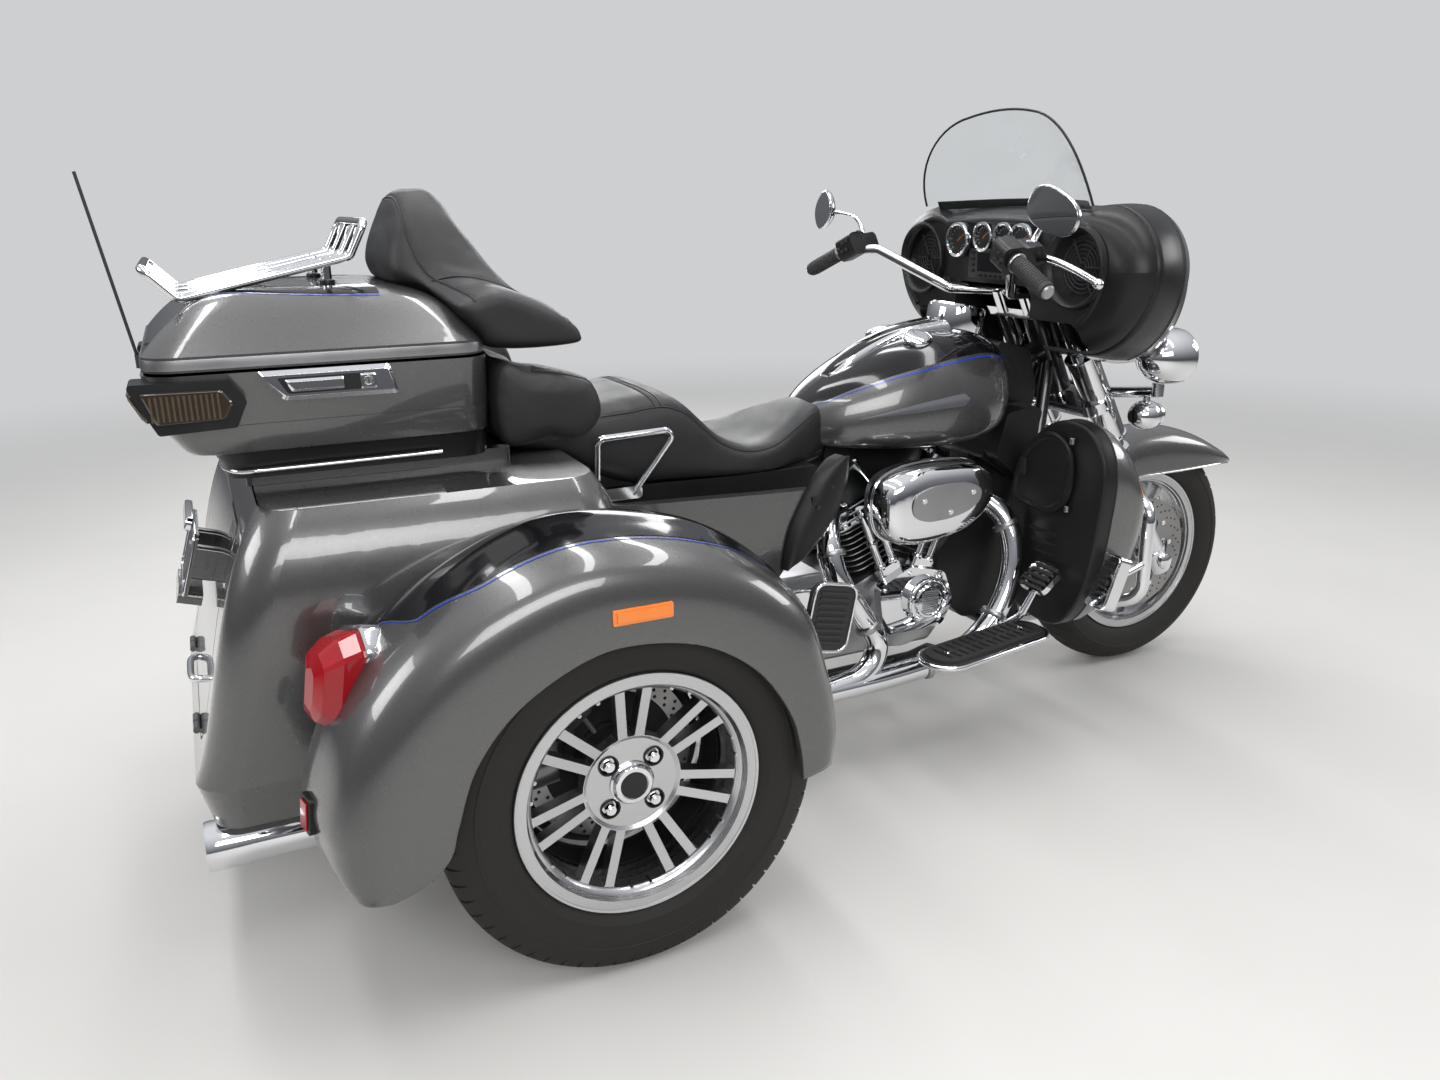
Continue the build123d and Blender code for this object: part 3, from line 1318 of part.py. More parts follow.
SPOT_Y = 228.0
SPOT_Z = 868.0
with BuildPart() as spot_lamps:
    for flip in (-1, 1):
        with BuildSketch(side(flip * SPOT_Y)):
            with BuildLine():
                Line((1430, SPOT_Z), (1430, SPOT_Z + 8))
                ThreePointArc((1430, SPOT_Z + 8), (1456, SPOT_Z + 50), (1508, SPOT_Z + 64))
                Line((1508, SPOT_Z + 64), (1540, SPOT_Z + 60))
                ThreePointArc((1540, SPOT_Z + 60), (1551, SPOT_Z + 34), (1556, SPOT_Z + 6))
                Polyline((1556, SPOT_Z + 6), (1556, SPOT_Z), (1430, SPOT_Z))
            make_face()
        revolve(axis=Axis(at(1400, flip * SPOT_Y, SPOT_Z), (1, 0, 0)))
    add(fairing_outer.part, mode=Mode.SUBTRACT)
save(spot_lamps.part, "spot_lamps")

with BuildPart() as lamp_bar:
    tube([(1492, -SPOT_Y, 786), (1468, -110, 770), (1468, 110, 770), (1492, SPOT_Y, 786)], 13, 60)
    for flip in (-1, 1):
        with BuildSketch(level(776)):
            with Locations((1490, flip * SPOT_Y)):
                Circle(14)
        extrude(amount=40)
        with BuildSketch(side(flip * 208)):
            with BuildLine():
                Line((1440, 728), (1440, 744))
                ThreePointArc((1440, 744), (1476, 764), (1512, 752))
                Polyline((1512, 752), (1520, 728), (1440, 728))
            make_face()
        revolve(axis=Axis(at(1400, flip * 208, 728), (1, 0, 0)))
        with BuildSketch(level(730)):
            with Locations((1478, flip * 208)):
                Circle(9)
        extrude(amount=44)
        tube([(1468, flip * 96, 770), (1400, flip * 96, 752)], 10, 0)
    add(fork.part, mode=Mode.SUBTRACT)
    add(spot_lamps.part, mode=Mode.SUBTRACT)
save(lamp_bar.part, "lamp_bar")

# Handlebar and what is on it
GRIP_INNER = (957, 322, 1104)
GRIP_END = (936, 440, 1055)
with BuildPart() as handlebar:
    tube(
        [
            (936, -440, 1055), (957, -322, 1104), (1010, -252, 1108), (1128, -112, 1020), (1236, -62, 1014),
            (1236, 62, 1014), (1128, 112, 1020), (1010, 252, 1108), (957, 322, 1104), (936, 440, 1055),
        ],
        12.7, 30,
    )
    for flip in (-1, 1):
        with BuildSketch(along(1262, flip * 46, 972, RAKE)):
            RectangleRounded(56, 34, 10)
        extrude(amount=56)
    add(fork.part, mode=Mode.SUBTRACT)
save(handlebar.part, "handlebar")


def grip_plane(flip, distance):
    """Plane across a grip at a distance outboard of its inner end."""
    inner = Vector(*at(GRIP_INNER[0], flip * GRIP_INNER[1], GRIP_INNER[2]))
    end = Vector(*at(GRIP_END[0], flip * GRIP_END[1], GRIP_END[2]))
    direction = (end - inner).normalized()
    return Plane(origin=inner + direction * distance, x_dir=(1, 0, 0.2), z_dir=direction)


with BuildPart() as grips:
    for flip in (-1, 1):
        with BuildSketch(grip_plane(flip, 12)):
            Circle(17)
        extrude(amount=122)
    fillet(grips.edges().filter_by(GeomType.CIRCLE), 4)
    add(handlebar.part, mode=Mode.SUBTRACT)
save(grips.part, "grips")

with BuildPart() as hand_controls:
    for flip in (-1, 1):
        with BuildSketch(grip_plane(flip, -58)):
            RectangleRounded(52, 56, 14)
        extrude(amount=56)
        with BuildSketch(grip_plane(flip, -52)):
            with Locations((44, 0)):
                RectangleRounded(50, 42, 12)
        extrude(amount=44)
        tube([(1018, flip * 268, 1112), (1012, flip * 380, 1104), (1002, flip * 500, 1072)], 7, 60)
    add(handlebar.part, mode=Mode.SUBTRACT)
    add(grips.part, mode=Mode.SUBTRACT)
save(hand_controls.part, "hand_controls")

with BuildPart() as mirrors:
    for flip in (-1, 1):
        mirror_plane = Plane(origin=at(948, flip * 424, 1200), x_dir=(0.2, flip, 0),
                             z_dir=(-1, flip * 0.2, 0))
        with BuildSketch(mirror_plane):
            Ellipse(66, 44)
        with BuildSketch(mirror_plane.offset(-22)):
            Ellipse(40, 26)
        loft()
        tube([(1000, flip * 300, 1118), (1004, flip * 340, 1170), (966, flip * 410, 1196)], 6, 20)
    add(hand_controls.part, mode=Mode.SUBTRACT)
    add(handlebar.part, mode=Mode.SUBTRACT)
save(mirrors.part, "mirrors")
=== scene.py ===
"""Dresses the touring trike: paint, chrome, leather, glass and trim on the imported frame.

Every length typed as millimetres is counted forward from the rear axle, to the rider's
left and up from the floor; mm() carries it into the frame's metres.
"""
import json
from math import asin, atan2, cos, hypot, pi, radians, sin

import bmesh
import bpy
from bpy.props import FloatProperty, FloatVectorProperty, IntProperty, PointerProperty
from mathutils import Matrix, Vector
from mathutils.bvhtree import BVHTree
from mathutils.kdtree import KDTree


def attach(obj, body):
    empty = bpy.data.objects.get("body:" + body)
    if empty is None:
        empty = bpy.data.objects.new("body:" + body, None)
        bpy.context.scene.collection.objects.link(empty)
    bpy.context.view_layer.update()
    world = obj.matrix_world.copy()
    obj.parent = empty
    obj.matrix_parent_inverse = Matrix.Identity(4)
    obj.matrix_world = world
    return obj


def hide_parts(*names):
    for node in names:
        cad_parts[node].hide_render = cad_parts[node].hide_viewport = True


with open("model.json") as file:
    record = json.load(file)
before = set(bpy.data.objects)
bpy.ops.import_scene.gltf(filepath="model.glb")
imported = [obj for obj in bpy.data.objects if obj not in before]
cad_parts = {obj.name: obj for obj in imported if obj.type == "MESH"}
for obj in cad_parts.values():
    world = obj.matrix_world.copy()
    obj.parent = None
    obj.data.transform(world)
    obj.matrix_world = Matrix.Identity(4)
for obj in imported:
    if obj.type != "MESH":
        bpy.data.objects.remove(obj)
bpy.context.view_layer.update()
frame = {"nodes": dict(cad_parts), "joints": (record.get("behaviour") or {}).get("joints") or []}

bl_info = {
    "name": "Touring trike",
    "version": (1, 0, 0),
    "blender": (4, 5, 0),
    "location": "View3D > Sidebar > Trike",
    "description": "Dresses the packed touring trike with paint, chrome, leather and trim",
    "category": "Object",
}

JOINTS = {joint["name"]: joint for joint in frame["joints"]}
AXLE = JOINTS["rear_wheel_right_spin"]["pos_m"]


def mm(x, y, z):
    """A point in millimetres, counted forward from the rear axle, in the frame's metres."""
    return Vector((AXLE[0] + x / 1000, y / 1000, z / 1000))


# Shader groups


def new_group(name, inputs, outputs):
    """Empty shader group with its sockets, and its input and output nodes."""
    group = bpy.data.node_groups.new(name, "ShaderNodeTree")
    for kind, label, default in inputs:
        socket = group.interface.new_socket(label, in_out="INPUT", socket_type="NodeSocket" + kind)
        if default is not None:
            socket.default_value = default
    for kind, label in outputs:
        group.interface.new_socket(label, in_out="OUTPUT", socket_type="NodeSocket" + kind)
    return group, group.nodes.new("NodeGroupInput"), group.nodes.new("NodeGroupOutput")


def noise_node(nodes, links, vector, scale, detail):
    """Noise texture on a vector, its scale taken from a socket."""
    noise = nodes.new("ShaderNodeTexNoise")
    noise.inputs["Detail"].default_value = detail
    links.new(vector, noise.inputs["Vector"])
    links.new(scale, noise.inputs["Scale"])
    return noise


def spread(nodes, links, value, low, high, source):
    """Map a value from its usual range to the range between two sockets."""
    ranged = nodes.new("ShaderNodeMapRange")
    ranged.inputs["From Min"].default_value = source[0]
    ranged.inputs["From Max"].default_value = source[1]
    links.new(value, ranged.inputs["Value"])
    links.new(low, ranged.inputs["To Min"])
    links.new(high, ranged.inputs["To Max"])
    return ranged.outputs["Result"]


def blend_colours(nodes, links, factor, first, second):
    """Mix two colour sockets by a factor socket."""
    mix = nodes.new("ShaderNodeMix")
    mix.data_type = "RGBA"
    links.new(factor, mix.inputs["Factor"])
    links.new(first, mix.inputs["A"])
    links.new(second, mix.inputs["B"])
    return mix.outputs["Result"]


def bump_node(nodes, links, height, depth):
    """Bump from a height and a depth socket."""
    bump = nodes.new("ShaderNodeBump")
    bump.inputs["Strength"].default_value = 1.0
    links.new(depth, bump.inputs["Distance"])
    links.new(height, bump.inputs["Height"])
    return bump.outputs["Normal"]


SURFACE_INPUTS = (
    ("Vector", "Vector", None), ("Color", "Colour", None), ("Color", "Second Colour", None),
    ("Float", "Scale", 100.0), ("Float", "Roughness Low", 0.3), ("Float", "Roughness High", 0.4),
    ("Float", "Depth", 0.0001),
)
SURFACE_OUTPUTS = (("Color", "Colour"), ("Float", "Roughness"), ("Vector", "Normal"))


def cell_node(group, given):
    """Cell texture on the surface's own vector and scale."""
    cells = group.nodes.new("ShaderNodeTexVoronoi")
    group.links.new(given.outputs["Vector"], cells.inputs["Vector"])
    group.links.new(given.outputs["Scale"], cells.inputs["Scale"])
    return cells


def shrunk_noise(group, given, share, detail):
    """Noise texture whose scale is a share of the surface's own."""
    scale = group.nodes.new("ShaderNodeMath")
    scale.operation = "MULTIPLY"
    scale.inputs[1].default_value = share
    group.links.new(given.outputs["Scale"], scale.inputs[0])
    return noise_node(group.nodes, group.links, given.outputs["Vector"], scale.outputs[0], detail)


def put_out(group, given, out, factor, cloud, height, source=(0.3, 0.7), labels=("Colour", "Second Colour")):
    """Lead a mixed colour, a spread roughness and a bump to the group's output."""
    nodes, links = group.nodes, group.links
    colours = [given.outputs[label] for label in labels]
    limits = given.outputs["Roughness Low"], given.outputs["Roughness High"]
    links.new(blend_colours(nodes, links, factor, *colours), out.inputs["Colour"])
    links.new(spread(nodes, links, cloud, *limits, source), out.inputs["Roughness"])
    links.new(bump_node(nodes, links, height, given.outputs["Depth"]), out.inputs["Normal"])


def make_flake_group():
    """Metallic paint: tiny cells of lighter pigment under a slow cloud of orange peel."""
    group, given, out = new_group("Paint Flake", SURFACE_INPUTS, SURFACE_OUTPUTS)
    cells = cell_node(group, given)
    peel = shrunk_noise(group, given, 0.08, 3.0).outputs["Fac"]
    brightness = group.nodes.new("ShaderNodeSeparateColor")
    group.links.new(cells.outputs["Color"], brightness.inputs["Color"])
    put_out(group, given, out, brightness.outputs["Red"], peel, peel)


def make_smudge_group():
    """Polished metal and glass: slow smudges in the roughness and a trace of waviness."""
    group, given, out = new_group("Polish Smudge", SURFACE_INPUTS, SURFACE_OUTPUTS)
    noise = noise_node(group.nodes, group.links, given.outputs["Vector"], given.outputs["Scale"], 5.0)
    cloud = noise.outputs["Fac"]
    put_out(group, given, out, cloud, cloud, cloud)


def make_grain_group():
    """Leather and moulded plastic: rounded cells with darker creases, under a slow cloud."""
    group, given, out = new_group("Cell Grain", SURFACE_INPUTS, SURFACE_OUTPUTS)
    nodes, links = group.nodes, group.links
    cells = cell_node(group, given)
    cells.feature = "DISTANCE_TO_EDGE"
    crease = nodes.new("ShaderNodeMapRange")
    crease.inputs["From Max"].default_value = 0.16
    links.new(cells.outputs["Distance"], crease.inputs["Value"])
    cloud = shrunk_noise(group, given, 0.02, 4.0).outputs["Fac"]
    height = nodes.new("ShaderNodeMath")
    height.operation = "MULTIPLY_ADD"
    height.inputs[2].default_value = 0.0
    links.new(crease.outputs["Result"], height.inputs[0])
    links.new(cloud, height.inputs[1])
    crest = height.outputs[0]
    put_out(group, given, out, crest, cloud, crest, labels=("Second Colour", "Colour"))


def make_cast_group():
    """Cast metal, rubber and powder coat: fine noise in height, colour and roughness."""
    group, given, out = new_group("Cast Skin", SURFACE_INPUTS, SURFACE_OUTPUTS)
    fine = noise_node(group.nodes, group.links, given.outputs["Vector"], given.outputs["Scale"], 2.0)
    cloud = shrunk_noise(group, given, 0.015, 5.0).outputs["Fac"]
    put_out(group, given, out, cloud, cloud, fine.outputs["Fac"])


def make_turned_group():
    """Lathe-turned metal: fine rings about a wheel's axle, which is where the vector starts."""
    group, given, out = new_group("Turned Rings", SURFACE_INPUTS, SURFACE_OUTPUTS)
    rings = group.nodes.new("ShaderNodeTexWave")
    rings.wave_type = "RINGS"
    rings.rings_direction = "Y"
    rings.inputs["Distortion"].default_value = 0.4
    group.links.new(given.outputs["Vector"], rings.inputs["Vector"])
    group.links.new(given.outputs["Scale"], rings.inputs["Scale"])
    lines = rings.outputs["Fac"]
    put_out(group, given, out, lines, lines, lines, (0.0, 1.0))


GROUP_MAKERS = {
    "Paint Flake": make_flake_group, "Polish Smudge": make_smudge_group, "Cell Grain": make_grain_group,
    "Cast Skin": make_cast_group, "Turned Rings": make_turned_group,
}

# Finishes: group, colour, second colour, scale, roughness low and high, depth, and plain shader values
FINISHES = {
    "paint_grey": (
        "Paint Flake", (0.088, 0.087, 0.087), (0.112, 0.111, 0.111), 1900.0, 0.27, 0.31, 0.0,
        {"Metallic": 0.6, "Coat Weight": 1.0, "Coat Roughness": 0.03},
    ),
    "paint_black": (
        "Paint Flake", (0.004, 0.004, 0.005), (0.007, 0.007, 0.008), 1900.0, 0.1, 0.13, 0.0,
        {"Coat Weight": 0.35, "Coat Roughness": 0.02, "Specular IOR Level": 0.25},
    ),
    "pinstripe": (
        "Paint Flake", (0.01, 0.045, 0.32), (0.015, 0.06, 0.42), 2600.0, 0.25, 0.3, 0.0,
        {"Coat Weight": 1.0},
    ),
    "chrome": (
        "Polish Smudge", (0.80, 0.805, 0.82), (0.72, 0.73, 0.745), 9.0, 0.03, 0.075, 0.00002,
        {"Metallic": 1.0},
    ),
    "mirror_glass": (
        "Polish Smudge", (0.86, 0.88, 0.89), (0.8, 0.83, 0.85), 12.0, 0.01, 0.02, 0.0, {"Metallic": 1.0},
    ),
    "satin_metal": (
        "Cast Skin", (0.42, 0.42, 0.43), (0.34, 0.34, 0.35), 900.0, 0.3, 0.42, 0.00004, {"Metallic": 1.0},
    ),
    "machined": (
        "Turned Rings", (0.60, 0.60, 0.61), (0.50, 0.50, 0.51), 190.0, 0.2, 0.3, 0.000006, {"Metallic": 1.0},
    ),
    "steel": (
        "Cast Skin", (0.36, 0.355, 0.35), (0.24, 0.235, 0.23), 700.0, 0.25, 0.4, 0.00003, {"Metallic": 1.0},
    ),
    "engine_black": (
        "Cast Skin", (0.012, 0.012, 0.013), (0.028, 0.028, 0.03), 1100.0, 0.4, 0.55, 0.00018, {},
    ),
    "frame_black": (
        "Cast Skin", (0.008, 0.008, 0.009), (0.016, 0.016, 0.017), 500.0, 0.18, 0.26, 0.00003,
        {"Coat Weight": 0.5},
    ),
    "plastic": (
        "Cell Grain", (0.016, 0.016, 0.017), (0.009, 0.009, 0.01), 1500.0, 0.42, 0.52, 0.00010, {},
    ),
    "satin_black": (
        "Cast Skin", (0.009, 0.009, 0.0095), (0.014, 0.014, 0.0145), 900.0, 0.32, 0.4, 0.00004,
        {"Specular IOR Level": 0.28},
    ),
    "leather": (
        "Cell Grain", (0.019, 0.019, 0.02), (0.006, 0.006, 0.007), 620.0, 0.38, 0.5, 0.00028,
        {"Specular IOR Level": 0.45},
    ),
    "stitch": (
        "Cast Skin", (0.03, 0.03, 0.032), (0.05, 0.05, 0.052), 3000.0, 0.6, 0.7, 0.0001, {},
    ),
    "rubber": (
        "Cast Skin", (0.014, 0.014, 0.014), (0.026, 0.025, 0.024), 800.0, 0.55, 0.7, 0.00012, {},
    ),
    "tyre": (
        "Cast Skin", (0.011, 0.0103, 0.0095), (0.022, 0.02, 0.018), 420.0, 0.62, 0.8, 0.0002,
        {"Specular IOR Level": 0.34},
    ),
    # A faint emission in the lens colour makes the unlit tail lamps and the rear reflectors glow: a painted
    # glow
    "red_lens": (
        "Polish Smudge", (0.34, 0.002, 0.008), (0.22, 0.0015, 0.005), 30.0, 0.04, 0.09, 0.0,
        {"Coat Weight": 0.3, "Emission Strength": 0.06},
    ),
    "amber_lens": (
        "Polish Smudge", (0.9, 0.24, 0.012), (0.8, 0.17, 0.008), 30.0, 0.06, 0.12, 0.0, {"Coat Weight": 1.0},
    ),
    "smoke_lens": (
        "Polish Smudge", (0.026, 0.018, 0.011), (0.042, 0.028, 0.017), 60.0, 0.05, 0.1, 0.0,
        {"Coat Weight": 1.0},
    ),
    # The ribs are the same smoked plastic as the lens; their lighter colour is a painted highlight
    "smoke_rib": (
        "Polish Smudge", (0.07, 0.055, 0.035), (0.11, 0.085, 0.055), 60.0, 0.08, 0.16, 0.0,
        {"Coat Weight": 1.0},
    ),
    # Near-black: the own black of dials and speaker cones, and painted shade in holes, slots, recesses and
    # inside the rims
    "dark_inside": (
        "Cast Skin", (0.004, 0.004, 0.004), (0.007, 0.007, 0.007), 300.0, 0.7, 0.85, 0.0001, {},
    ),
    "dial_white": (
        "Polish Smudge", (0.5, 0.5, 0.48), (0.45, 0.45, 0.43), 40.0, 0.4, 0.5, 0.0, {},
    ),
    "carpet": (
        "Cast Skin", (0.02, 0.02, 0.02), (0.04, 0.04, 0.04), 1600.0, 0.9, 1.0, 0.0006, {},
    ),
}


def make_finish(name, values, centre):
    """Material with its surface group on Object coordinates, taken from a centre if one is given."""
    group, first, second, scale, low, high, depth, plain = values
    material = bpy.data.materials.new(name)
    material.use_nodes = True
    nodes, links = material.node_tree.nodes, material.node_tree.links
    shader = nodes["Principled BSDF"]
    place = nodes.new("ShaderNodeTexCoord").outputs["Object"]
    if centre is not None:
        mapping = nodes.new("ShaderNodeMapping")
        mapping.inputs["Location"].default_value = [-value for value in centre]
        links.new(place, mapping.inputs["Vector"])
        place = mapping.outputs["Vector"]
    surface = nodes.new("ShaderNodeGroup")
    surface.node_tree = bpy.data.node_groups[group]
    links.new(place, surface.inputs["Vector"])
    surface.inputs["Colour"].default_value = (*first, 1)
    surface.inputs["Second Colour"].default_value = (*second, 1)
    for label, value in (
        ("Scale", scale), ("Roughness Low", low), ("Roughness High", high), ("Depth", depth),
    ):
        surface.inputs[label].default_value = value
    links.new(surface.outputs["Colour"], shader.inputs["Base Color"])
    links.new(surface.outputs["Roughness"], shader.inputs["Roughness"])
    if depth > 0:
        links.new(surface.outputs["Normal"], shader.inputs["Normal"])
    for label, value in plain.items():
        shader.inputs[label].default_value = value
    # An emission in the first colour makes the finish glow on its own: a painted glow
    if "Emission Strength" in plain:
        shader.inputs["Emission Color"].default_value = (*first, 1)
    material.diffuse_color = (*first, 1)
    return material


def make_clear(name, tint, bending):
    """Clear glass or acrylic of an index of refraction, with a slight tint and smudges."""
    material = bpy.data.materials.new(name)
    material.use_nodes = True
    nodes, links = material.node_tree.nodes, material.node_tree.links
    shader = nodes["Principled BSDF"]
    surface = nodes.new("ShaderNodeGroup")
    surface.node_tree = bpy.data.node_groups["Polish Smudge"]
    links.new(nodes.new("ShaderNodeTexCoord").outputs["Object"], surface.inputs["Vector"])
    surface.inputs["Colour"].default_value = (*tint, 1)
    surface.inputs["Second Colour"].default_value = (*[value * 0.97 for value in tint], 1)
    surface.inputs["Scale"].default_value = 8.0
    surface.inputs["Roughness Low"].default_value = 0.0
    surface.inputs["Roughness High"].default_value = 0.03
    links.new(surface.outputs["Colour"], shader.inputs["Base Color"])
    links.new(surface.outputs["Roughness"], shader.inputs["Roughness"])
    shader.inputs["Transmission Weight"].default_value = 1.0
    shader.inputs["IOR"].default_value = bending
    return material


# Wheels whose machined faces are ringed about their own axle
CENTRES = {
    "machined_front": JOINTS["front_wheel_spin"]["pos_m"],
    "machined_right": JOINTS["rear_wheel_right_spin"]["pos_m"],
    "machined_left": JOINTS["rear_wheel_left_spin"]["pos_m"],
}
MATERIALS = {}


def finish(name):
    """The material of a finish, made on first use."""
    if name not in MATERIALS:
        if name == "clear":
            MATERIALS[name] = make_clear(name, (0.93, 0.96, 0.965), 1.12)
        elif name == "lamp_glass":
            MATERIALS[name] = make_clear(name, (0.97, 0.98, 0.98), 1.2)
        else:
            values = FINISHES["machined" if name in CENTRES else name]
            if values[0] not in bpy.data.node_groups:
                GROUP_MAKERS[values[0]]()
            if name in PAINT_PROPERTIES:
                first = tuple(getattr(bpy.context.scene.trike_paint, PAINT_PROPERTIES[name]))
                share = [new / old for new, old in zip(first, values[1])]
                second = tuple(part * value for part, value in zip(share, values[2]))
                values = (values[0], first, second, *values[3:])
            MATERIALS[name] = make_finish(name, values, CENTRES.get(name))
    if "Polish Smudge" not in bpy.data.node_groups:
        make_smudge_group()
    return MATERIALS[name]


# Properties


class TRIKE_PG_paint(bpy.types.PropertyGroup):
    """Colours a user would change"""

    body: FloatVectorProperty(
        name="Body", description="Main colour of the painted panels", subtype="COLOR", size=3, min=0, max=1,
        default=(0.088, 0.087, 0.087),
    )
    inlay: FloatVectorProperty(
        name="Inlay", description="Colour of the dark panels on fenders and tank", subtype="COLOR", size=3,
        min=0, max=1, default=(0.004, 0.004, 0.005),
    )
    stripe: FloatVectorProperty(
        name="Stripe", description="Colour of the pinstripes", subtype="COLOR", size=3, min=0, max=1,
        default=(0.01, 0.045, 0.32),
    )
    leather: FloatVectorProperty(
        name="Leather", description="Colour of the seat and backrests", subtype="COLOR", size=3, min=0, max=1,
        default=(0.019, 0.019, 0.02),
    )


class TRIKE_PG_wheels(bpy.types.PropertyGroup):
    """Tread of the tyres"""

    rear_slots: IntProperty(
        name="Rear slots", description="Cross slots round a rear tyre", default=62, min=20, max=90,
    )
    front_slots: IntProperty(
        name="Front slots", description="Cross slots round the front tyre", default=40, min=16, max=70,
    )


class TRIKE_PG_trim(bpy.types.PropertyGroup):
    """Seams and pinstripes"""

    stitch_pitch: FloatProperty(
        name="Stitch pitch", description="Distance from one stitch to the next", default=0.0065, min=0.004,
        max=0.02, unit="LENGTH", subtype="DISTANCE",
    )
    welt_radius: FloatProperty(
        name="Welt radius", description="Radius of the welts along the cushions' seams", default=0.0017,
        min=0.0008, max=0.004, unit="LENGTH", subtype="DISTANCE",
    )
    stripe_width: FloatProperty(
        name="Stripe width", description="Width of the pinstripes", default=0.003, min=0.001, max=0.012,
        unit="LENGTH", subtype="DISTANCE",
    )


# Finishes whose first colour is one of the paint properties
PAINT_PROPERTIES = {"paint_grey": "body", "paint_black": "inlay", "pinstripe": "stripe", "leather": "leather"}


def trim(name):
    """A seam's or stripe's size in millimetres."""
    return getattr(bpy.context.scene.trike_trim, name) * 1000


# Mesh helpers

# Degrees between faces above which an edge stays crisp, and above which it is rounded
CREASE = 32.0
BEVEL_ABOVE = 35.0
# Distance in millimetres within which points become one
WELD = 0.02
STITCH_LENGTH, STITCH_RADIUS = 4.6, 0.75
# Direction up, of forms that stand
UP = (0, 0, 1)


def shade(piece, angle):
    """Smooth shading with edges sharper than an angle kept crisp."""
    piece.data.shade_smooth()
    piece.data.set_sharp_from_angle(angle=radians(angle))


def settle(piece, body, nodes=()):
    """Let a piece ride on a body, and hide the nodes it stands for."""
    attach(piece, body)
    if nodes:
        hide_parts(*nodes)
    return piece


def link_object(name, data):
    """Object for a mesh, a lamp or a camera, linked to the scene."""
    item = bpy.data.objects.new(name, data)
    bpy.context.scene.collection.objects.link(item)
    return item


def link_mesh(name, mesh, finish_name, angle):
    """Object for a mesh, with its finish and shading."""
    piece = link_object(name, mesh)
    mesh.materials.append(finish(finish_name))
    shade(piece, angle)
    return piece


def mesh_of(name, work):
    """Mesh from a bmesh, which is used up, with its faces turned outwards."""
    bmesh.ops.recalc_face_normals(work, faces=work.faces)
    mesh = bpy.data.meshes.new(name)
    work.to_mesh(mesh)
    work.free()
    return mesh


def from_bmesh(name, work, finish_name, angle=CREASE):
    """Object from a bmesh, with its finish and shading."""
    return link_mesh(name, mesh_of(name, work), finish_name, angle)


def round_edges(piece, width):
    """Bevel modifier with crisp normals."""
    bevel = piece.modifiers.new("rounded edges", "BEVEL")
    bevel.width = width / 1000
    bevel.segments = 2
    bevel.limit_method = "ANGLE"
    bevel.angle_limit = radians(BEVEL_ABOVE)
    bevel.harden_normals = True
    return piece


def through(keys, steps, closed=False):
    """Points of a smooth line through key points, with a number of steps between keys."""
    keys = [Vector(key) for key in keys]
    count = len(keys)
    points = []
    for i in range(count if closed else count - 1):
        if closed:
            before, start, end, after = (keys[(i + k) % count] for k in (-1, 0, 1, 2))
        else:
            start, end = keys[i], keys[i + 1]
            before = keys[i - 1] if i else start * 2 - end
            after = keys[i + 2] if i + 2 < count else end * 2 - start
        for step in range(steps):
            t = step / steps
            points.append(0.5 * (
                start * 2 + (end - before) * t + (before * 2 - start * 5 + end * 4 - after) * t ** 2
                + (start * 3 - before - end * 3 + after) * t ** 3
            ))
    if not closed:
        points.append(keys[-1])
    return points


class Skin:
    """Smooth surface through rows of points, all rows of one length, in millimetres."""

    def __init__(self, rows, steps_u, steps_v, closed_v=False):
        lines = [through(row, steps_v, closed_v) for row in rows]
        columns = [through(column, steps_u) for column in zip(*lines)]
        self.rows = [list(row) for row in zip(*columns)]
        self.steps_u = steps_u
        self.steps_v = steps_v
        self.closed_v = closed_v

    def at(self, u, v):
        """Point at key row u and key column v, counted in keys."""
        u = min(max(u * self.steps_u, 0), len(self.rows) - 1)
        v = min(max(v * self.steps_v, 0), len(self.rows[0]) - 1)
        i, j = min(int(u), len(self.rows) - 2), min(int(v), len(self.rows[0]) - 2)
        du, dv = u - i, v - j
        low = self.rows[i][j].lerp(self.rows[i][j + 1], dv)
        high = self.rows[i + 1][j].lerp(self.rows[i + 1][j + 1], dv)
        return low.lerp(high, du)

    def normal(self, u, v):
        """Unit normal there; its side is that of growing u crossed with growing v."""
        step = 0.05
        along_u = self.at(u + step, v) - self.at(u - step, v)
        along_v = self.at(u, v + step) - self.at(u, v - step)
        return along_u.cross(along_v).normalized()

    def patch(self, u_range, low, high, lift, steps):
        """Rows of a patch lying on the surface between two limits of v, given for each u."""
        rows = []
        for i in range(steps[0] + 1):
            u = u_range[0] + (u_range[1] - u_range[0]) * i / steps[0]
            start, end = low(u), high(u)
            row = []
            for j in range(steps[1] + 1):
                v = start + (end - start) * j / steps[1]
                row.append(self.at(u, v) + self.normal(u, v) * lift)
            rows.append(row)
        return rows


def grid_mesh(name, grids, finish_name, closed_v=False, caps=False, angle=CREASE):
    """Mesh of one or more grids of millimetre points; caps closes a tube's two ends."""
    work = bmesh.new()
    for rows in grids:
        lines = [[work.verts.new(mm(*point)) for point in row] for row in rows]
        for first, second in zip(lines, lines[1:]):
            count = len(first)
            for j in range(count if closed_v else count - 1):
                k = (j + 1) % count
                work.faces.new((first[j], first[k], second[k], second[j]))
        if caps:
            work.faces.new(lines[0])
            work.faces.new(lines[-1])
    bmesh.ops.remove_doubles(work, verts=work.verts, dist=WELD / 1000)
    bmesh.ops.dissolve_degenerate(work, edges=work.edges, dist=WELD / 2000)
    return from_bmesh(name, work, finish_name, angle)


def flipped(rows, flip):
    """The same rows for the other side of the vehicle."""
    return [[Vector((point[0], point[1] * flip, point[2])) for point in row] for row in rows]


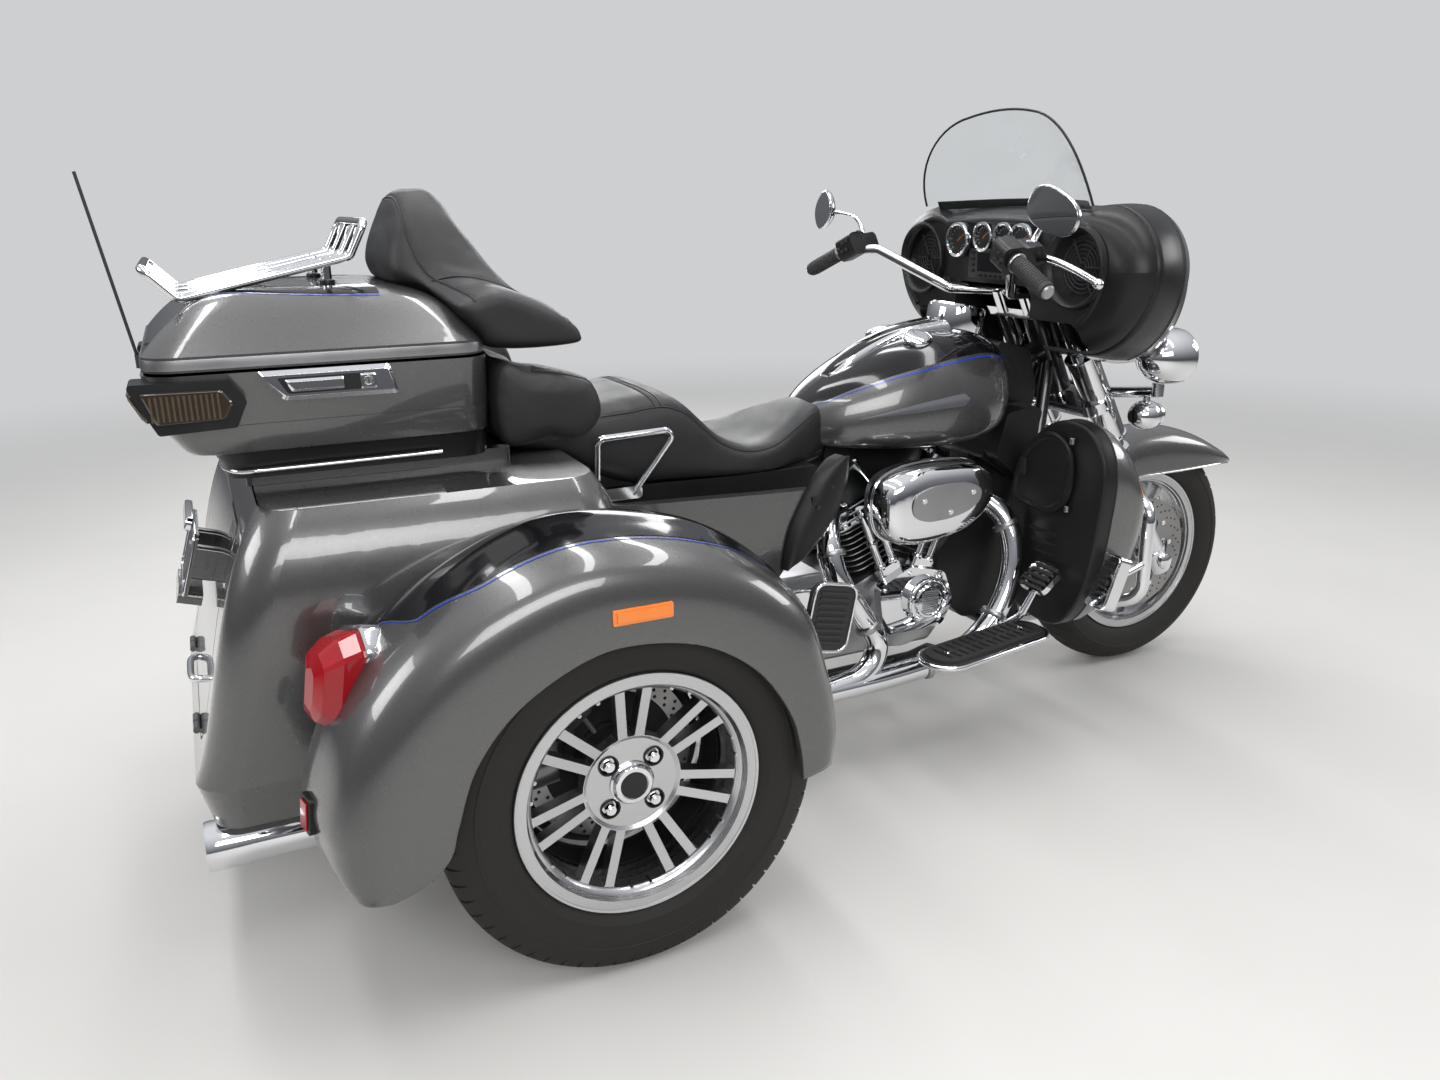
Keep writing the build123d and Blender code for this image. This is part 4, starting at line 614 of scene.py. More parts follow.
def both_sides(rows):
    """Rows made for the right side, and the same for the left."""
    return [flipped(rows, 1), flipped(rows, -1)]


def wall(piece, thickness, offset=-1.0):
    """Give a sheet its thickness, inwards unless told otherwise."""
    solid = piece.modifiers.new("wall", "SOLIDIFY")
    solid.thickness = thickness / 1000
    solid.offset = offset
    solid.use_even_offset = True
    return piece


def lathe(profile, centre, axis, steps):
    """Rows of a turned form: profile of (distance along the axis, radius) about a centre."""
    axis = Vector(axis).normalized()
    side = axis.orthogonal().normalized()
    if abs(axis.y) > 0.9:
        side = Vector((1, 0, 0))
    up = axis.cross(side)
    rows = []
    for i in range(steps):
        angle = 2 * pi * i / steps
        spoke = side * cos(angle) + up * sin(angle)
        rows.append([Vector(centre) + axis * along + spoke * radius for along, radius in profile])
    return [*rows, rows[0]]


def turned(name, profile, centre, axis, finish_name, steps):
    """Turned piece whose profile is closed by its own ends on the axis or by meeting itself."""
    return grid_mesh(name, [lathe(profile, centre, axis, steps)], finish_name)


def ring_frame(points):
    """Direction and two cross directions at every point of a line, without twist."""
    frames = []
    guide = None
    for i in range(len(points)):
        ahead = points[min(i + 1, len(points) - 1)]
        behind = points[max(i - 1, 0)]
        direction = (ahead - behind).normalized()
        if guide is None:
            guide = direction.orthogonal().normalized()
        guide = (guide - direction * guide.dot(direction)).normalized()
        frames.append((direction, guide, direction.cross(guide)))
    return frames


def hose_rows(keys, radius, steps=8, sides=14, smooth=True):
    """Rows of a round bar through key points; radius is one number or one for each key."""
    if smooth:
        points = through([(*key[:3], key[3] if len(key) > 3 else radius) for key in keys], steps)
    else:
        points = [Vector((*key[:3], key[3] if len(key) > 3 else radius)) for key in keys]
    centres = [Vector(point[:3]) for point in points]
    rows = []
    for point, centre, (_, first, second) in zip(points, centres, ring_frame(centres)):
        rows.append([
            centre + (first * cos(2 * pi * k / sides) + second * sin(2 * pi * k / sides)) * point[3]
            for k in range(sides)
        ])
    return rows


def bar(name, lines, radius, finish_name, steps=8, sides=14, smooth=True):
    """Round bars through one or more lists of key points, closed at their ends."""
    grids = [hose_rows(keys, radius, steps, sides, smooth) for keys in lines]
    return grid_mesh(name, grids, finish_name, closed_v=True, caps=True, angle=50)


def prism(work, outline, lift, place):
    """Closed plate of an outline, from 0 to lift along the place's own z, added to a bmesh."""
    low = [work.verts.new(place @ Vector((x / 1000, y / 1000, 0))) for x, y in outline]
    high = [work.verts.new(place @ Vector((x / 1000, y / 1000, lift / 1000))) for x, y in outline]
    work.faces.new(list(reversed(low)))
    work.faces.new(high)
    for i in range(len(outline)):
        k = (i + 1) % len(outline)
        work.faces.new((low[i], low[k], high[k], high[i]))


def place_at(point, normal, upward=UP):
    """Matrix whose z is the normal and whose y is as near to upward as it can be."""
    normal = Vector(normal).normalized()
    right = Vector(upward).cross(normal)
    if right.length < 1e-4:
        right = Vector((1, 0, 0))
    right.normalize()
    basis = Matrix((right, normal.cross(right), normal)).transposed().to_4x4()
    return Matrix.Translation(mm(*point)) @ basis


def rounded(points, radius, steps=5):
    """Outline with its corners rounded."""
    result = []
    count = len(points)
    for i, corner in enumerate(points):
        corner = Vector(corner)
        before, after = Vector(points[i - 1]) - corner, Vector(points[(i + 1) % count]) - corner
        reach = min(radius, before.length * 0.45, after.length * 0.45)
        start = corner + before.normalized() * reach
        end = corner + after.normalized() * reach
        for step in range(steps + 1):
            t = step / steps
            result.append(tuple(start * (1 - t) ** 2 + corner * 2 * t * (1 - t) + end * t ** 2))
    return result


def box_outline(width, height, radius):
    """Rounded rectangle about the origin."""
    x, y = width / 2, height / 2
    return rounded(((-x, -y), (x, -y), (x, y), (-x, y)), radius)


def circle_outline(radius, sides):
    """Circle as an outline."""
    return [(radius * cos(2 * pi * k / sides), radius * sin(2 * pi * k / sides)) for k in range(sides)]


def plates(name, items, finish_name, edge):
    """Plates as one piece: each item has its outline, thickness, point, normal and upward."""
    work = bmesh.new()
    for outline, lift, point, normal, upward in items:
        prism(work, outline, lift, place_at(point, normal, upward))
    piece = from_bmesh(name, work, finish_name)
    return round_edges(piece, edge)


# Geometry Nodes


def repeat_tree(name, finish_name):
    """Tree that sets one shape on every point of a mesh, turned by the points' own rotation."""
    tree = bpy.data.node_groups.new(name, "GeometryNodeTree")
    tree.interface.new_socket("Points", in_out="INPUT", socket_type="NodeSocketGeometry")
    tree.interface.new_socket("Shape", in_out="INPUT", socket_type="NodeSocketObject")
    size = tree.interface.new_socket("Size", in_out="INPUT", socket_type="NodeSocketFloat")
    size.default_value = 1.0
    tree.interface.new_socket("Geometry", in_out="OUTPUT", socket_type="NodeSocketGeometry")
    nodes, links = tree.nodes, tree.links
    given, out = nodes.new("NodeGroupInput"), nodes.new("NodeGroupOutput")
    shape = nodes.new("GeometryNodeObjectInfo")
    links.new(given.outputs["Shape"], shape.inputs["Object"])
    turn = nodes.new("GeometryNodeInputNamedAttribute")
    turn.data_type = "QUATERNION"
    turn.inputs["Name"].default_value = "turn"
    instance = nodes.new("GeometryNodeInstanceOnPoints")
    links.new(given.outputs["Points"], instance.inputs["Points"])
    links.new(shape.outputs["Geometry"], instance.inputs["Instance"])
    links.new(turn.outputs["Attribute"], instance.inputs["Rotation"])
    links.new(given.outputs["Size"], instance.inputs["Scale"])
    realize = nodes.new("GeometryNodeRealizeInstances")
    links.new(instance.outputs["Instances"], realize.inputs["Geometry"])
    dress = nodes.new("GeometryNodeSetMaterial")
    dress.inputs["Material"].default_value = finish(finish_name)
    links.new(realize.outputs["Geometry"], dress.inputs["Geometry"])
    links.new(dress.outputs["Geometry"], out.inputs["Geometry"])
    return tree


def bake_tree(holder, tree, inputs, name, finish_name, angle):
    """Run a tree on an object, keep the result as a plain mesh, and drop the modifier's object."""
    modifier = holder.modifiers.new(tree.name, "NODES")
    modifier.node_group = tree
    sockets = {item.name: item.identifier for item in tree.interface.items_tree if item.in_out == "INPUT"}
    for label, value in inputs.items():
        modifier[sockets[label]] = value
    bpy.context.view_layer.update()
    evaluated = holder.evaluated_get(bpy.context.evaluated_depsgraph_get())
    mesh = bpy.data.meshes.new_from_object(evaluated)
    mesh.name = name
    mesh.materials.clear()
    bpy.data.objects.remove(holder)
    return link_mesh(name, mesh, finish_name, angle)


def repeat(name, shape, places, finish_name, angle=CREASE):
    """Copies of a shape, made about the origin in metres, at matrices, as one piece."""
    mesh = bpy.data.meshes.new(name + " points")
    mesh.from_pydata([matrix.translation for matrix in places], [], [])
    turns = mesh.attributes.new("turn", "QUATERNION", "POINT")
    for item, matrix in zip(turns.data, places):
        item.value = matrix.to_quaternion()
    holder = link_object(name + " points", mesh)
    tree = repeat_tree(name, finish_name)
    piece = bake_tree(holder, tree, {"Shape": shape, "Size": 1.0}, name, finish_name, angle)
    bpy.data.objects.remove(shape)
    return piece


def shape_of(outlines):
    """Shape about the origin from stacked plates of (outline, low, high), in millimetres."""
    work = bmesh.new()
    for outline, low, high in outlines:
        prism(work, outline, high - low, Matrix.Translation((0, 0, low / 1000)))
    return link_object("shape", mesh_of("shape", work))


def bolt_shape(radius, height, sides=6):
    """Bolt head on a washer."""
    return shape_of((
        (circle_outline(radius * 1.35, 16), 0, height * 0.22),
        (circle_outline(radius, sides), height * 0.22, height * 0.9),
        (circle_outline(radius * 0.86, sides), height * 0.9, height),
    ))


def bolts(name, spots, radius, height, finish_name="chrome", sides=6):
    """Bolt heads at spots of (point, outward normal)."""
    places = [place_at(point, normal) for point, normal in spots]
    return repeat(name, bolt_shape(radius, height, sides), places, finish_name)


def stitches(name, lines):
    """Rows of stitches along lines of millimetre points."""
    work = bmesh.new()
    pitch, half, size = trim("stitch_pitch"), STITCH_LENGTH / 2000, STITCH_RADIUS / 1000
    ends = [(-half, 0.25), (-half * 0.7, 0.85), (0, 1.0), (half * 0.7, 0.85), (half, 0.25)]
    rings = [
        [
            work.verts.new((along, size * share * cos(k * pi / 3), size * share * sin(k * pi / 3)))
            for k in range(6)
        ]
        for along, share in ends
    ]
    for first, second in zip(rings, rings[1:]):
        for k in range(6):
            work.faces.new((first[k], first[(k + 1) % 6], second[(k + 1) % 6], second[k]))
    work.faces.new(rings[0])
    work.faces.new(rings[-1])
    shape = link_object("stitch", mesh_of("stitch", work))
    places = []
    for line in lines:
        left = pitch / 2
        for start, end in zip(line, line[1:]):
            run = (end - start).length
            while left < run:
                spot = start.lerp(end, left / run)
                turn = (end - start).to_track_quat("X", "Z").to_matrix().to_4x4()
                places.append(Matrix.Translation(mm(*spot)) @ turn)
                left += pitch
            left -= run
    return repeat(name, shape, places, "stitch", 60)


# Stage

# Metres from the middle at which the floor starts to fade, and at which it has gone
FADE_START, FLOOR_RADIUS = 2.2, 7.0
LAMP_TARGET = Vector((0, 0, 0.6))
# Camera's turn, dip and roll in radians, its place, and its focal length beside the photograph's width
CAMERA_ANGLES = (1.126, 0.300, -0.009)
CAMERA_PLACE = (-546.7, -2091.2, 1220.7)
LENS_PIXELS, PHOTO_PIXELS = 1088.6, 1440
# Name, place, size and power
LAMPS = (
    ("strip one", (-1.5, 0.0, 3.0), (0.22, 4.5), 34),
    ("strip two", (-0.3, 0.0, 3.0), (0.22, 4.5), 34),
    ("strip three", (0.9, 0.0, 3.0), (0.22, 4.5), 34),
    ("right softbox", (-0.9, -3.9, 2.3), (2.6, 1.2), 62),
    ("left softbox", (0.8, 3.9, 2.2), (2.8, 1.2), 55),
    ("rear softbox", (-4.0, 0.3, 2.2), (1.8, 1.2), 42),
    ("front softbox", (4.2, -1.2, 2.2), (1.8, 1.2), 42),
)


class TRIKE_OT_stage(bpy.types.Operator):
    """Floor, soft studio lamps and the camera at the photograph's angle"""

    bl_idname = "trike.stage"
    bl_label = "Stage"

    def execute(self, context):
        scene = context.scene
        scene.view_settings.view_transform = "Standard"
        work = bmesh.new()
        bmesh.ops.create_circle(work, cap_ends=True, segments=96, radius=FLOOR_RADIUS)
        floor = from_bmesh("floor", work, "plastic")
        floor.data.materials.clear()
        floor.data.materials.append(self.floor_material())
        self.make_world(scene)
        for name, place, size, power in LAMPS:
            lamp = bpy.data.lights.new(name, "AREA")
            lamp.shape = "RECTANGLE"
            lamp.size, lamp.size_y = size
            lamp.energy = power
            holder = link_object(name, lamp)
            holder.location = place
            aim = LAMP_TARGET - Vector(place)
            if name.startswith("strip"):
                aim = Vector((0, 0, -1))
            holder.rotation_euler = aim.to_track_quat("-Z", "Y").to_euler()
        self.make_camera(scene)
        return {"FINISHED"}

    def floor_material(self):
        """Pale floor that fades into the backdrop away from the vehicle."""
        material = bpy.data.materials.new("pale floor")
        material.use_nodes = True
        nodes, links = material.node_tree.nodes, material.node_tree.links
        shader = nodes["Principled BSDF"]
        place = nodes.new("ShaderNodeTexCoord").outputs["Object"]
        noise = nodes.new("ShaderNodeTexNoise")
        noise.inputs["Scale"].default_value = 3.0
        links.new(place, noise.inputs["Vector"])
        ramp = nodes.new("ShaderNodeValToRGB")
        ramp.color_ramp.elements[0].color = (0.60, 0.59, 0.57, 1)
        ramp.color_ramp.elements[1].color = (0.64, 0.63, 0.61, 1)
        links.new(noise.outputs["Fac"], ramp.inputs["Fac"])
        links.new(ramp.outputs["Color"], shader.inputs["Base Color"])
        shader.inputs["Roughness"].default_value = 0.55
        distance = nodes.new("ShaderNodeVectorMath")
        distance.operation = "LENGTH"
        links.new(place, distance.inputs[0])
        fade = nodes.new("ShaderNodeMapRange")
        fade.interpolation_type = "SMOOTHSTEP"
        fade.inputs["From Min"].default_value = FADE_START
        fade.inputs["From Max"].default_value = FLOOR_RADIUS
        links.new(distance.outputs["Value"], fade.inputs["Value"])
        mix = nodes.new("ShaderNodeMixShader")
        links.new(fade.outputs["Result"], mix.inputs["Fac"])
        links.new(shader.outputs["BSDF"], mix.inputs[1])
        links.new(nodes.new("ShaderNodeBsdfTransparent").outputs["BSDF"], mix.inputs[2])
        links.new(mix.outputs["Shader"], nodes["Material Output"].inputs["Surface"])
        return material

    def make_world(self, scene):
        """Even pale light all round, a little brighter where it is seen than where it lights."""
        world = bpy.data.worlds.new("studio")
        scene.world = world
        world.use_nodes = True
        nodes, links = world.node_tree.nodes, world.node_tree.links
        lit = nodes["Background"]
        lit.inputs["Color"].default_value = (0.72, 0.73, 0.75, 1)
        lit.inputs["Strength"].default_value = 0.62
        seen = nodes.new("ShaderNodeBackground")
        seen.inputs["Color"].default_value = (0.62, 0.625, 0.635, 1)
        seen.inputs["Strength"].default_value = 1.0
        # Reflections see a darker horizon than the camera does, as in a room
        mirrored = nodes.new("ShaderNodeBackground")
        place = nodes.new("ShaderNodeTexCoord")
        split = nodes.new("ShaderNodeSeparateXYZ")
        ramp = nodes.new("ShaderNodeValToRGB")
        ramp.color_ramp.elements[0].position = 0.46
        ramp.color_ramp.elements[0].color = (0.09, 0.09, 0.10, 1)
        ramp.color_ramp.elements[1].position = 0.95
        ramp.color_ramp.elements[1].color = (0.86, 0.87, 0.90, 1)
        middle = ramp.color_ramp.elements.new(0.62)
        middle.color = (0.30, 0.31, 0.33, 1)
        half = nodes.new("ShaderNodeMath")
        half.operation = "MULTIPLY_ADD"
        half.inputs[1].default_value = 0.5
        half.inputs[2].default_value = 0.5
        links.new(place.outputs["Generated"], split.inputs["Vector"])
        links.new(split.outputs["Z"], half.inputs[0])
        links.new(half.outputs[0], ramp.inputs["Fac"])
        links.new(ramp.outputs["Color"], mirrored.inputs["Color"])
        rays = nodes.new("ShaderNodeLightPath")
        result = lit.outputs["Background"]
        for kind, ground in (
            ("Is Glossy Ray", mirrored), ("Is Transmission Ray", seen), ("Is Camera Ray", seen),
        ):
            mix = nodes.new("ShaderNodeMixShader")
            links.new(rays.outputs[kind], mix.inputs["Fac"])
            links.new(result, mix.inputs[1])
            links.new(ground.outputs["Background"], mix.inputs[2])
            result = mix.outputs["Shader"]
        links.new(result, nodes["World Output"].inputs["Surface"])

    def make_camera(self, scene):
        """Camera solved from the wheels in the photograph."""
        turn, dip, roll = CAMERA_ANGLES
        forward = Vector((cos(turn) * cos(dip), sin(turn) * cos(dip), -sin(dip)))
        level_right = Vector((sin(turn), -cos(turn), 0))
        level_up = level_right.cross(forward)
        right = cos(roll) * level_right + sin(roll) * level_up
        up = cos(roll) * level_up - sin(roll) * level_right
        lens = bpy.data.cameras.new("camera")
        lens.lens = LENS_PIXELS / PHOTO_PIXELS * lens.sensor_width
        camera = link_object("camera", lens)
        basis = Matrix((right, up, -forward)).transposed().to_4x4()
        camera.matrix_world = Matrix.Translation(mm(*CAMERA_PLACE)) @ basis
        scene.camera = camera


# Finishes of the nodes that stay as the frame has them
NODE_FINISH = {
    "frame": "frame_black", "engine_cases": "satin_metal", "cylinders": "engine_black",
    "cylinder_heads": "chrome", "valve_gear": "chrome", "air_cleaner": "chrome", "drive_covers": "chrome",
    "exhaust": "chrome", "fuel_tank": "paint_grey", "tank_console": "chrome", "seat": "leather",
    "grab_rails": "chrome", "side_covers": "paint_grey", "air_deflectors": "satin_black",
    "rear_axle": "frame_black", "drive_belt": "rubber", "boot_tub": "paint_grey", "tail_lamps": "red_lens",
    "rear_fenders": "paint_grey", "box_carrier": "frame_black", "box_lamps": "satin_black",
    "box_tub": "paint_grey", "antenna": "rubber", "lower_backrest": "leather", "footboards": "rubber",
    "foot_controls": "chrome", "engine_guard": "chrome", "lower_fairings": "paint_grey", "fork": "chrome",
    "front_fender": "paint_grey", "fairing_outer": "paint_grey", "fairing_inner": "satin_black",
    "windscreen": "clear", "headlamp": "chrome", "spot_lamps": "chrome", "lamp_bar": "chrome",
    "handlebar": "chrome", "grips": "rubber", "hand_controls": "satin_black", "mirrors": "chrome",
    "front_tyre": "tyre", "front_rim": "machined_front", "front_discs": "steel", "rear_tyre_right": "tyre",
    "rear_rim_right": "machined_right", "rear_tyre_left": "tyre", "rear_rim_left": "machined_left",
    "boot_door": "paint_grey", "box_lid": "paint_grey", "luggage_rack": "chrome", "backrest": "leather",
    "glove_door_right": "satin_black", "glove_door_left": "satin_black",
}


class TRIKE_OT_frame_finishes(bpy.types.Operator):
    """Finish of every node that shows as the frame has it"""

    bl_idname = "trike.frame_finishes"
    bl_label = "Frame finishes"

    def execute(self, context):
        for name, node in frame["nodes"].items():
            node.data.materials.clear()
            node.data.materials.append(finish(NODE_FINISH[name]))
        return {"FINISHED"}



# Rear fenders, as a skin from the wheel arch's lip over the crown to the boot

# Lip x, lip z, crown x, crown z at stations from the front bottom edge round to the rear one
FENDER_STATIONS = (
    (273, 300, 360, 318), (268, 352, 366, 380), (247, 425, 350, 476), (189, 510, 300, 608),
    (97, 572, 160, 712), (-15, 595, -15, 754), (-102, 582, -150, 740), (-199, 528, -309, 661),
    (-264, 452, -424, 540), (-296, 366, -482, 404), (-312, 318, -484, 340), (-350, 284, -474, 296),
    (-394, 270, -458, 276),
)
# Share of the way from lip to crown, lift beyond it, and distance from the middle plane
FENDER_ACROSS = (
    (0.035, 0, 664), (0.0, 0, 672), (0.0, 0, 686), (0.05, 0, 689.5), (0.3, 0, 690), (0.5, 0, 688),
    (0.67, 0, 681), (0.8, 0, 667), (0.885, 0, 647), (0.935, 0, 621), (0.972, 0, 590), (1.0, 0, 560),
    (1.0, 5, 530), (1.0, 5, 500), (1.0, -4, 470), (1.0, -22, 444), (1.0, -46, 424), (1.0, -74, 408),
)


def fender_skin():
    """Skin of the right rear fender."""
    rows = []
    for lip_x, lip_z, crown_x, crown_z in FENDER_STATIONS:
        lip, crown = Vector((lip_x, lip_z)), Vector((crown_x, crown_z))
        outward = (crown - lip).normalized()
        row = []
        for share, lift, reach in FENDER_ACROSS:
            spot = lip.lerp(crown, share) + outward * lift
            row.append((spot.x, -reach, spot.y))
        rows.append(row)
    return Skin(rows, 7, 4)


def between(keys):
    """Smooth function through (u, v) keys, held flat beyond them."""
    def value(u):
        if u <= keys[0][0]:
            return keys[0][1]
        for (u0, v0), (u1, v1) in zip(keys, keys[1:]):
            if u <= u1:
                t = (u - u0) / (u1 - u0)
                return v0 + (v1 - v0) * t * t * (3 - 2 * t)
        return keys[-1][1]
    return value


class TRIKE_OT_rear_fenders(bpy.types.Operator):
    """Rear fenders with their inlays, pinstripes and marker lamps"""

    bl_idname = "trike.rear_fenders"
    bl_label = "Rear fenders"

    def execute(self, context):
        skin = fender_skin()
        shell = wall(grid_mesh("fender_shells", both_sides(skin.rows), "paint_grey", angle=60), 4.0)
        settle(shell, "chassis", ["rear_fenders"])
        # Gloss inlay along the inner crown, thinning to a point at both ends
        outer = between(
            ((2.7, 13.0), (3.5, 10.0), (4.3, 9.3), (5.3, 9.1), (6.4, 9.3), (7.0, 10.2), (7.4, 13.0))
        )
        inner = between(((2.7, 13.1), (3.6, 13.6), (5.0, 13.9), (6.6, 13.6), (7.4, 13.1)))
        inlay = skin.patch((2.7, 7.4), outer, inner, -0.8, (90, 10))
        settle(grid_mesh("fender_inlays", both_sides(inlay), "paint_black", angle=60), "chassis")
        wide = trim("stripe_width") / 3
        lines = []
        for edge, shift, share in ((outer, -0.3, 0.12), (inner, 0.14, 0.1)):
            lines += both_sides(skin.patch(
                (2.7, 7.4), lambda u: edge(u) + shift, lambda u: edge(u) + shift + share * wide, -0.9, (90, 2)
            ))
        settle(grid_mesh("fender_pinstripes", lines, "pinstripe", angle=60), "chassis")
        self.make_markers()
        return {"FINISHED"}

    def make_markers(self):
        """Amber marker lamp on each side, and a red reflector on a black pod behind the wheel."""
        bases, lenses, pods, reflectors = [], [], [], []
        for flip in (1, -1):
            out = (0, -flip, 0)
            bases.append((box_outline(96, 25, 4), 5, (-5, -flip * 688, 645), out, UP))
            lenses.append((box_outline(84, 17, 3), 3, (-5, -flip * 692.5, 645), out, UP))
            back = (-0.97, -flip * 0.2, 0.1)
            pods.append((box_outline(40, 58, 8), 12, (-482, -flip * 560, 372), back, UP))
            reflectors.append((box_outline(26, 44, 3), 3, (-494, -flip * 562.5, 373), back, UP))
        settle(plates("marker_bases", bases, "amber_lens", 1.2), "chassis")
        settle(plates("marker_lenses", lenses, "amber_lens", 1.2), "chassis")
        settle(plates("reflector_pods", pods, "satin_black", 2.0), "chassis")
        # The reflectors' red lens finish carries a faint painted glow
        settle(plates("rear_reflectors", reflectors, "red_lens", 0.8), "chassis")


# Front fender: crown x and z, edge x and z, half width
NOSE_STATIONS = (
    (1337, 286, 1376, 284, 76), (1344, 350, 1392, 336, 80), (1362, 430, 1424, 408, 81),
    (1420, 533, 1486, 480, 81), (1508, 606, 1562, 520, 81), (1600, 642, 1622, 532, 81),
    (1680, 650, 1690, 533, 81), (1762, 642, 1766, 533, 81), (1850, 617, 1846, 534, 80),
    (1926, 580, 1912, 533, 74), (1976, 549, 1958, 529, 62), (2004, 528, 1984, 523, 44),
    (2016, 516, 2000, 517, 22),
)
# Share from edge to crown, share of the half width
NOSE_ACROSS = (
    (0.0, 1.0), (0.18, 1.0), (0.36, 1.0), (0.52, 0.985), (0.7, 0.92), (0.84, 0.78), (0.94, 0.54),
    (0.99, 0.26), (1.0, 0.0)
)


def nose_skin():
    """Skin of the front fender from its right edge over the crown to its left one."""
    rows = []
    for crown_x, crown_z, edge_x, edge_z, half in NOSE_STATIONS:
        edge, crown = Vector((edge_x, edge_z)), Vector((crown_x, crown_z))
        row = []
        for share, reach in NOSE_ACROSS:
            spot = edge.lerp(crown, share)
            row.append((spot.x, -half * reach, spot.y))
        rows.append(row + [(x, -y, z) for x, y, z in reversed(row[:-1])])
    return Skin(rows, 6, 3)


class TRIKE_OT_front_fender(bpy.types.Operator):
    """Front fender with its inlay, pinstripe and bright edge"""

    bl_idname = "trike.front_fender"
    bl_label = "Front fender"

    def execute(self, context):
        skin = nose_skin()
        shell = wall(grid_mesh("front_fender_shell", [skin.rows], "paint_grey", angle=60), 3.5)
        settle(shell, "front_end", ["front_fender"])
        middle = len(NOSE_ACROSS) - 1
        wide = trim("stripe_width") / 3
        strips, lines = [], []
        for flip in (-1, 1):
            inner = between(((2.0, 1.0), (5.0, 1.5), (8.0, 1.6), (11.3, 0.4)))
            outer = between(((2.0, 1.05), (5.0, 2.6), (8.0, 2.8), (11.3, 0.5)))
            strips.append(skin.patch(
                (2.0, 11.3), lambda u: middle + flip * inner(u), lambda u: middle + flip * outer(u),
                flip * 0.6, (60, 5)
            ))
            lines.append(skin.patch(
                (1.9, 11.4), lambda u: middle + flip * (outer(u) + 0.1),
                lambda u: middle + flip * (outer(u) + 0.1 + 0.07 * wide), flip * 0.7, (70, 1),
            ))
        settle(grid_mesh("front_fender_inlays", strips, "paint_black", angle=60), "front_end")
        settle(grid_mesh("front_fender_pinstripes", lines, "pinstripe", angle=60), "front_end")
        # Rolled bright edge round the nose and along both sides
        edge = [skin.at(u / 4, 0) for u in range(16, 4 * (len(NOSE_STATIONS) - 1) + 1)]
        loop = edge + [Vector((point.x, -point.y, point.z)) for point in reversed(edge)]
        rows = hose_rows(loop, 3.0, steps=2, sides=8)
        settle(grid_mesh("front_fender_edge", [rows], "chrome", True, True, 60), "front_end")
        return {"FINISHED"}


# Fuel tank: x, half width, bottom z, top z
TANK_STATIONS = (
    (622, 44, 728, 776), (640, 68, 716, 800), (690, 106, 704, 838), (760, 140, 696, 876),
    (850, 164, 689, 915), (950, 174, 687, 940), (1040, 168, 690, 942), (1105, 144, 704, 922),
    (1145, 110, 728, 894), (1162, 80, 746, 872),
)
# Share of the half width, share of the height
TANK_ACROSS = (
    (0.0, 0.02), (0.45, 0.0), (0.76, 0.03), (0.94, 0.14), (1.0, 0.34), (0.965, 0.56), (0.86, 0.76),
    (0.66, 0.915), (0.38, 0.985), (0.0, 1.0),
)


def tank_skin():
    """Skin of the tank's right half from its bottom middle to its top middle."""
    rows = []
    for x, half, low, top in TANK_STATIONS:
        rows.append([(x, -half * reach, low + (top - low) * rise) for reach, rise in TANK_ACROSS])
    return Skin(rows, 6, 4)


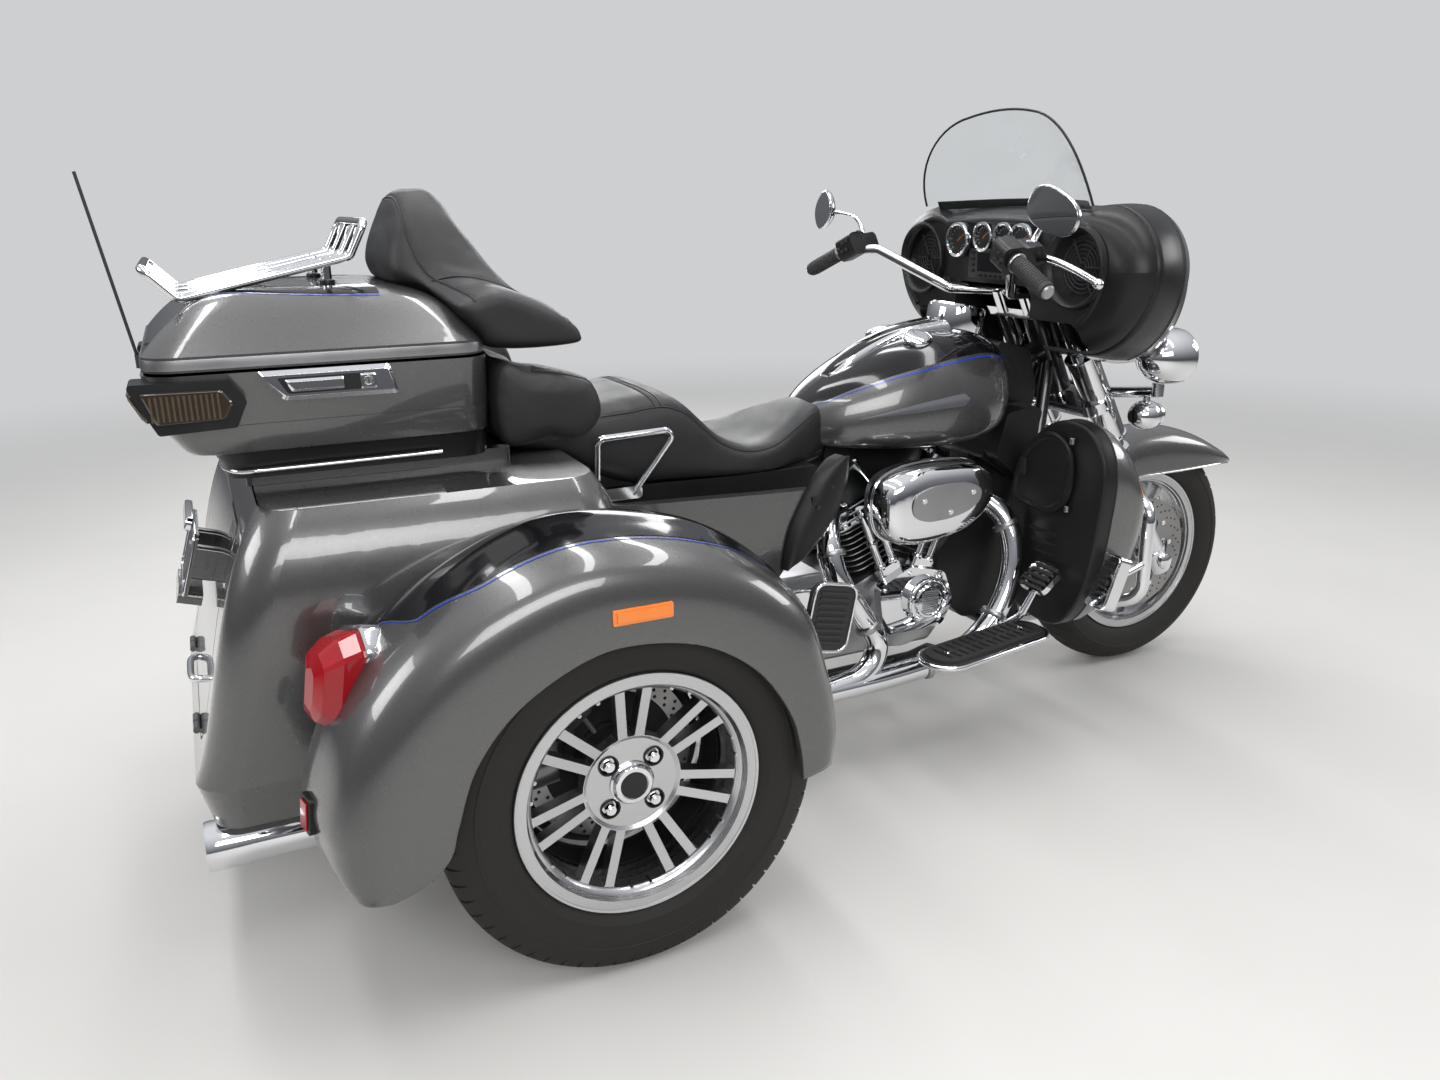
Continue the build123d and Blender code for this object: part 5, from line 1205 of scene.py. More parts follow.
class TRIKE_OT_tank(bpy.types.Operator):
    """Fuel tank with its top panels, pinstripes, console, gauge and filler cap"""

    bl_idname = "trike.tank"
    bl_label = "Fuel tank"

    def execute(self, context):
        skin = tank_skin()
        grids = both_sides(skin.rows)
        for index in (0, -1):
            right, left = skin.rows[index], flipped([skin.rows[index]], -1)[0]
            grids.append([list(pair) for pair in zip(right, left)])
        tank = grid_mesh("tank", grids, "paint_grey", angle=60)
        settle(tank, "chassis", ["fuel_tank"])
        edge = between(((0.3, 7.4), (2.0, 6.5), (4.5, 6.2), (7.0, 6.4), (9.0, 7.7)))
        panel = skin.patch((0.3, 9.0), edge, lambda u: 9.0, 0.7, (70, 8))
        wide = trim("stripe_width") / 3
        line = skin.patch(
            (0.2, 9.0), lambda u: edge(u) - 0.2, lambda u: edge(u) - 0.2 + 0.08 * wide, 0.8, (70, 1)
        )
        settle(grid_mesh("tank_panels", both_sides(panel), "paint_black", angle=60), "chassis")
        settle(grid_mesh("tank_pinstripes", both_sides(line), "pinstripe", angle=60), "chassis")
        # Bare bright spear where a badge would sit
        thick = between(((2.6, 0.03), (4.4, 0.2), (5.2, 0.24), (5.35, 0.02)))
        spear, core = (
            skin.patch((2.6, 5.35), lambda u: 4.5 - thick(u), lambda u: 4.5 + thick(u), lift, (40, 6))
            for lift in (1.5, -1.0)
        )
        solid = [outer + inner[::-1] for outer, inner in zip(spear, core)]
        settle(grid_mesh("tank_spears", both_sides(solid), "chrome", True, True, 40), "chassis")
        self.make_console()
        return {"FINISHED"}

    def make_console(self):
        """Bright console strip with its round instrument and the cap beside it."""
        stations = ((700, 20, 815, 838), (730, 30, 835, 872), (800, 36, 870, 914), (900, 38, 905, 950),
                    (980, 42, 915, 962), (1040, 50, 915, 968), (1100, 46, 905, 950), (1130, 34, 890, 925))
        across = ((1.0, 0.0), (1.0, 0.45), (0.94, 0.75), (0.78, 0.92), (0.5, 1.0), (0.0, 1.03))
        rows = []
        for x, half, low, top in stations:
            row = [(x, -half * reach, low + (top - low) * rise) for reach, rise in across]
            rows.append(row + [(px, -py, pz) for px, py, pz in reversed(row[:-1])])
        strip = Skin(rows, 5, 3)
        piece = grid_mesh("console_strip", [strip.rows], "chrome", caps=True, angle=50)
        settle(piece, "chassis", ["tank_console"])
        inset = strip.patch((0.45, 4.7), lambda u: 3.15, lambda u: 6.85, 0.7, (48, 10))
        settle(grid_mesh("console_inset", [inset], "paint_black", angle=60), "chassis")
        lean = radians(12)
        up = Vector((sin(lean), 0, cos(lean)))
        centre = Vector((1056, 0, 928))
        bezel = ((0, 0.01), (0, 62), (20, 66), (50, 67), (60, 65), (64, 60), (64, 54), (57, 52), (57, 0.01))
        settle(turned("gauge_pod", bezel, centre, up, "chrome", 72), "chassis")
        face = ((57.5, 0.01), (57.5, 51.5), (58.5, 51.5), (58.5, 0.01))
        settle(turned("gauge_face", face, centre, up, "dark_inside", 48), "chassis")
        marks = []
        for k in range(25):
            angle = radians(-225 + k * 270 / 24)
            size = 9 if k % 3 == 0 else 5
            spot = centre + up * 58.6
            basis = place_at(spot, up, (1, 0, 0))
            marks.append(
                basis @ Matrix.Rotation(angle, 4, "Z") @ Matrix.Translation((0.045 - size / 2000, 0, 0))
            )
        tick = shape_of(((box_outline(7, 1.4, 0.3), 0, 0.5),))
        settle(repeat("gauge_marks", tick, marks, "dial_white"), "chassis")
        needle = [(
            rounded(((-8, -1.6), (36, -0.5), (36, 0.5), (-8, 1.6)), 0.4), 1.0, centre + up * 60.5, up,
            (0.4, 1, 0)
        )]
        settle(plates("gauge_needle", needle, "amber_lens", 0.2), "chassis")
        glass = ((61, 0.01), (61, 53.5), (62, 53.5), (62.6, 30), (63, 0.01))
        settle(turned("gauge_glass", glass, centre, up, "clear", 48), "chassis")
        # Filler cap on the right and its twin plug on the left
        caps = []
        for flip in (1, -1):
            spot = Vector((905, -flip * 74, 926))
            normal = Vector((-0.12, -flip * 0.32, 0.94)).normalized()
            profile = ((-4, 0.01), (-4, 33), (4, 34), (9, 32), (13, 27), (15, 18), (15, 0.01))
            caps.append(lathe(profile, spot, normal, 60))
        settle(grid_mesh("filler_caps", caps, "chrome", angle=30), "chassis")


# Cushions


def cushion(name, rows, steps_u):
    """Closed leather form through rings of key points, its two ends capped, and its skin."""
    skin = Skin(rows, steps_u, 4, closed_v=True)
    return grid_mesh(name, [skin.rows], "leather", True, True, 70), skin


def mirrored_ring(row):
    """Ring from one side's points, bottom middle to top middle, and their mirror."""
    return row + [(x, -y, z) for x, y, z in reversed(row[1:-1])]


# x, half width, bottom z, side top z, crown z, hollow in the middle
SEAT_STATIONS = (
    (-62, 150, 800, 826, 838, 0), (-50, 172, 792, 832, 848, 0), (40, 178, 770, 838, 856, 0),
    (120, 182, 722, 842, 862, 0), (182, 186, 700, 846, 866, 0), (222, 189, 696, 850, 872, 0),
    (262, 190, 694, 848, 872, -2), (304, 190, 692, 830, 852, -6), (340, 189, 690, 798, 818, -10),
    (384, 188, 688, 762, 776, -12), (440, 184, 686, 742, 750, -10), (500, 172, 684, 746, 752, -6),
    (560, 146, 684, 766, 776, 0), (620, 108, 688, 786, 804, 0), (670, 78, 700, 796, 818, 0),
    (706, 58, 716, 792, 816, 0), (724, 40, 734, 780, 802, 0),
)


CLOTH_FRAMES = 20
# Millimetres that a pad swells at most, that a seam sinks into it, and that its hollow reaches aside
SWELL, SEAM_DEPTH, SEAM_REACH = 5, 2.6, 15.0


def applied(piece):
    """Mesh of a piece with its modifiers applied; they are taken off it."""
    mesh = bpy.data.meshes.new_from_object(piece.evaluated_get(bpy.context.evaluated_depsgraph_get()))
    piece.modifiers.clear()
    piece.data = mesh
    return mesh


def swell(piece, cap):
    """Run a closed pad as cloth under pressure and keep every point within the cap of its start."""
    start = [vertex.co.copy() for vertex in piece.data.vertices]
    cloth = piece.modifiers.new("cloth", "CLOTH")
    cloth.settings.quality = 5
    cloth.settings.mass = 0.25
    cloth.settings.tension_stiffness = cloth.settings.compression_stiffness = 18
    cloth.settings.bending_stiffness = 1.5
    cloth.settings.use_pressure = True
    cloth.settings.uniform_pressure_force = 4
    cloth.settings.effector_weights.gravity = 0
    cloth.collision_settings.use_collision = False
    cloth.point_cache.frame_start, cloth.point_cache.frame_end = 1, CLOTH_FRAMES
    for number in range(1, CLOTH_FRAMES + 1):
        bpy.context.scene.frame_set(number)
    for vertex, origin in zip(applied(piece).vertices, start):
        move = vertex.co - origin
        vertex.co = origin + move * min(1, cap / max(move.length, 1e-9))
    bpy.context.scene.frame_set(1)


def pad(piece, voxel, seams):
    """Padded leather: remeshed a little smaller, swollen as cloth, then sunk along its seams."""
    remesh = piece.modifiers.new("voxels", "REMESH")
    remesh.mode = "VOXEL"
    remesh.voxel_size = voxel / 1000
    for vertex in applied(piece).vertices:
        vertex.co -= vertex.normal * SWELL / 1600
    swell(piece, SWELL / 1000)
    piece.modifiers.new("finer", "SUBSURF").levels = 1
    mesh = applied(piece)
    spots = [mm(*a.lerp(b, k / 3)) for line in seams for a, b in zip(line, line[1:]) for k in range(3)]
    tree = KDTree(len(spots))
    for index, spot in enumerate(spots):
        tree.insert(spot, index)
    tree.balance()
    sinks = [max(1 - tree.find(vertex.co)[2] * 1000 / SEAM_REACH, 0) ** 2 for vertex in mesh.vertices]
    normals = [vertex.normal.copy() for vertex in mesh.vertices]
    for vertex, normal, sink in zip(mesh.vertices, normals, sinks):
        vertex.co -= normal * sink * SEAM_DEPTH / 1000
    shade(piece, 70)


def onto(piece, lines, lift):
    """Lines of millimetre points carried onto a piece's surface and lifted off it."""
    mesh = piece.data
    tree = BVHTree.FromPolygons(
        [vertex.co for vertex in mesh.vertices], [face.vertices for face in mesh.polygons]
    )
    result = []
    for line in lines:
        hits = [tree.find_nearest(mm(*point)) for point in line]
        result.append([(spot - mm(0, 0, 0)) * 1000 + normal * lift for spot, normal, _, _ in hits])
    return result


def welts(name, piece, lines):
    """Welts laid along lines on a cushion."""
    rows = [hose_rows(line, trim("welt_radius"), 1, 6, False) for line in onto(piece, lines, 0.3)]
    return grid_mesh(name, rows, "leather", True, True, 70)


def whole_width(half_rows):
    """Rings of (distance aside, points of x and z) on the left, and their mirror ahead of them."""
    rows = [[(x, -y, z) for x, z in ring] for y, *ring in reversed(half_rows)]
    return rows + [[(x, y, z) for x, z in ring] for y, *ring in half_rows[1:]]


class TRIKE_OT_cushions(bpy.types.Operator):
    """Leather seat and backrests with their seams"""

    bl_idname = "trike.cushions"
    bl_label = "Cushions"

    def execute(self, context):
        self.make_seat()
        self.make_backrest()
        self.make_lower_pads()
        return {"FINISHED"}

    def make_seat(self):
        """One seat: passenger's pad, bolster, rider's bucket and nose."""
        rows = []
        for x, half, low, side, crown, hollow in SEAT_STATIONS:
            tall = side - low
            rows.append(mirrored_ring([
                (x, 0, low), (x, -half * 0.55, low), (x, -half * 0.88, low + 2),
                (x, -half * 0.985, low + 0.2 * tall), (x, -half, low + 0.5 * tall),
                (x, -half * 0.985, low + 0.8 * tall), (x, -half * 0.9, side),
                (x, -half * 0.72, side + 0.62 * (crown - side)), (x, -half * 0.4, crown - 2 + hollow * 0.5),
                (x, 0, crown + hollow),
            ]))
        seat, skin = cushion("seat_pad", rows, 6)

        def along_side(column, first, last, flip):
            """Seam along one side of the seat."""
            return flipped([[skin.at(u / 6, column) for u in range(first, last)]], flip)[0]

        def over_top(start, rise, flip):
            """Half of a seam over the seat, from one side up to its middle."""
            columns = [6 + k / 4 for k in range(13)]
            return [skin.at(start + rise * abs(v - 9) / 3, v if flip > 0 else 18 - v) for v in columns]

        lines = []
        for flip in (1, -1):
            lines += [along_side(6.0, 6, 92, flip), over_top(5.1, 0.25, flip), over_top(5.35, 0.35, flip)]
        pad(seat, 8, lines)
        settle(seat, "chassis", ["seat"])
        settle(welts("seat_welts", seat, lines), "chassis")
        threads = [along_side(6.0 + shift, 8, 90, flip) for flip in (1, -1) for shift in (-0.17, 0.17)]
        threads += [over_top(5.1 + shift, 0.25, flip) for shift in (-0.12, 0.12) for flip in (1, -1)]
        settle(stitches("seat_stitches", onto(seat, threads, 0.2)), "chassis")

    def make_backrest(self):
        """Passenger's backrest on the lid: a tall middle and two wings."""
        half_rows = (
            # y, then ten points of (x, z) round the pad
            (
                0, (-236, 1106), (-165, 1066), (-104, 992), (-36, 990), (-16, 1006), (-50, 1108),
                (-120, 1232), (-160, 1252), (-204, 1240), (-240, 1165)
            ),
            (
                70, (-236, 1106), (-165, 1066), (-104, 992), (-34, 990), (-15, 1006), (-50, 1106),
                (-122, 1226), (-162, 1246), (-204, 1234), (-240, 1160)
            ),
            (
                120, (-232, 1106), (-163, 1064), (-102, 992), (-30, 990), (-10, 1006), (-48, 1102),
                (-122, 1196), (-164, 1214), (-204, 1204), (-236, 1150)
            ),
            (
                152, (-222, 1104), (-160, 1062), (-100, 991), (-22, 989), (0, 1006), (-42, 1092),
                (-108, 1150), (-158, 1164), (-196, 1158), (-224, 1132)
            ),
            (
                178, (-200, 1098), (-150, 1058), (-97, 991), (-6, 989), (18, 1006), (-24, 1074), (-84, 1108),
                (-140, 1120), (-178, 1116), (-200, 1108)
            ),
            (
                212, (-176, 1078), (-138, 1040), (-94, 991), (26, 990), (46, 1008), (16, 1048), (-44, 1078),
                (-104, 1098), (-146, 1096), (-172, 1090)
            ),
            (
                260, (-162, 1064), (-128, 1026), (-91, 991), (46, 990), (60, 1010), (40, 1038), (-14, 1068),
                (-84, 1092), (-130, 1084), (-158, 1074)
            ),
            (
                288, (-152, 1056), (-122, 1024), (-86, 995), (44, 994), (56, 1011), (38, 1034), (-14, 1062),
                (-82, 1084), (-124, 1076), (-150, 1066)
            ),
            (
                298, (-130, 1050), (-108, 1030), (-76, 1006), (32, 1002), (42, 1012), (26, 1028), (-20, 1050),
                (-80, 1070), (-112, 1064), (-130, 1058)
            ),
        )
        rows = whole_width(half_rows)
        back, skin = cushion("backrest_pad", rows, 4)
        last = len(rows) - 1
        front = [[skin.at(u / 4, v) for u in range(4, 4 * last - 3)] for v in (5.0, 8.0)]
        sides = [[skin.at(u, v / 4) for v in range(12, 34)] for u in (3.6, last - 3.6)]
        pad(back, 7, front + sides)
        settle(back, "box_lid", ["backrest"])
        settle(welts("backrest_welts", back, front + sides), "box_lid")
        threads = [
            [skin.at(u / 4, v + shift) for u in range(4, 4 * last - 3)] for v in (5.0, 8.0)
            for shift in (-0.1, 0.1)
        ]
        settle(stitches("backrest_stitches", onto(back, threads, 0.2)), "box_lid")

    def make_lower_pads(self):
        """Lower backrest fixed to the box: a thin middle and two side pads."""
        half_rows = (
            (
                0, (-96, 834), (-70, 833), (-46, 836), (-43, 870), (-43, 920), (-46, 966), (-70, 971),
                (-96, 971)
            ),
            (
                150, (-96, 834), (-70, 833), (-46, 836), (-43, 870), (-43, 920), (-46, 966), (-70, 971),
                (-96, 971)
            ),
            (
                200, (-96, 834), (-60, 832), (-34, 834), (-26, 870), (-28, 920), (-40, 958), (-70, 969),
                (-96, 970)
            ),
            (232, (-96, 833), (-30, 831), (26, 833), (52, 866), (42, 924), (6, 950), (-50, 966), (-96, 970)),
            (262, (-96, 833), (-20, 830), (46, 832), (80, 868), (66, 926), (36, 946), (-40, 965), (-96, 970)),
            (300, (-96, 834), (-20, 831), (46, 833), (82, 872), (68, 926), (36, 944), (-40, 962), (-96, 967)),
            (318, (-94, 838), (-20, 836), (40, 838), (72, 874), (60, 920), (30, 938), (-40, 955), (-94, 960)),
            (326, (-84, 848), (-20, 846), (30, 848), (56, 876), (46, 914), (20, 928), (-40, 944), (-84, 948)),
        )
        rows = whole_width(half_rows)
        low, skin = cushion("lower_pads", rows, 4)
        last = len(rows) - 1
        lines = [[skin.at(u, v / 4) for v in range(5, 25)] for u in (1.9, last - 1.9)]
        pad(low, 7, lines)
        settle(low, "chassis", ["lower_backrest"])
        settle(welts("lower_pad_welts", low, lines), "chassis")



# Wheels

REAR_CENTRE = Vector((0, 557, 320))
FRONT_CENTRE = Vector((1670, 0, 314))
# Across the tread from its middle outwards: distance, radius, depth of the cross slots there
REAR_TREAD = (
    (0, 320, 0), (9, 320, 0), (10.5, 312, 0), (18.5, 312, 0), (20, 319.8, 3.5), (44, 319.4, 3.5),
    (45.5, 311.5, 0), (54.5, 311.5, 0), (56, 319, 6), (70, 318.2, 6), (80, 315.4, 6), (87, 309.5, 5),
    (91.5, 301, 2.5), (95.5, 290, 0), (99.5, 277, 0), (101, 272, 0), (102.4, 271.4, 0), (102.6, 268, 0),
    (101.6, 267, 0), (102.3, 256, 0), (101.6, 243, 0), (99.4, 231, 0), (99.9, 228, 0), (98.6, 225.5, 0),
    (94.5, 219, 0), (90, 214, 0), (85, 209, 0),
)
FRONT_TREAD = (
    (0, 314, 0), (4, 314, 0), (8, 313.7, 4), (20, 312, 4.5), (33, 307.6, 4.5), (44, 301.6, 4.5),
    (53, 293.6, 4), (58.5, 286.5, 3), (61.5, 281, 0), (63, 272, 0), (64.4, 271, 0), (64.4, 267, 0),
    (63.2, 266, 0), (62.8, 252, 0), (60, 240, 0), (54, 229, 0), (47, 221.5, 0), (41, 217, 0),
)


# Pairs of spokes in a rear wheel
SPOKES = 7
# Radius of the beads, slant of the cross slots in radians a millimetre, and radius where they end
REAR_BEAD, FRONT_BEAD = 200, 208
REAR_SKEW, FRONT_SKEW = 0.0006, 0.004
SHOULDER = 285


def tyre_rows(tread, centre, bead, slots, skew):
    """Closed rings of a tyre with slanted cross slots in its tread."""
    bead_x = tread[-1][0]
    ring = [(-bead_x, bead, 0)] + [(-across, *rest) for across, *rest in reversed(tread)]
    ring += [*tread[1:], (bead_x, bead, 0)]
    rows = []
    for k in range(slots):
        for share, cut in ((0.0, 0), (0.025, 1), (0.13, 1), (0.155, 0), (0.44, 0), (0.72, 0)):
            row = []
            for across, radius, depth in ring:
                angle = 2 * pi * (k + share) / slots
                if radius >= SHOULDER:
                    angle += abs(across) * skew
                reach = radius - depth * cut
                row.append(centre + Vector((reach * cos(angle), across, reach * sin(angle))))
            rows.append(row)
    rows.append(rows[0])
    return rows


def wheel_spots(centre, outward, along, radius, count, start):
    """Places round a wheel, facing outwards, with x pointing away from the axle."""
    spots = []
    for k in range(count):
        angle = radians(start + 360 * k / count)
        spoke = Vector((cos(angle), 0, sin(angle)))
        face = Vector((0, outward, 0))
        basis = Matrix((spoke, face.cross(spoke), face)).transposed().to_4x4()
        spots.append(Matrix.Translation(mm(*(centre + face * along + spoke * radius))) @ basis)
    return spots


class TRIKE_OT_wheels(bpy.types.Operator):
    """Tyres with their tread, and the trim on the alloy wheels"""

    bl_idname = "trike.wheels"
    bl_label = "Wheels"

    def execute(self, context):
        sizes = context.scene.trike_wheels
        for side, flip in (("right", -1), ("left", 1)):
            centre = Vector((0, flip * REAR_CENTRE.y, REAR_CENTRE.z))
            body = "rear_wheel_" + side
            rows = tyre_rows(REAR_TREAD, centre, REAR_BEAD, sizes.rear_slots, REAR_SKEW)
            tyre = grid_mesh("tyre_" + side, [rows], "tyre", closed_v=True, angle=28)
            settle(tyre, body, ["rear_tyre_" + side])
            self.rear_trim(body, side, centre, flip)
        rows = tyre_rows(FRONT_TREAD, FRONT_CENTRE, FRONT_BEAD, sizes.front_slots, FRONT_SKEW)
        tyre = grid_mesh("tyre_front", [rows], "tyre", closed_v=True, angle=28)
        settle(tyre, "front_wheel", ["front_tyre"])
        self.front_trim()
        return {"FINISHED"}

    def rear_trim(self, body, side, centre, flip):
        """Painted shade in the rim's well and sleeve, drilled rotor with painted-shade holes, bright lip,
        spoke nubs, nuts in their pockets, centre cap and valve.
        """
        axis = (0, flip, 0)
        well = ((-57.6, 66), (-54.8, 68), (-54.8, 116), (-57.6, 118), (-57.6, 66))
        sleeve = ((-58, 171), (-58, 175.6), (4, 175.6), (4, 174.4), (-54, 173.4), (-54, 171), (-58, 171))
        # The well behind the spokes and the rim's inner sleeve are near-black painted shade
        rows = [lathe(profile, centre, axis, 96) for profile in (well, sleeve)]
        settle(grid_mesh(side + "_wheel_inside", rows, "dark_inside"), body)
        rotor = ((-57.8, 119), (-54.8, 119), (-54.8, 149), (-57.8, 149), (-57.8, 119))
        settle(turned(side + "_rotor", rotor, centre, axis, "steel", 96), body)
        # Each drilled hole is a thin near-black disc of painted shade on the rotor
        drilled = shape_of(((circle_outline(3.2, 12), 0, 0.3),))
        holes = [
            spot for k in range(3)
            for spot in wheel_spots(centre, flip, -54.8, 125 + 9 * k, 30, 4 * k)
        ]
        settle(repeat(side + "_rotor_holes", drilled, holes, "dark_inside"), body)
        self.rear_caliper(side, centre, flip)
        lip = ((84.5, 203), (91, 204.5), (92, 208.5), (89, 210), (84.5, 208.5), (84.5, 203))
        settle(turned(side + "_rim_lip", lip, centre, axis, "machined_" + side, 120), body)
        step = ((71, 176), (76, 179), (79, 184), (76, 186), (70.5, 184.5), (69, 178), (71, 176))
        settle(turned(side + "_rim_step", step, centre, axis, "machined_" + side, 120), body)
        nubs = []
        for shift in (-5.5, 5.5):
            nubs += wheel_spots(centre, flip, 54, 175, SPOKES, 90 - 180 / SPOKES + shift)
        nub = shape_of(((rounded(((-14, -6), (0, -2.6), (0, 2.6), (-14, 6)), 2), 0, 22),))
        nub.data.transform(Matrix.Rotation(pi, 4, "Z"))
        settle(repeat(side + "_rim_nubs", nub, nubs, "machined_" + side), body)
        pockets = [
            lathe(((-11, 0.01), (-11, 14.2), (1.2, 15), (1.2, 17.5), (0, 17.5), (-12.5, 15.6), (-12.5, 0.01)),
                  centre + Vector((55 * cos(a), flip * 46, 55 * sin(a))), axis, 32)
            for a in (pi / 4 + k * pi / 2 for k in range(4))
        ]
        settle(grid_mesh(side + "_lug_pockets", pockets, "satin_black"), body)
        nut = shape_of((
            (circle_outline(12, 24), 0, 3), (circle_outline(9.6, 6), 3, 14),
            (circle_outline(8.2, 24), 14, 16.5), (circle_outline(5.4, 24), 16.5, 18),
        ))
        spots = wheel_spots(centre, flip, 36, 55, 4, 45)
        settle(repeat(side + "_lug_nuts", nut, spots, "chrome"), body)
        cap = (
            (46, 38), (48, 38), (50, 35), (54, 34), (57, 31), (57.5, 24.5), (56, 24), (56, 0.01), (46, 0.01)
        )
        settle(turned(side + "_hub_cap", cap, centre, axis, "chrome", 64), body)
        disc = ((56, 0.01), (56, 23.4), (57.2, 23), (57.8, 12), (58, 0.01), (56, 0.01))
        settle(turned(side + "_cap_disc", disc, centre, axis, "paint_black", 48), body)
        start = centre + Vector((-168 * 0.5, flip * 74, 168 * 0.866))
        stem = [[
            (*start, 4.2), (*(start + Vector((7, flip * 10, -12))), 4.0),
            (*(start + Vector((11, flip * 16, -19))), 3.2)
        ]]
        settle(bar(side + "_valve", stem, 4, "rubber"), body)

    def rear_caliper(self, side, centre, flip):
        """Dark caliper over the rotor's edge, and behind it a near-black shield of painted shade that closes
        the rim.
        """
        axis = (0, flip, 0)
        turn = radians(128)
        ray = Vector((cos(turn), 0, sin(turn)))
        outer = box_outline(84, 56, 14)
        point = centre + ray * 129
        items = [
            ([(outer, 0), (outer, 16), (scaled(outer, 0.9, 0.84), 22)], point + Vector(axis) * -46, axis, ray)
        ]
        bridge = box_outline(56, 8, 3)
        items.append(([(bridge, 0), (bridge, 40)], centre + ray * 159 + Vector(axis) * -78, axis, ray))
        settle(stacks(side + "_rear_caliper", items, "engine_black", edge=1.0), "chassis")
        # The shield is a near-black sheet of painted shade that closes the rim behind the rotor
        shield = ((-82, 72), (-79, 72), (-77, 166), (-74, 170), (-77, 172), (-82, 168), (-82, 72))
        settle(turned(side + "_dust_shield", shield, centre, axis, "dark_inside", 96), "chassis")

    def front_trim(self):
        """Lips of the front rim, its discs' holes as near-black discs of painted shade, buttons and bolts,
        its valve and the axle nuts.
        """
        lips, steps = [], []
        for flip in (-1, 1):
            lip = ((40.5, 211), (47, 212), (48, 216.5), (45, 218), (40.5, 216.5), (40.5, 211))
            lips.append(lathe(lip, FRONT_CENTRE, (0, flip, 0), 120))
            step = ((34, 190), (40, 193), (41.5, 198), (38, 200), (33, 196), (34, 190))
            steps.append(lathe(step, FRONT_CENTRE, (0, flip, 0), 120))
        settle(grid_mesh("front_rim_lips", lips + steps, "machined_front"), "front_wheel")
        buttons, holes, screws = [], [], []
        for flip in (-1, 1):
            for k in range(3):
                holes += wheel_spots(FRONT_CENTRE, flip, 64.4, 121 + 9 * k, 24, 7.5 * (k % 2) + 2 * k)
            buttons += wheel_spots(FRONT_CENTRE, flip, 64.2, 104, 10, 9)
            screws += wheel_spots(FRONT_CENTRE, flip, 64, 42, 5, 54)
        # Each disc hole is a thin near-black disc of painted shade
        hole = shape_of(((circle_outline(2.7, 12), 0, 0.35),))
        settle(repeat("front_disc_holes", hole, holes, "dark_inside"), "front_wheel")
        button = shape_of(((circle_outline(6.5, 20), 0, 1.6), (circle_outline(4.0, 20), 1.6, 2.6)))
        settle(repeat("front_disc_buttons", button, buttons, "chrome"), "front_wheel")
        settle(repeat("front_disc_bolts", bolt_shape(5.5, 5), screws, "chrome"), "front_wheel")
        start = FRONT_CENTRE + Vector((-95, -14, 164))
        stem = [
            [(*start, 4.2), (*(start + Vector((7, -6, -12))), 4.0), (*(start + Vector((10, -9, -18))), 3.2)]
        ]
        settle(bar("front_valve", stem, 4, "rubber"), "front_wheel")
        nuts = []
        for flip in (-1, 1):
            nuts.append(lathe(
                ((-8, 0.01), (-8, 20), (-2, 21), (2, 19), (6, 12), (7, 0.01)),
                FRONT_CENTRE + Vector((0, flip * 152, 0)), (0, flip, 0), 40,
            ))
        settle(grid_mesh("axle_nuts", nuts, "chrome"), "front_end")


# Top box and rear lamps


def stack(work, levels, place):
    """Closed form through outlines of (x, y) points, each at its own height, added to a bmesh."""
    rings = [
        [work.verts.new(place @ Vector((x / 1000, y / 1000, height / 1000))) for x, y in outline]
        for outline, height in levels
    ]
    for low, high in zip(rings, rings[1:]):
        for i in range(len(low)):
            k = (i + 1) % len(low)
            work.faces.new((low[i], low[k], high[k], high[i]))
    work.faces.new(rings[0])
    work.faces.new(rings[-1])


def stacks(name, items, finish_name, angle=CREASE, edge=0.0):
    """Stacked forms as one piece: each item has its levels, point, normal and upward."""
    work = bmesh.new()
    for levels, point, normal, upward in items:
        stack(work, levels, place_at(point, normal, upward))
    piece = from_bmesh(name, work, finish_name, angle)
    return round_edges(piece, edge) if edge else piece


def scaled(outline, across, up=None, shift=(0, 0)):
    """Outline scaled about the origin and moved."""
    return [(x * across + shift[0], y * (up or across) + shift[1]) for x, y in outline]


def drape(nodes, rows, direction, lift):
    """Rows of points carried onto the frame's nodes and lifted; direction is fixed or a function."""
    verts, faces = [], []
    for name in nodes:
        mesh = frame["nodes"][name].data
        start = len(verts)
        verts += [vertex.co for vertex in mesh.vertices]
        faces += [[start + index for index in face.vertices] for face in mesh.polygons]
    tree = BVHTree.FromPolygons(verts, faces)
    result = []
    for row in rows:
        line = []
        for point in row:
            ray = Vector(direction(point) if callable(direction) else direction).normalized()
            spot = tree.ray_cast(mm(*point), ray)[0]
            line.append((spot - mm(0, 0, 0)) * 1000 - ray * lift)
        result.append(line)
    return result


def fan_rows(low, high, steps_u, steps_v):
    """Rows between two lines of key points, both smoothed."""
    first, second = through(low, steps_u), through(high, steps_u)
    return [[a.lerp(b, j / steps_v) for j in range(steps_v + 1)] for a, b in zip(first, second)]


def ring_band(name, outline, low, high, finish_name, out, thick):
    """Upright band round a plan outline between two heights, standing out from it, slightly crowned."""
    middle = Vector((sum(x for x, _ in outline) / len(outline), sum(y for _, y in outline) / len(outline)))
    rows = []
    for (x, y) in (*outline, outline[0]):
        ray = (Vector((x, y)) - middle).normalized()
        outer, inner = Vector((x, y)) + ray * out, Vector((x, y)) + ray * (out - thick)
        rows.append([
            (outer.x, outer.y, low), (outer.x + ray.x, outer.y + ray.y, (low + high) / 2),
            (outer.x, outer.y, high), (inner.x, inner.y, high), (inner.x, inner.y, low),
        ])
    return grid_mesh(name, [rows], finish_name, closed_v=True, angle=50)


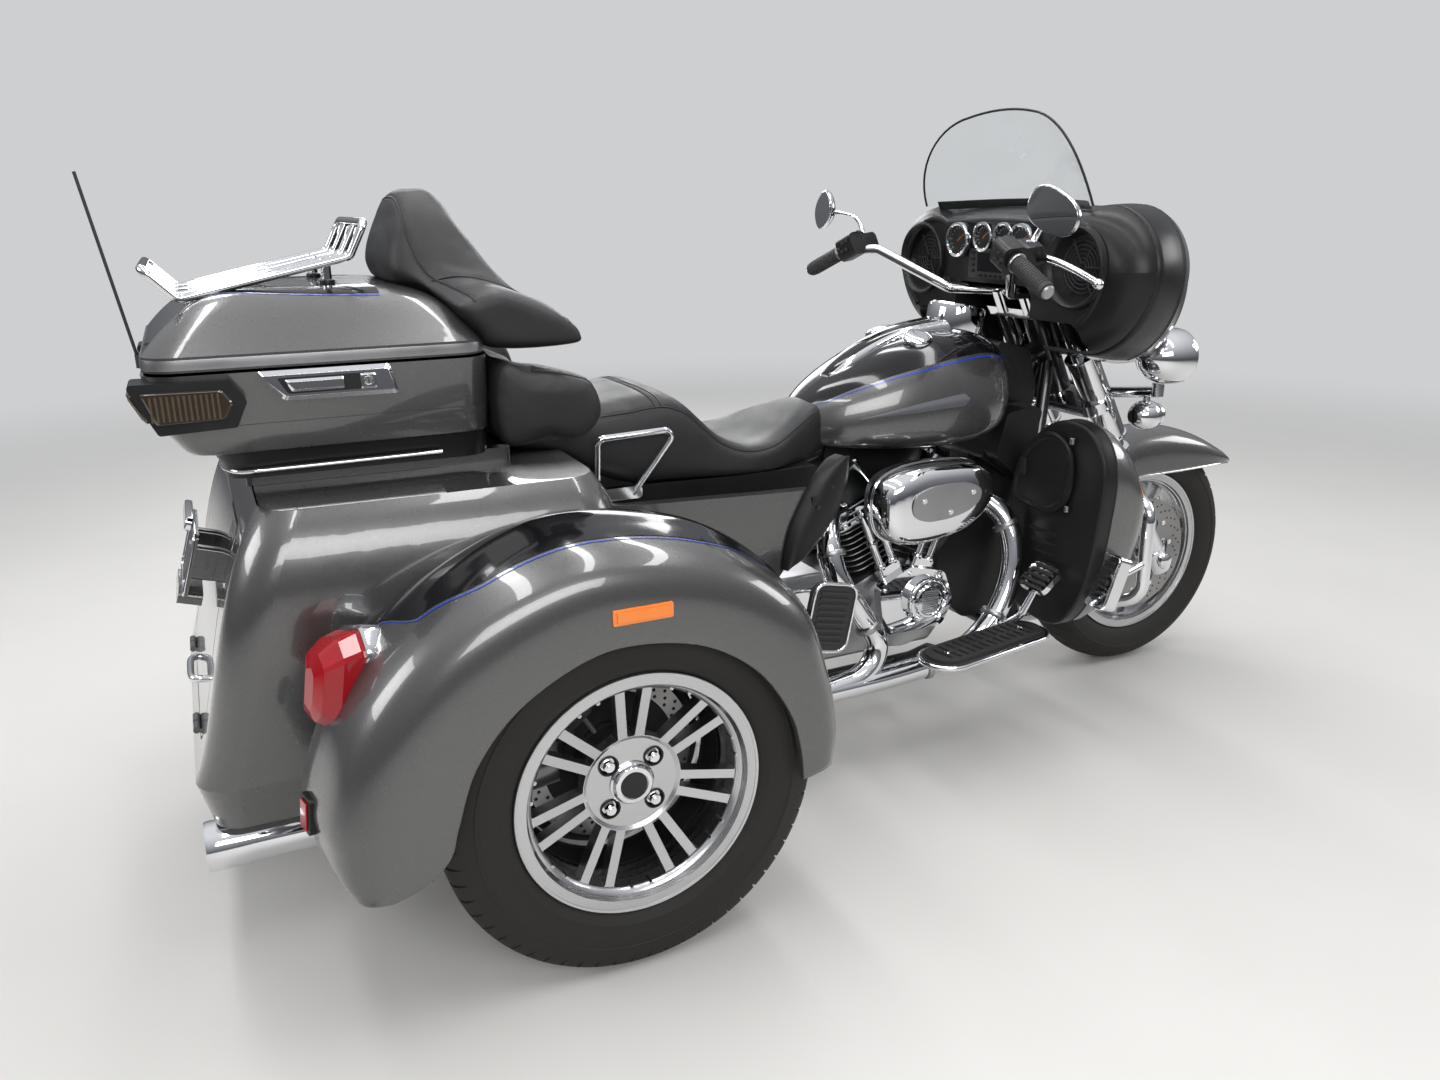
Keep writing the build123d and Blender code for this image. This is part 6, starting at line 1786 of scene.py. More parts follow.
def plan_ring(name, levels, finish_name):
    """Closed ring round the top box's plan through levels of height, rear x and half width."""
    loops = []
    for z, rear, half in levels:
        outline = box_outline(-104 - rear, 2 * half, 50)
        loops.append([(x + (rear - 104) / 2, y, z) for x, y in outline])
    rows = [list(row) for row in zip(*loops)]
    return grid_mesh(name, [[*rows, rows[0]]], finish_name, closed_v=True, angle=30)


class TRIKE_OT_top_box(bpy.types.Operator):
    """Trim of the top box: rim band, sides, skirt, rails, latch, corner lamps, inlays and rack"""

    bl_idname = "trike.top_box"
    bl_label = "Top box"

    def execute(self, context):
        lid_plan = [(x - 367, y) for x, y in box_outline(514, 586, 50)]
        band = ring_band("lid_band", lid_plan, 990.5, 1006, "satin_metal", 0.9, 3.0)
        settle(band, "box_lid")
        side_levels = (
            (899.6, -607.6, 277.4), (884, -600, 275), (862, -586, 270), (855, -580, 266), (852.6, -574, 260),
            (852.6, -540, 232),
        )
        settle(plan_ring("tub_sides", side_levels, "paint_grey"), "chassis")
        skirt_levels = (
            (806, -529, 236), (830, -534, 239), (853, -548, 248), (853, -530, 230), (806, -515, 222)
        )
        settle(plan_ring("tub_skirt", skirt_levels, "satin_black"), "chassis")
        rails = []
        for flip in (-1, 1):
            rails.append([
                (-532, flip * 150, 818), (-528, flip * 196, 818), (-505, flip * 236, 818),
                (-440, flip * 244, 819), (-300, flip * 245, 820), (-190, flip * 245, 821),
            ])
        settle(bar("tub_rails", rails, 4.2, "chrome", 6, 12), "chassis")
        self.make_latch()
        self.make_lamps()
        self.make_inlays()
        self.make_rack()
        return {"FINISHED"}

    def make_latch(self):
        """Bright latch on the right side: frame, a recess of near-black painted shade, handle and key lock.
        """
        out, centre = (0, -1, 0.06), (-365, -299.5, 959)
        frame_outline = rounded(((-104, 24), (-68, -23), (104, -24), (94, 24)), 6)
        levels = [(frame_outline, 0), (frame_outline, 2), (scaled(frame_outline, 0.95, 0.7), 7.5)]
        settle(stacks("latch_frame", [(levels, centre, out, UP)], "chrome", edge=0.7), "chassis")
        # The recess behind the handle is a thin near-black plate of painted shade
        recess = rounded(((-76, 13), (-62, -12), (58, -12), (54, 13)), 4)
        spot = (centre[0], centre[1] - 7.2, centre[2])
        settle(plates("latch_recess", [(recess, 0.9, spot, out, UP)], "dark_inside", 0.2), "chassis")
        grip = rounded(((-66, 10), (-56, -9), (22, -9), (22, 10)), 3)
        handle = [([(grip, 0), (grip, 2), (scaled(grip, 0.94, 0.6), 5.5)], spot, out, UP)]
        square = box_outline(24, 24, 3)
        handle.append(([(square, 0), (square, 2), (scaled(square, 0.8), 4)], (-307, *spot[1:]), out, UP))
        settle(stacks("latch_handle", handle, "chrome", edge=0.5), "chassis")
        lock = ((4.0, 0.01), (4.0, 7.5), (6.5, 8), (7.2, 6.5), (6.2, 5), (6.2, 0.01))
        spot = Vector((-307, centre[1] - 7.0, 959))
        settle(turned("latch_lock", lock, spot, out, "steel", 32), "chassis")
        # The key slot is a thin near-black plate of painted shade
        slot = [(box_outline(1.6, 6, 0.5), 0.6, spot + Vector(out) * 6.0, out, UP)]
        settle(plates("latch_key_slot", slot, "dark_inside", 0.1), "chassis")

    def make_lamps(self):
        """Ribbed smoked lenses let into the dark corner pieces, on the side and round the back; the ribs are
        lighter than the lens as a painted highlight.
        """
        lenses, ribs = [], []
        for flip in (-1, 1):
            side_outline = [(-61, 25), (50, 23), (64, 2), (52, -22), (-44, -24)]
            if flip > 0:
                side_outline = [(-x, y) for x, y in reversed(side_outline)]
            centre = Vector((-569, flip * 306, 938))
            lenses.append(([
                (rounded(side_outline, 6), -8), (rounded(side_outline, 6), 3),
                (rounded(scaled(side_outline, 0.94), 6), 6),
            ], centre, (0, flip, 0), UP))
            for k in range(13):
                spot = centre + Vector((-48 + 7.6 * k, flip * 5.6, 0))
                ribs.append(place_at(spot, (0, flip, 0), UP))
            back = Vector((-0.9, 0, -0.42)).normalized()
            middle = Vector((-633, flip * 268, 940))
            levels = [(box_outline(54, 52, 8), -4), (box_outline(54, 52, 8), 3), (box_outline(50, 48, 8), 5)]
            lenses.append((levels, middle, back, UP))
            for k in range(6):
                spot = middle + Vector((0, -19 + 7.6 * k, 0)) + back * 4.6
                ribs.append(place_at(spot, back, UP))
        settle(stacks("box_lamp_lenses", lenses, "smoke_lens", edge=0.8), "chassis")
        # The ribs' lighter colour is a painted highlight on the smoked lens
        rib = shape_of(((box_outline(3.2, 38, 1.4), 0, 1.1), (box_outline(1.6, 36, 0.7), 1.1, 1.8)))
        settle(repeat("box_lamp_ribs", rib, ribs, "smoke_rib"), "chassis")

    def make_inlays(self):
        """Gloss black wedges on the lid below the rack, each with a pinstripe outside it."""
        inlays, lines = [], []
        for flip in (-1, 1):
            outer = [
                (-556, flip * 118, 1300), (-480, flip * 168, 1300), (-380, flip * 192, 1300),
                (-262, flip * 204, 1300)
            ]
            inner = [
                (-556, flip * 108, 1300), (-480, flip * 104, 1300), (-380, flip * 112, 1300),
                (-262, flip * 148, 1300)
            ]
            inlays.append(drape(["box_lid"], fan_rows(inner, outer, 14, 8), (0, 0, -1), 0.7))
            edge = [(x, y + flip * 5, z) for x, y, z in outer]
            far = [(x, y + flip * 8, z) for x, y, z in outer]
            lines.append(drape(["box_lid"], fan_rows(edge, far, 14, 1), (0, 0, -1), 0.8))
        settle(grid_mesh("lid_inlays", inlays, "paint_black", angle=60), "box_lid")
        settle(grid_mesh("lid_pinstripes", lines, "pinstripe", angle=60), "box_lid")

    def make_rack(self):
        """Rings on the rack's posts, and its three bright bars."""
        rings = []
        for x, z in ((-520, 1088), (-330, 1129)):
            for y in (-105, 105):
                centre = Vector((x, y, z - 34))
                rings.append(lathe(((-3, 8), (-3, 12), (3, 13), (8, 12), (10, 8.2), (-3, 8)), centre, UP, 32))
        settle(grid_mesh("rack_rings", rings, "satin_black"), "box_lid")
        bars = []
        for y in (-104, 0, 104):
            bars.append([(-592, y, 1118), (-560, y, 1090), (-430, y, 1113), (-300, y, 1141), (-272, y, 1186)])
        settle(bar("rack_bars", bars, 4.2, "chrome", 5, 12), "box_lid")


class TRIKE_OT_rear_lamps(bpy.types.Operator):
    """Tail lamps in their bright housings, and the fittings of the rear door"""

    bl_idname = "trike.rear_lamps"
    bl_label = "Rear lamps"

    def execute(self, context):
        outline = ((-40, -64), (20, -76), (50, -50), (52, 50), (24, 78), (-38, 62))
        bases, lenses = [], []
        for flip in (-1, 1):
            shape = [(x * -flip, y) for x, y in outline]
            if flip > 0:
                shape.reverse()
            point, normal = (-358, flip * 496, 546), (-0.94, flip * 0.30, 0.16)
            soft = rounded(shape, 10, 4)
            bases.append(([
                (scaled(soft, 0.9), -26), (scaled(soft, 1.04), 0), (scaled(soft, 1.1), 38),
                (scaled(soft, 1.1), 48), (scaled(soft, 1.05), 52), (scaled(soft, 0.96), 52.5),
            ], point, normal, UP))
            cut = rounded(shape, 5, 1)
            lenses.append(([
                (scaled(cut, 0.98), 46), (scaled(cut, 1.0), 58), (scaled(cut, 0.96, 0.9, (2, -2)), 84),
                (scaled(cut, 0.7, 0.68, (3, -6)), 108), (scaled(cut, 0.3, 0.42, (3, -8)), 114),
            ], point, normal, UP))
        settle(stacks("tail_lamp_bases", bases, "chrome", 40), "chassis", ["tail_lamps"])
        # The tail lamp lenses' red finish carries a faint painted glow
        settle(stacks("tail_lamp_lenses", lenses, "red_lens", 12, 0.7), "chassis")
        self.make_door_fittings()
        return {"FINISHED"}

    def make_door_fittings(self):
        """Bare plate blank with bright frame and bolts, lamp bar over it, and the door's handle."""
        slope = Vector((-0.955, 0, 0.297))
        centre = Vector((-604, 0, 632))
        blank = [(box_outline(196, 108, 8), 1.6, centre + slope * 0.6, slope, UP)]
        settle(plates("plate_blank", blank, "satin_black", 0.4), "boot_door")
        ring = [Vector((x, y, 0)) for x, y in box_outline(196, 108, 10)]
        basis = place_at(centre + slope * 2.4, slope)
        loop = [(basis @ (point / 1000) - mm(0, 0, 0)) * 1000 for point in ring]
        rows = hose_rows([*loop, loop[0]], 3.2, smooth=False, sides=10)
        settle(grid_mesh("plate_frame", [rows], "chrome", True, False, 60), "boot_door")
        spots = [
            ((basis @ Vector((x, y, 0.001)) - mm(0, 0, 0)) * 1000, slope)
            for x in (-0.072, 0.072) for y in (-0.036, 0.036)
        ]
        settle(bolts("plate_bolts", spots, 5, 4), "boot_door")
        lamp = [(box_outline(152, 24, 10), 13, centre + Vector((0.2, 0, 0.95)) * 68 + slope * 1, slope, UP)]
        settle(plates("plate_lamp", lamp, "chrome", 3.0), "boot_door")
        handle = [[(-606, -58, 408), (-630, -50, 410), (-634, 0, 410), (-630, 50, 410), (-606, 58, 408)]]
        settle(bar("door_handle", handle, 6.5, "chrome", 6, 12), "boot_door")


# Fairing

FAIRING_HALF = 430
FAIRING_MIDDLE_Z, FAIRING_SHOULDER_Z = 1040, 1078


def arc_points(start, middle, end, count):
    """Points on the circle through three (y, z) points, from the first to the last."""
    (ax, ay), (bx, by), (cx, cy) = start, middle, end
    d = 2 * (ax * (by - cy) + bx * (cy - ay) + cx * (ay - by))
    a2, b2, c2 = ax * ax + ay * ay, bx * bx + by * by, cx * cx + cy * cy
    ox = (a2 * (by - cy) + b2 * (cy - ay) + c2 * (ay - by)) / d
    oy = (a2 * (cx - bx) + b2 * (ax - cx) + c2 * (bx - ax)) / d
    first, mid, last = (atan2(y - oy, x - ox) for x, y in (start, middle, end))
    radius = hypot(ax - ox, ay - oy)
    sweep = (last - first) % (2 * pi)
    if (mid - first) % (2 * pi) > sweep:
        sweep -= 2 * pi
    return [
        (ox + radius * cos(first + sweep * k / count), oy + radius * sin(first + sweep * k / count))
        for k in range(count + 1)
    ]


def fairing_edge(half, top, bottom, count):
    """Right half of the fairing's outline across the vehicle, from low down up to the middle."""
    shoulder = FAIRING_SHOULDER_Z
    points = arc_points(
        (-0.5 * half, bottom), (-0.9 * half, bottom + 0.42 * (shoulder - bottom)), (-half, shoulder), count
    )
    points += arc_points(
        (-half, shoulder), (-0.9 * half, top - 0.3 * (top - shoulder)), (-0.52 * half, top - 8), count
    )[1:]
    points += arc_points((-0.52 * half, top - 8), (0, top), (0.52 * half, top - 8), count)[1:count // 2 + 1]
    return points


def both_halves(points):
    """A half outline that ends in the middle, and its mirror."""
    return points + [(-y, z) for y, z in reversed(points[:-1])]


class TRIKE_OT_fairing(bpy.types.Operator):
    """Dark inner fairing with speakers, instruments and radio, its wrap, and the screen's trim"""

    bl_idname = "trike.fairing"
    bl_label = "Fairing"

    def execute(self, context):
        self.make_wrap()
        self.make_speakers()
        self.make_gauges()
        self.make_radio()
        self.make_screen_trim()
        return {"FINISHED"}

    def make_wrap(self):
        """Dark skin from the widest line of the fairing round to its seam, and a rolled brow."""
        rows = []
        for x in (1233, 1255, 1280, 1305, 1330, 1352):
            half = FAIRING_HALF - (x - 1232) * 0.28
            edge = both_halves(fairing_edge(half, 1208, 880, 14))
            rows.append([
                (x, y * (1 + 60 / FAIRING_HALF), FAIRING_MIDDLE_Z + (z - FAIRING_MIDDLE_Z) * 1.3)
                for y, z in edge[3:-3]
            ])
        wrapped = drape(["fairing_outer"], rows, lambda p: Vector((0, -p[1], FAIRING_MIDDLE_Z - p[2])), 0.9)
        wrap = wall(grid_mesh("fairing_wrap", [wrapped], "satin_black", angle=60), 1.4, 0.0)
        settle(wrap, "front_end")
        seam = hose_rows(wrapped[-1], 1.8, 1, 8, False)
        settle(grid_mesh("fairing_seam", [seam], "rubber", True, True, 60), "front_end")
        edge = [(1170, y, z) for y, z in both_halves(fairing_edge(350, 1176, 930, 12)) if z > 967]
        brow = hose_rows(edge, 9.0, 1, 12, False)
        settle(grid_mesh("fairing_brow", [brow], "satin_black", True, True, 60), "front_end")

    def make_speakers(self):
        """Round speaker bowls with their grilles, and near-black backs: the cones' own black deepened with
        painted shade.
        """
        bowls, grilles, backs = [], [], []
        for flip in (-1, 1):
            centre = Vector((1190, flip * 272, 1084))
            bowl = (
                (0.5, 60), (2, 66), (8, 70), (22, 73), (34, 78), (38, 83), (36, 87), (24.5, 89), (24.5, 73.5),
                (0.5, 73), (0.5, 60)
            )
            bowls.append(lathe(bowl, centre, (-1, 0, 0), 72))
            backs.append(lathe(((0, 0.01), (0, 73), (1.6, 73), (1.6, 0.01)), centre, (-1, 0, 0), 48))
            for radius in (10, 19, 28, 37, 46, 55):
                ring = [(1.5 * sin(pi * k / 4), radius + 1.5 * cos(pi * k / 4)) for k in range(9)]
                grilles.append(lathe(ring, centre + Vector((-8, 0, 0)), (-1, 0, 0), 48))
            for k in range(6):
                angle = k * pi / 3
                start = centre + Vector((-8, 10 * cos(angle), 10 * sin(angle)))
                end = centre + Vector((-8, 66 * cos(angle), 66 * sin(angle)))
                grilles.append(hose_rows([start, end], 1.7, 1, 8, False))
        settle(grid_mesh("speaker_bowls", bowls, "satin_black"), "front_end")
        # The backs behind the grilles are near-black: the cones' own black with painted shade
        settle(grid_mesh("speaker_backs", backs, "dark_inside"), "front_end")
        settle(grid_mesh("speaker_grilles", grilles, "plastic", closed_v=True, angle=60), "front_end")

    def make_gauges(self):
        """Four instruments in bright bezels: bare dials with ticks and a needle."""
        bezels, dials, glasses, ticks, needles = [], [], [], [], []
        face = Vector((-1, 0, 0))
        for y, z, radius, depth in (
            (-112, 1132, 40, 1149), (112, 1132, 40, 1149), (-37, 1140, 34, 1164), (37, 1140, 34, 1164)
        ):
            centre = Vector((depth, y, z))
            inner = radius - 7
            bezels.append(lathe(
                (
                    (-3, radius), (4, radius + 1.5), (9, radius), (10, radius - 4), (8, inner),
                    (-1, inner - 0.5), (-3, radius)
                ),
                centre, face, 56,
            ))
            dials.append(lathe(((-1.5, 0.01), (-1.5, inner), (0, inner), (0, 0.01)), centre, face, 40))
            glasses.append(
                lathe(((6.2, 0.01), (6.2, inner - 0.5), (7, inner - 0.5), (7.6, 0.01)), centre, face, 40)
            )
            for k in range(13):
                angle = radians(-40 + k * 260 / 12)
                spot = centre + Vector((-0.1, -cos(angle) * (inner - 5), sin(angle) * (inner - 5)))
                turn = place_at(spot, face) @ Matrix.Rotation(pi - angle, 4, "Z")
                ticks.append(turn)
            needles.append((rounded(((-5, -1.2), (inner - 8, -0.4), (inner - 8, 0.4), (-5, 1.2)), 0.3), 0.8,
                            centre + face * 1.2, face, (0.0, 0.6, 0.8)))
        settle(grid_mesh("gauge_bezels", bezels, "chrome", angle=40), "front_end")
        settle(grid_mesh("gauge_dials", dials, "dark_inside"), "front_end")
        tick = shape_of(((box_outline(5.5, 1.0, 0.2), 0, 0.4),))
        settle(repeat("gauge_ticks", tick, ticks, "dial_white"), "front_end")
        settle(plates("gauge_needles", needles, "amber_lens", 0.15), "front_end")
        settle(grid_mesh("gauge_glasses", glasses, "clear"), "front_end")

    def make_radio(self):
        """Bare radio panel with its screen, keys and two knobs."""
        face = (-1, 0, 0)
        panel = [(box_outline(158, 68, 9), 5, (1160.5, 0, 1080), face, UP)]
        settle(plates("radio_face", panel, "plastic", 1.5), "front_end")
        screen = [(box_outline(92, 44, 3), 1.2, (1155.5, 0, 1083), face, UP)]
        settle(plates("radio_screen", screen, "paint_black", 0.3), "front_end")
        keys = [place_at((1155.5, y, z), face) for y in (-64, 64) for z in (1062, 1076, 1090, 1104)]
        keys += [place_at((1155.5, y, 1052), face) for y in (-36, -18, 0, 18, 36)]
        key = shape_of(((box_outline(13, 7, 2), 0, 2.2), (box_outline(11, 5.4, 2), 2.2, 2.8)))
        settle(repeat("radio_keys", key, keys, "satin_black"), "front_end")
        toggles = [place_at((1165, y, 1030 + 0.02 * abs(y)), face) for y in (-176, -160, 160, 176)]
        toggle = shape_of(((box_outline(9, 16, 2), 0, 5), (box_outline(5, 11, 2), 5, 9)))
        settle(repeat("dash_switches", toggle, toggles, "rubber"), "front_end")

    def make_screen_trim(self):
        """Dark edge of the windscreen and the strip that holds it, with three bright screws."""
        lean, bend = radians(24), 650.0
        origin = Vector((1262 - bend * cos(lean), 1196 - bend * sin(lean)))

        def on_screen(y, z, out=-2.0):
            """Point of the bent sheet at a height, moved out from its middle."""
            turn = cos(asin(y / bend))
            reach = (bend + out) * turn
            rise = (z - origin.y - reach * sin(lean)) / cos(lean)
            return (origin.x - rise * sin(lean) + reach * cos(lean), y, z)

        edge = arc_points((-290, 1209), (-236, 1340), (-110, 1406), 14)
        edge += arc_points((-110, 1406), (0, 1416), (110, 1406), 12)[1:7]
        loop = [on_screen(y, z) for y, z in both_halves(edge)]
        rows = hose_rows(loop, 2.7, 1, 8, False)
        settle(grid_mesh("screen_edge", [rows], "satin_black", True, True, 60), "front_end")
        strip = []
        section = ((-4, 2.5), (3, 5), (12, 4.5), (16, 1.5), (14, 0.4), (-4, 0.4))
        for k in range(41):
            y = -262 + 524 * k / 40
            low = 1204 + 6 * cos(y / 262 * pi / 2)
            strip.append([on_screen(y, low + rise, out) for rise, out in section])
        settle(grid_mesh("screen_strip", [strip], "satin_black", True, True, 50), "front_end")
        spots = []
        for y in (-170, 0, 170):
            x, _, z = on_screen(y, 1212, 5.5)
            spots.append(((x, y, z), (0.9, y / bend, 0.4)))
        settle(bolts("screen_screws", spots, 6, 4, "chrome", 16), "front_end")


class TRIKE_OT_front_lamps(bpy.types.Operator):
    """Headlamp, spot lamps and turn signals with bowls and lenses"""

    bl_idname = "trike.front_lamps"
    bl_label = "Front lamps"

    def execute(self, context):
        ahead = (1, 0, 0)
        shells, bowls, glasses, bulbs = {}, [], [], []
        head = Vector((1436, 0, 948))
        shells["headlamp"] = [lathe(
            (
                (0, 0.01), (0, 78), (20, 84), (64, 90), (76, 91.5), (86, 88), (88, 82), (84, 77), (60, 76),
                (4, 40), (4, 0.01)
            ),
            head, ahead, 80,
        )]
        bowls.append(lathe(
            (
                (8, 0.01), (10, 16), (24, 46), (50, 68), (72, 75.5), (74, 75.5), (50, 69.5), (22, 48),
                (6, 18), (6, 0.01)
            ),
            head, ahead, 80
        ))
        glasses.append(lathe(
            (
                (80, 76.5), (90, 62), (98, 38), (102, 0.01), (99, 0.01), (95, 37), (87, 60), (78, 74),
                (80, 76.5)
            ),
            head, ahead, 64
        ))
        bulbs.append(lathe(((8, 0.01), (8, 11), (34, 13), (40, 9), (42, 0.01)), head, ahead, 24))
        shells["spot_lamps"] = []
        for flip in (-1, 1):
            spot = Vector((1430, flip * 228, 868))
            shell = (
                (0, 0.01), (1.5, 12), (9, 28), (24, 45), (46, 58), (72, 63.5), (84, 64), (100, 65.5),
                (110, 63), (112, 58), (108, 54), (80, 54), (30, 30), (30, 0.01),
            )
            shells["spot_lamps"].append(lathe(shell, spot, ahead, 64))
            bowls.append(lathe(
                (
                    (34, 0.01), (40, 20), (60, 40), (90, 52), (100, 53.5), (100, 52.5), (62, 38),
                    (42, 18), (37, 0.01)
                ),
                spot, ahead, 64
            ))
            glasses.append(lathe(
                (
                    (104, 54), (114, 44), (121, 24), (123, 0.01), (120, 0.01), (118, 23), (111, 42),
                    (102, 52), (104, 54)
                ),
                spot, ahead, 56
            ))
            bulbs.append(lathe(((34, 0.01), (34, 7), (56, 8), (60, 5), (61, 0.01)), spot, ahead, 20))
        for node, grids in shells.items():
            settle(grid_mesh(node + "_shell", grids, "chrome", angle=40), "front_end", [node])
        settle(grid_mesh("lamp_bowls", bowls, "mirror_glass", angle=60), "front_end")
        settle(grid_mesh("lamp_glasses", glasses, "lamp_glass", angle=60), "front_end")
        settle(grid_mesh("lamp_bulbs", bulbs, "dial_white", angle=60), "front_end")
        signals, rings = [], []
        for flip in (-1, 1):
            spot = Vector((1512, flip * 208, 728))
            signals.append(
                lathe(((0, 0.01), (0, 21.5), (10, 21.5), (15, 18), (20, 10), (21.5, 0.01)), spot, ahead, 40)
            )
            rings.append(lathe(
                ((-6, 23), (-4, 26), (4, 26.4), (7, 24.5), (7, 21.8), (-6, 21.8), (-6, 23)), spot, ahead,
                48
            ))
        settle(grid_mesh("signal_lenses", signals, "amber_lens", angle=40), "front_end")
        settle(grid_mesh("signal_rings", rings, "chrome", angle=40), "front_end")
        return {"FINISHED"}


class TRIKE_OT_controls(bpy.types.Operator):
    """Ribbed grips, bright levers, switches and mirrors"""

    bl_idname = "trike.controls"
    bl_label = "Controls"

    def execute(self, context):
        grips, caps, levers, balls, switches, screws = [], [], [], [], [], []
        glasses, shells, stems, nuts = [], [], [], []
        for flip in (-1, 1):
            inner = Vector((957, flip * 322, 1104))
            outward = (Vector((936, flip * 440, 1055)) - inner).normalized()
            profile = [(12, 12.9), (12, 17)]
            for k in range(15):
                start = 16 + k * 7
                profile += [(start, 17.2), (start + 1, 18.6), (start + 4.6, 18.6), (start + 5.6, 17.2)]
            profile += [(124, 18), (132, 17), (134, 12.9), (12, 12.9)]
            grips.append(lathe(profile, inner, outward, 40))
            caps.append(lathe(
                ((130, 12.8), (133.5, 13), (137, 15), (140, 12), (141, 0.01), (130, 0.01)), inner,
                outward, 32
            ))
            caps.append(lathe(((2, 13), (2, 20), (9, 21.5), (12, 20), (12, 13), (2, 13)), inner, outward, 40))
            levers.append([
                (1018, flip * 286, 1112, 8.6), (1016, flip * 330, 1110, 8.4), (1012, flip * 380, 1104, 7.9),
                (1007, flip * 440, 1090, 7.7), (1002, flip * 496, 1073, 7.7),
                (1001.5, flip * 503, 1070.5, 7.9),
            ])
            ball = Vector((1001, flip * 507, 1069))
            turns = [-pi / 2 + pi * k / 12 for k in range(13)]
            balls.append(lathe([(10.5 * sin(a), max(10.5 * cos(a), 0.01)) for a in turns], ball, UP, 24))
            box = inner + outward * -30
            rear = Vector((-1, flip * 0.12, -0.1)).normalized()
            for step, rise in ((-16, 10), (-16, -10), (0, 10), (0, -10), (14, 0)):
                spot = box + outward * step + Vector((0, 0, rise)) + rear * 26.2
                switches.append(place_at(spot, rear))
            for step in (-20, 18):
                screws.append((box + outward * step + Vector((0, 0, 28.3)), UP))
            face = Vector((-1, flip * 0.2, -0.04)).normalized()
            outline = []
            for k in range(56):
                along, rise = cos(2 * pi * k / 56), sin(2 * pi * k / 56)
                along = 62 * abs(along) ** 0.8 * (1 if along > 0 else -1)
                rise = 41 * abs(rise) ** 0.8 * (1 if rise > 0 else -1) * (1 - 0.0016 * along)
                lean = radians(24)
                outline.append(
                    (-flip * (along * cos(lean) + rise * sin(lean)), rise * cos(lean) - along * sin(lean))
                )
            if flip > 0:
                outline.reverse()
            head = Vector((952, flip * 424, 1200))
            glasses.append((scaled(outline, 0.94), 1.0, head + face * 0.6, face, UP))
            back = [(-x, y) for x, y in reversed(outline)]
            shells.append(([
                (scaled(back, 0.96), -0.5), (back, 1), (back, 6), (scaled(back, 0.93), 12),
                (scaled(back, 0.76), 18), (scaled(back, 0.45), 22), (scaled(back, 0.15), 23.5),
            ], head, -face, UP))
            stems.append([
                (1002, flip * 314, 1134, 6.4), (1008, flip * 326, 1160, 5.8), (1004, flip * 352, 1184, 5.2),
                (986, flip * 388, 1194, 5.2), (966, flip * 414, 1198, 6.4),
            ])
            nut = ((-4, 0.01), (-4, 11), (6, 11), (9, 8), (9, 0.01))
            nuts.append(lathe(nut, (1002, flip * 314, 1136), UP, 24))
        settle(grid_mesh("ribbed_grips", grips, "rubber", angle=30), "front_end", ["grips"])
        settle(grid_mesh("grip_caps", caps, "satin_metal", angle=30), "front_end")
        settle(bar("levers", levers, 8, "chrome", 6, 16), "front_end")
        settle(grid_mesh("lever_balls", balls, "chrome", angle=60), "front_end")
        switch = shape_of(((box_outline(12, 8, 2.5), 0, 3.2), (box_outline(9, 5.5, 2), 3.2, 4.2)))
        settle(repeat("bar_switches", switch, switches, "rubber"), "front_end")
        settle(bolts("bar_screws", screws, 3.4, 3, "chrome", 12), "front_end")
        settle(stacks("mirror_shells", shells, "chrome", 50), "front_end", ["mirrors"])
        settle(plates("mirror_glasses", glasses, "mirror_glass", 0.3), "front_end")
        settle(bar("mirror_stems", stems, 5, "chrome", 6, 14), "front_end")
        settle(grid_mesh("mirror_nuts", nuts, "chrome", angle=30), "front_end")
        return {"FINISHED"}


# Lower fairings and their doors

SHIELD_OUTLINE = (
    (-150, 330), (-146, 460), (-154, 600), (-200, 700), (-282, 758), (-376, 752), (-428, 680), (-426, 560),
    (-398, 400), (-330, 296), (-228, 288),
)
POCKET_OUTLINE = ((-168, 578), (-200, 678), (-272, 724), (-332, 694), (-336, 606), (-288, 560), (-220, 560))
POCKET_MIDDLE = Vector((-262, 640))
# Distance forward, share of the width, top and bottom of the leg shield
SHIELD_STATIONS = (
    (1142, 0.955, 752, 290), (1144, 0.985, 759, 283), (1150, 1.0, 762, 280), (1180, 1.0, 761, 279),
    (1214, 0.985, 746, 281), (1240, 0.965, 718, 298), (1264, 0.94, 682, 326), (1284, 0.88, 640, 364),
    (1298, 0.79, 598, 402), (1306, 0.64, 560, 436), (1309, 0.4, 525, 468),
)
# Station at which the dark back meets the painted front, and the outline's bottom, height and middle
SHIELD_SPLIT_ROW = 3
SHIELD_LOW, SHIELD_TALL, SHIELD_MIDDLE_Y = 280, 482, -290


def polar_outline(keys, middle, count=88):
    """Smoothed closed outline as points at even angles about a middle."""
    loop = [point[:2] for point in through([(x, y, 0) for x, y in keys], 8, True)]
    loop = [Vector(point) for point in loop]
    result = []
    for k in range(count):
        ray = Vector((cos(2 * pi * k / count), sin(2 * pi * k / count)))
        best = None
        for start, end in zip(loop, loop[1:] + loop[:1]):
            across = end - start
            d = ray.x * across.y - ray.y * across.x
            if abs(d) < 1e-9:
                continue
            offset = start - middle
            reach = (offset.x * across.y - offset.y * across.x) / d
            share = (offset.x * ray.y - offset.y * ray.x) / d
            if reach > 0 and -1e-6 <= share <= 1 + 1e-6 and (best is None or reach < best):
                best = reach
        result.append(middle + ray * best)
    return result


def pocket_ring(outline, share, depth):
    """Ring of an outline's points at a depth, scaled about the middle of the glove pocket."""
    return [(depth, *(POCKET_MIDDLE + (point - POCKET_MIDDLE) * share)) for point in outline]


